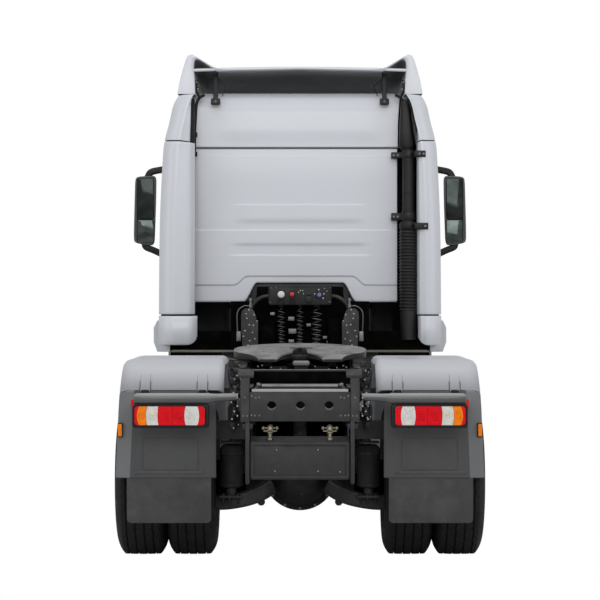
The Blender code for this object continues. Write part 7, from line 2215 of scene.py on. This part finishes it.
def area_lamp(name, place, aim, size, power, colour=(1, 1, 1)):
    """A soft rectangular lamp at a place, turned towards what it lights."""
    data = bpy.data.lights.new(name, "AREA")
    data.shape = "RECTANGLE"
    data.size, data.size_y = size
    data.energy = power
    data.color = colour
    lamp = bpy.data.objects.new(name, data)
    lamp.location = place
    direction = np.array(aim, float) - np.array(place, float)
    from_z = direction / np.linalg.norm(direction)
    lamp.rotation_euler = (math.acos(-from_z[2]), 0.0, math.atan2(from_z[1], from_z[0]) - math.pi / 2)
    bpy.context.scene.collection.objects.link(lamp)
    return lamp


def white_to_camera(tree, shaded):
    """Camera and transmission rays see plain white; the others see the shaded surface."""
    path = tree.nodes.new("ShaderNodeLightPath")
    white = tree.nodes.new("ShaderNodeEmission")
    either = tree.nodes.new("ShaderNodeMath")
    either.operation = "MAXIMUM"
    tree.links.new(path.outputs["Is Camera Ray"], either.inputs[0])
    tree.links.new(path.outputs["Is Transmission Ray"], either.inputs[1])
    mix = tree.nodes.new("ShaderNodeMixShader")
    tree.links.new(either.outputs[0], mix.inputs[0])
    tree.links.new(shaded, mix.inputs[1])
    tree.links.new(white.outputs[0], mix.inputs[2])
    return mix.outputs[0]


def make_stage(values):
    """White surroundings, a white ground that takes the shadow, and large soft lamps."""
    scene = bpy.context.scene
    scene.view_settings.view_transform = "Standard"
    world = bpy.data.worlds.new("Studio")
    world.use_nodes = True
    scene.world = world
    tree = world.node_tree
    sky = tree.nodes["Background"]
    sky.inputs["Color"].default_value = (1.0, 1.0, 1.0, 1.0)
    sky.inputs["Strength"].default_value = values.sky_strength
    tree.links.new(white_to_camera(tree, sky.outputs[0]), tree.nodes["World Output"].inputs["Surface"])
    ground = bpy.data.meshes.new("Ground")
    ground.from_pydata([(-60, -40, 0), (60, -40, 0), (60, 60, 0), (-60, 60, 0)], [], [(0, 1, 2, 3)])
    floor = bpy.data.objects.new("Ground", ground)
    scene.collection.objects.link(floor)
    surface = bpy.data.materials.new("Ground")
    surface.use_nodes = True
    tree = surface.node_tree
    shader = tree.nodes["Principled BSDF"]
    shader.inputs["Base Color"].default_value = (0.6, 0.6, 0.6, 1.0)
    shader.inputs["Roughness"].default_value = 0.9
    tree.links.new(white_to_camera(tree, shader.outputs[0]), tree.nodes["Material Output"].inputs["Surface"])
    ground.materials.append(surface)
    area_lamp("Lamp top", (0.0, -3.0, 9.0), (0.0, 0.0, 1.5), (9.0, 9.0), values.top_power)
    area_lamp("Lamp behind", (0.0, -15.0, 6.5), (0.0, 0.0, 2.2), (12.0, 6.0), values.back_power)
    area_lamp("Lamp left", (-10.0, -6.0, 4.0), (0.0, 0.0, 1.6), (6.0, 6.0), values.side_power)
    area_lamp("Lamp right", (10.0, -6.0, 4.0), (0.0, 0.0, 1.6), (6.0, 6.0), values.side_power)


# Add-on


class TractorSettings(bpy.types.PropertyGroup):
    """Sizes of the studio and of the camera."""

    camera_lens: bpy.props.FloatProperty(
        name="Lens", description="Focal length", default=126.0, unit="CAMERA"
    )
    camera_distance: bpy.props.FloatProperty(
        name="Camera distance", description="From the rear axle to the camera", default=14.5, unit="LENGTH"
    )
    camera_height: bpy.props.FloatProperty(
        name="Camera height", description="Height over the ground", default=1.75, unit="LENGTH"
    )
    sky_strength: bpy.props.FloatProperty(
        name="Sky", description="Strength of the white surroundings", default=0.62
    )
    top_power: bpy.props.FloatProperty(
        name="Top lamp", description="Power overhead", default=215.0, unit="POWER"
    )
    back_power: bpy.props.FloatProperty(
        name="Rear lamp", description="Power behind the camera", default=580.0, unit="POWER"
    )
    side_power: bpy.props.FloatProperty(
        name="Side lamps", description="Power at each side", default=120.0, unit="POWER"
    )


class TRACTOR_OT_camera(bpy.types.Operator):
    """Make the camera behind the vehicle"""

    bl_idname = "tractor.camera"
    bl_label = "Camera"

    def execute(self, context):
        make_camera(context.scene.tractor)
        return {"FINISHED"}


class TRACTOR_OT_carried(bpy.types.Operator):
    """Finish the pieces that keep the model's shape"""

    bl_idname = "tractor.carried"
    bl_label = "Carried pieces"

    def execute(self, context):
        make_carried()
        return {"FINISHED"}


class TRACTOR_OT_guards(bpy.types.Operator):
    """Make the mudguards, flaps and side markers"""

    bl_idname = "tractor.guards"
    bl_label = "Mudguards"

    def execute(self, context):
        make_guards()
        return {"FINISHED"}


class TRACTOR_OT_lamps(bpy.types.Operator):
    """Make the rear lamps and their hoods"""

    bl_idname = "tractor.lamps"
    bl_label = "Rear lamps"

    def execute(self, context):
        make_lamps()
        return {"FINISHED"}


class TRACTOR_OT_shell(bpy.types.Operator):
    """Make the cab's roof, back wall, fairings, spoiler and air intake"""

    bl_idname = "tractor.shell"
    bl_label = "Cab shell"

    def execute(self, context):
        make_roof()
        make_back()
        make_fairings()
        make_spoiler()
        make_intake()
        return {"FINISHED"}


class TRACTOR_OT_wheels(bpy.types.Operator):
    """Make the tyres' tread, the wheel discs, nuts and hubs"""

    bl_idname = "tractor.wheels"
    bl_label = "Wheels"

    def execute(self, context):
        make_wheels()
        return {"FINISHED"}


class TRACTOR_OT_chassis(bpy.types.Operator):
    """Make the end beam, springs, axle housing, brackets and lines"""

    bl_idname = "tractor.chassis"
    bl_label = "Chassis"

    def execute(self, context):
        make_beam()
        make_springs()
        make_axle()
        make_clutter()
        return {"FINISHED"}


class TRACTOR_OT_coupling(bpy.types.Operator):
    """Make the coupling plate, the coupling box, its plates and the coiled lines"""

    bl_idname = "tractor.coupling"
    bl_label = "Coupling"

    def execute(self, context):
        make_plate()
        make_gantry()
        make_coils()
        return {"FINISHED"}


class TRACTOR_OT_cab(bpy.types.Operator):
    """Make the mirrors, doors' fittings, lamps, tanks' straps and the padded seats"""

    bl_idname = "tractor.cab"
    bl_label = "Cab fittings"

    def execute(self, context):
        make_mirrors()
        make_doors()
        make_front()
        make_sides()
        make_inside()
        return {"FINISHED"}


class TRACTOR_OT_stage(bpy.types.Operator):
    """Make the ground, the surroundings and the lamps"""

    bl_idname = "tractor.stage"
    bl_label = "Stage"

    def execute(self, context):
        make_stage(context.scene.tractor)
        return {"FINISHED"}


ORDER = ("camera", "coupling", "carried", "guards", "lamps", "shell", "wheels", "chassis", "cab", "stage")


class TRACTOR_PT_panel(bpy.types.Panel):
    """Buttons for each group of pieces"""

    bl_label = "Tractor unit"
    bl_space_type = "VIEW_3D"
    bl_region_type = "UI"
    bl_category = "Tractor unit"

    def draw(self, context):
        for step in ORDER:
            self.layout.operator("tractor." + step)
        for name in TractorSettings.__annotations__:
            self.layout.prop(context.scene.tractor, name)


CLASSES = (
    TractorSettings,
    TRACTOR_OT_camera,
    TRACTOR_OT_carried,
    TRACTOR_OT_guards,
    TRACTOR_OT_lamps,
    TRACTOR_OT_shell,
    TRACTOR_OT_wheels,
    TRACTOR_OT_chassis,
    TRACTOR_OT_coupling,
    TRACTOR_OT_cab,
    TRACTOR_OT_stage,
    TRACTOR_PT_panel,
)


def register():
    for kind in CLASSES:
        bpy.utils.register_class(kind)
    bpy.types.Scene.tractor = bpy.props.PointerProperty(type=TractorSettings)


def unregister():
    del bpy.types.Scene.tractor
    for kind in reversed(CLASSES):
        bpy.utils.unregister_class(kind)


def main():
    register()
    for step in ORDER:
        getattr(bpy.ops.tractor, step)()
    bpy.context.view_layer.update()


if __name__ == "__main__":
    main()
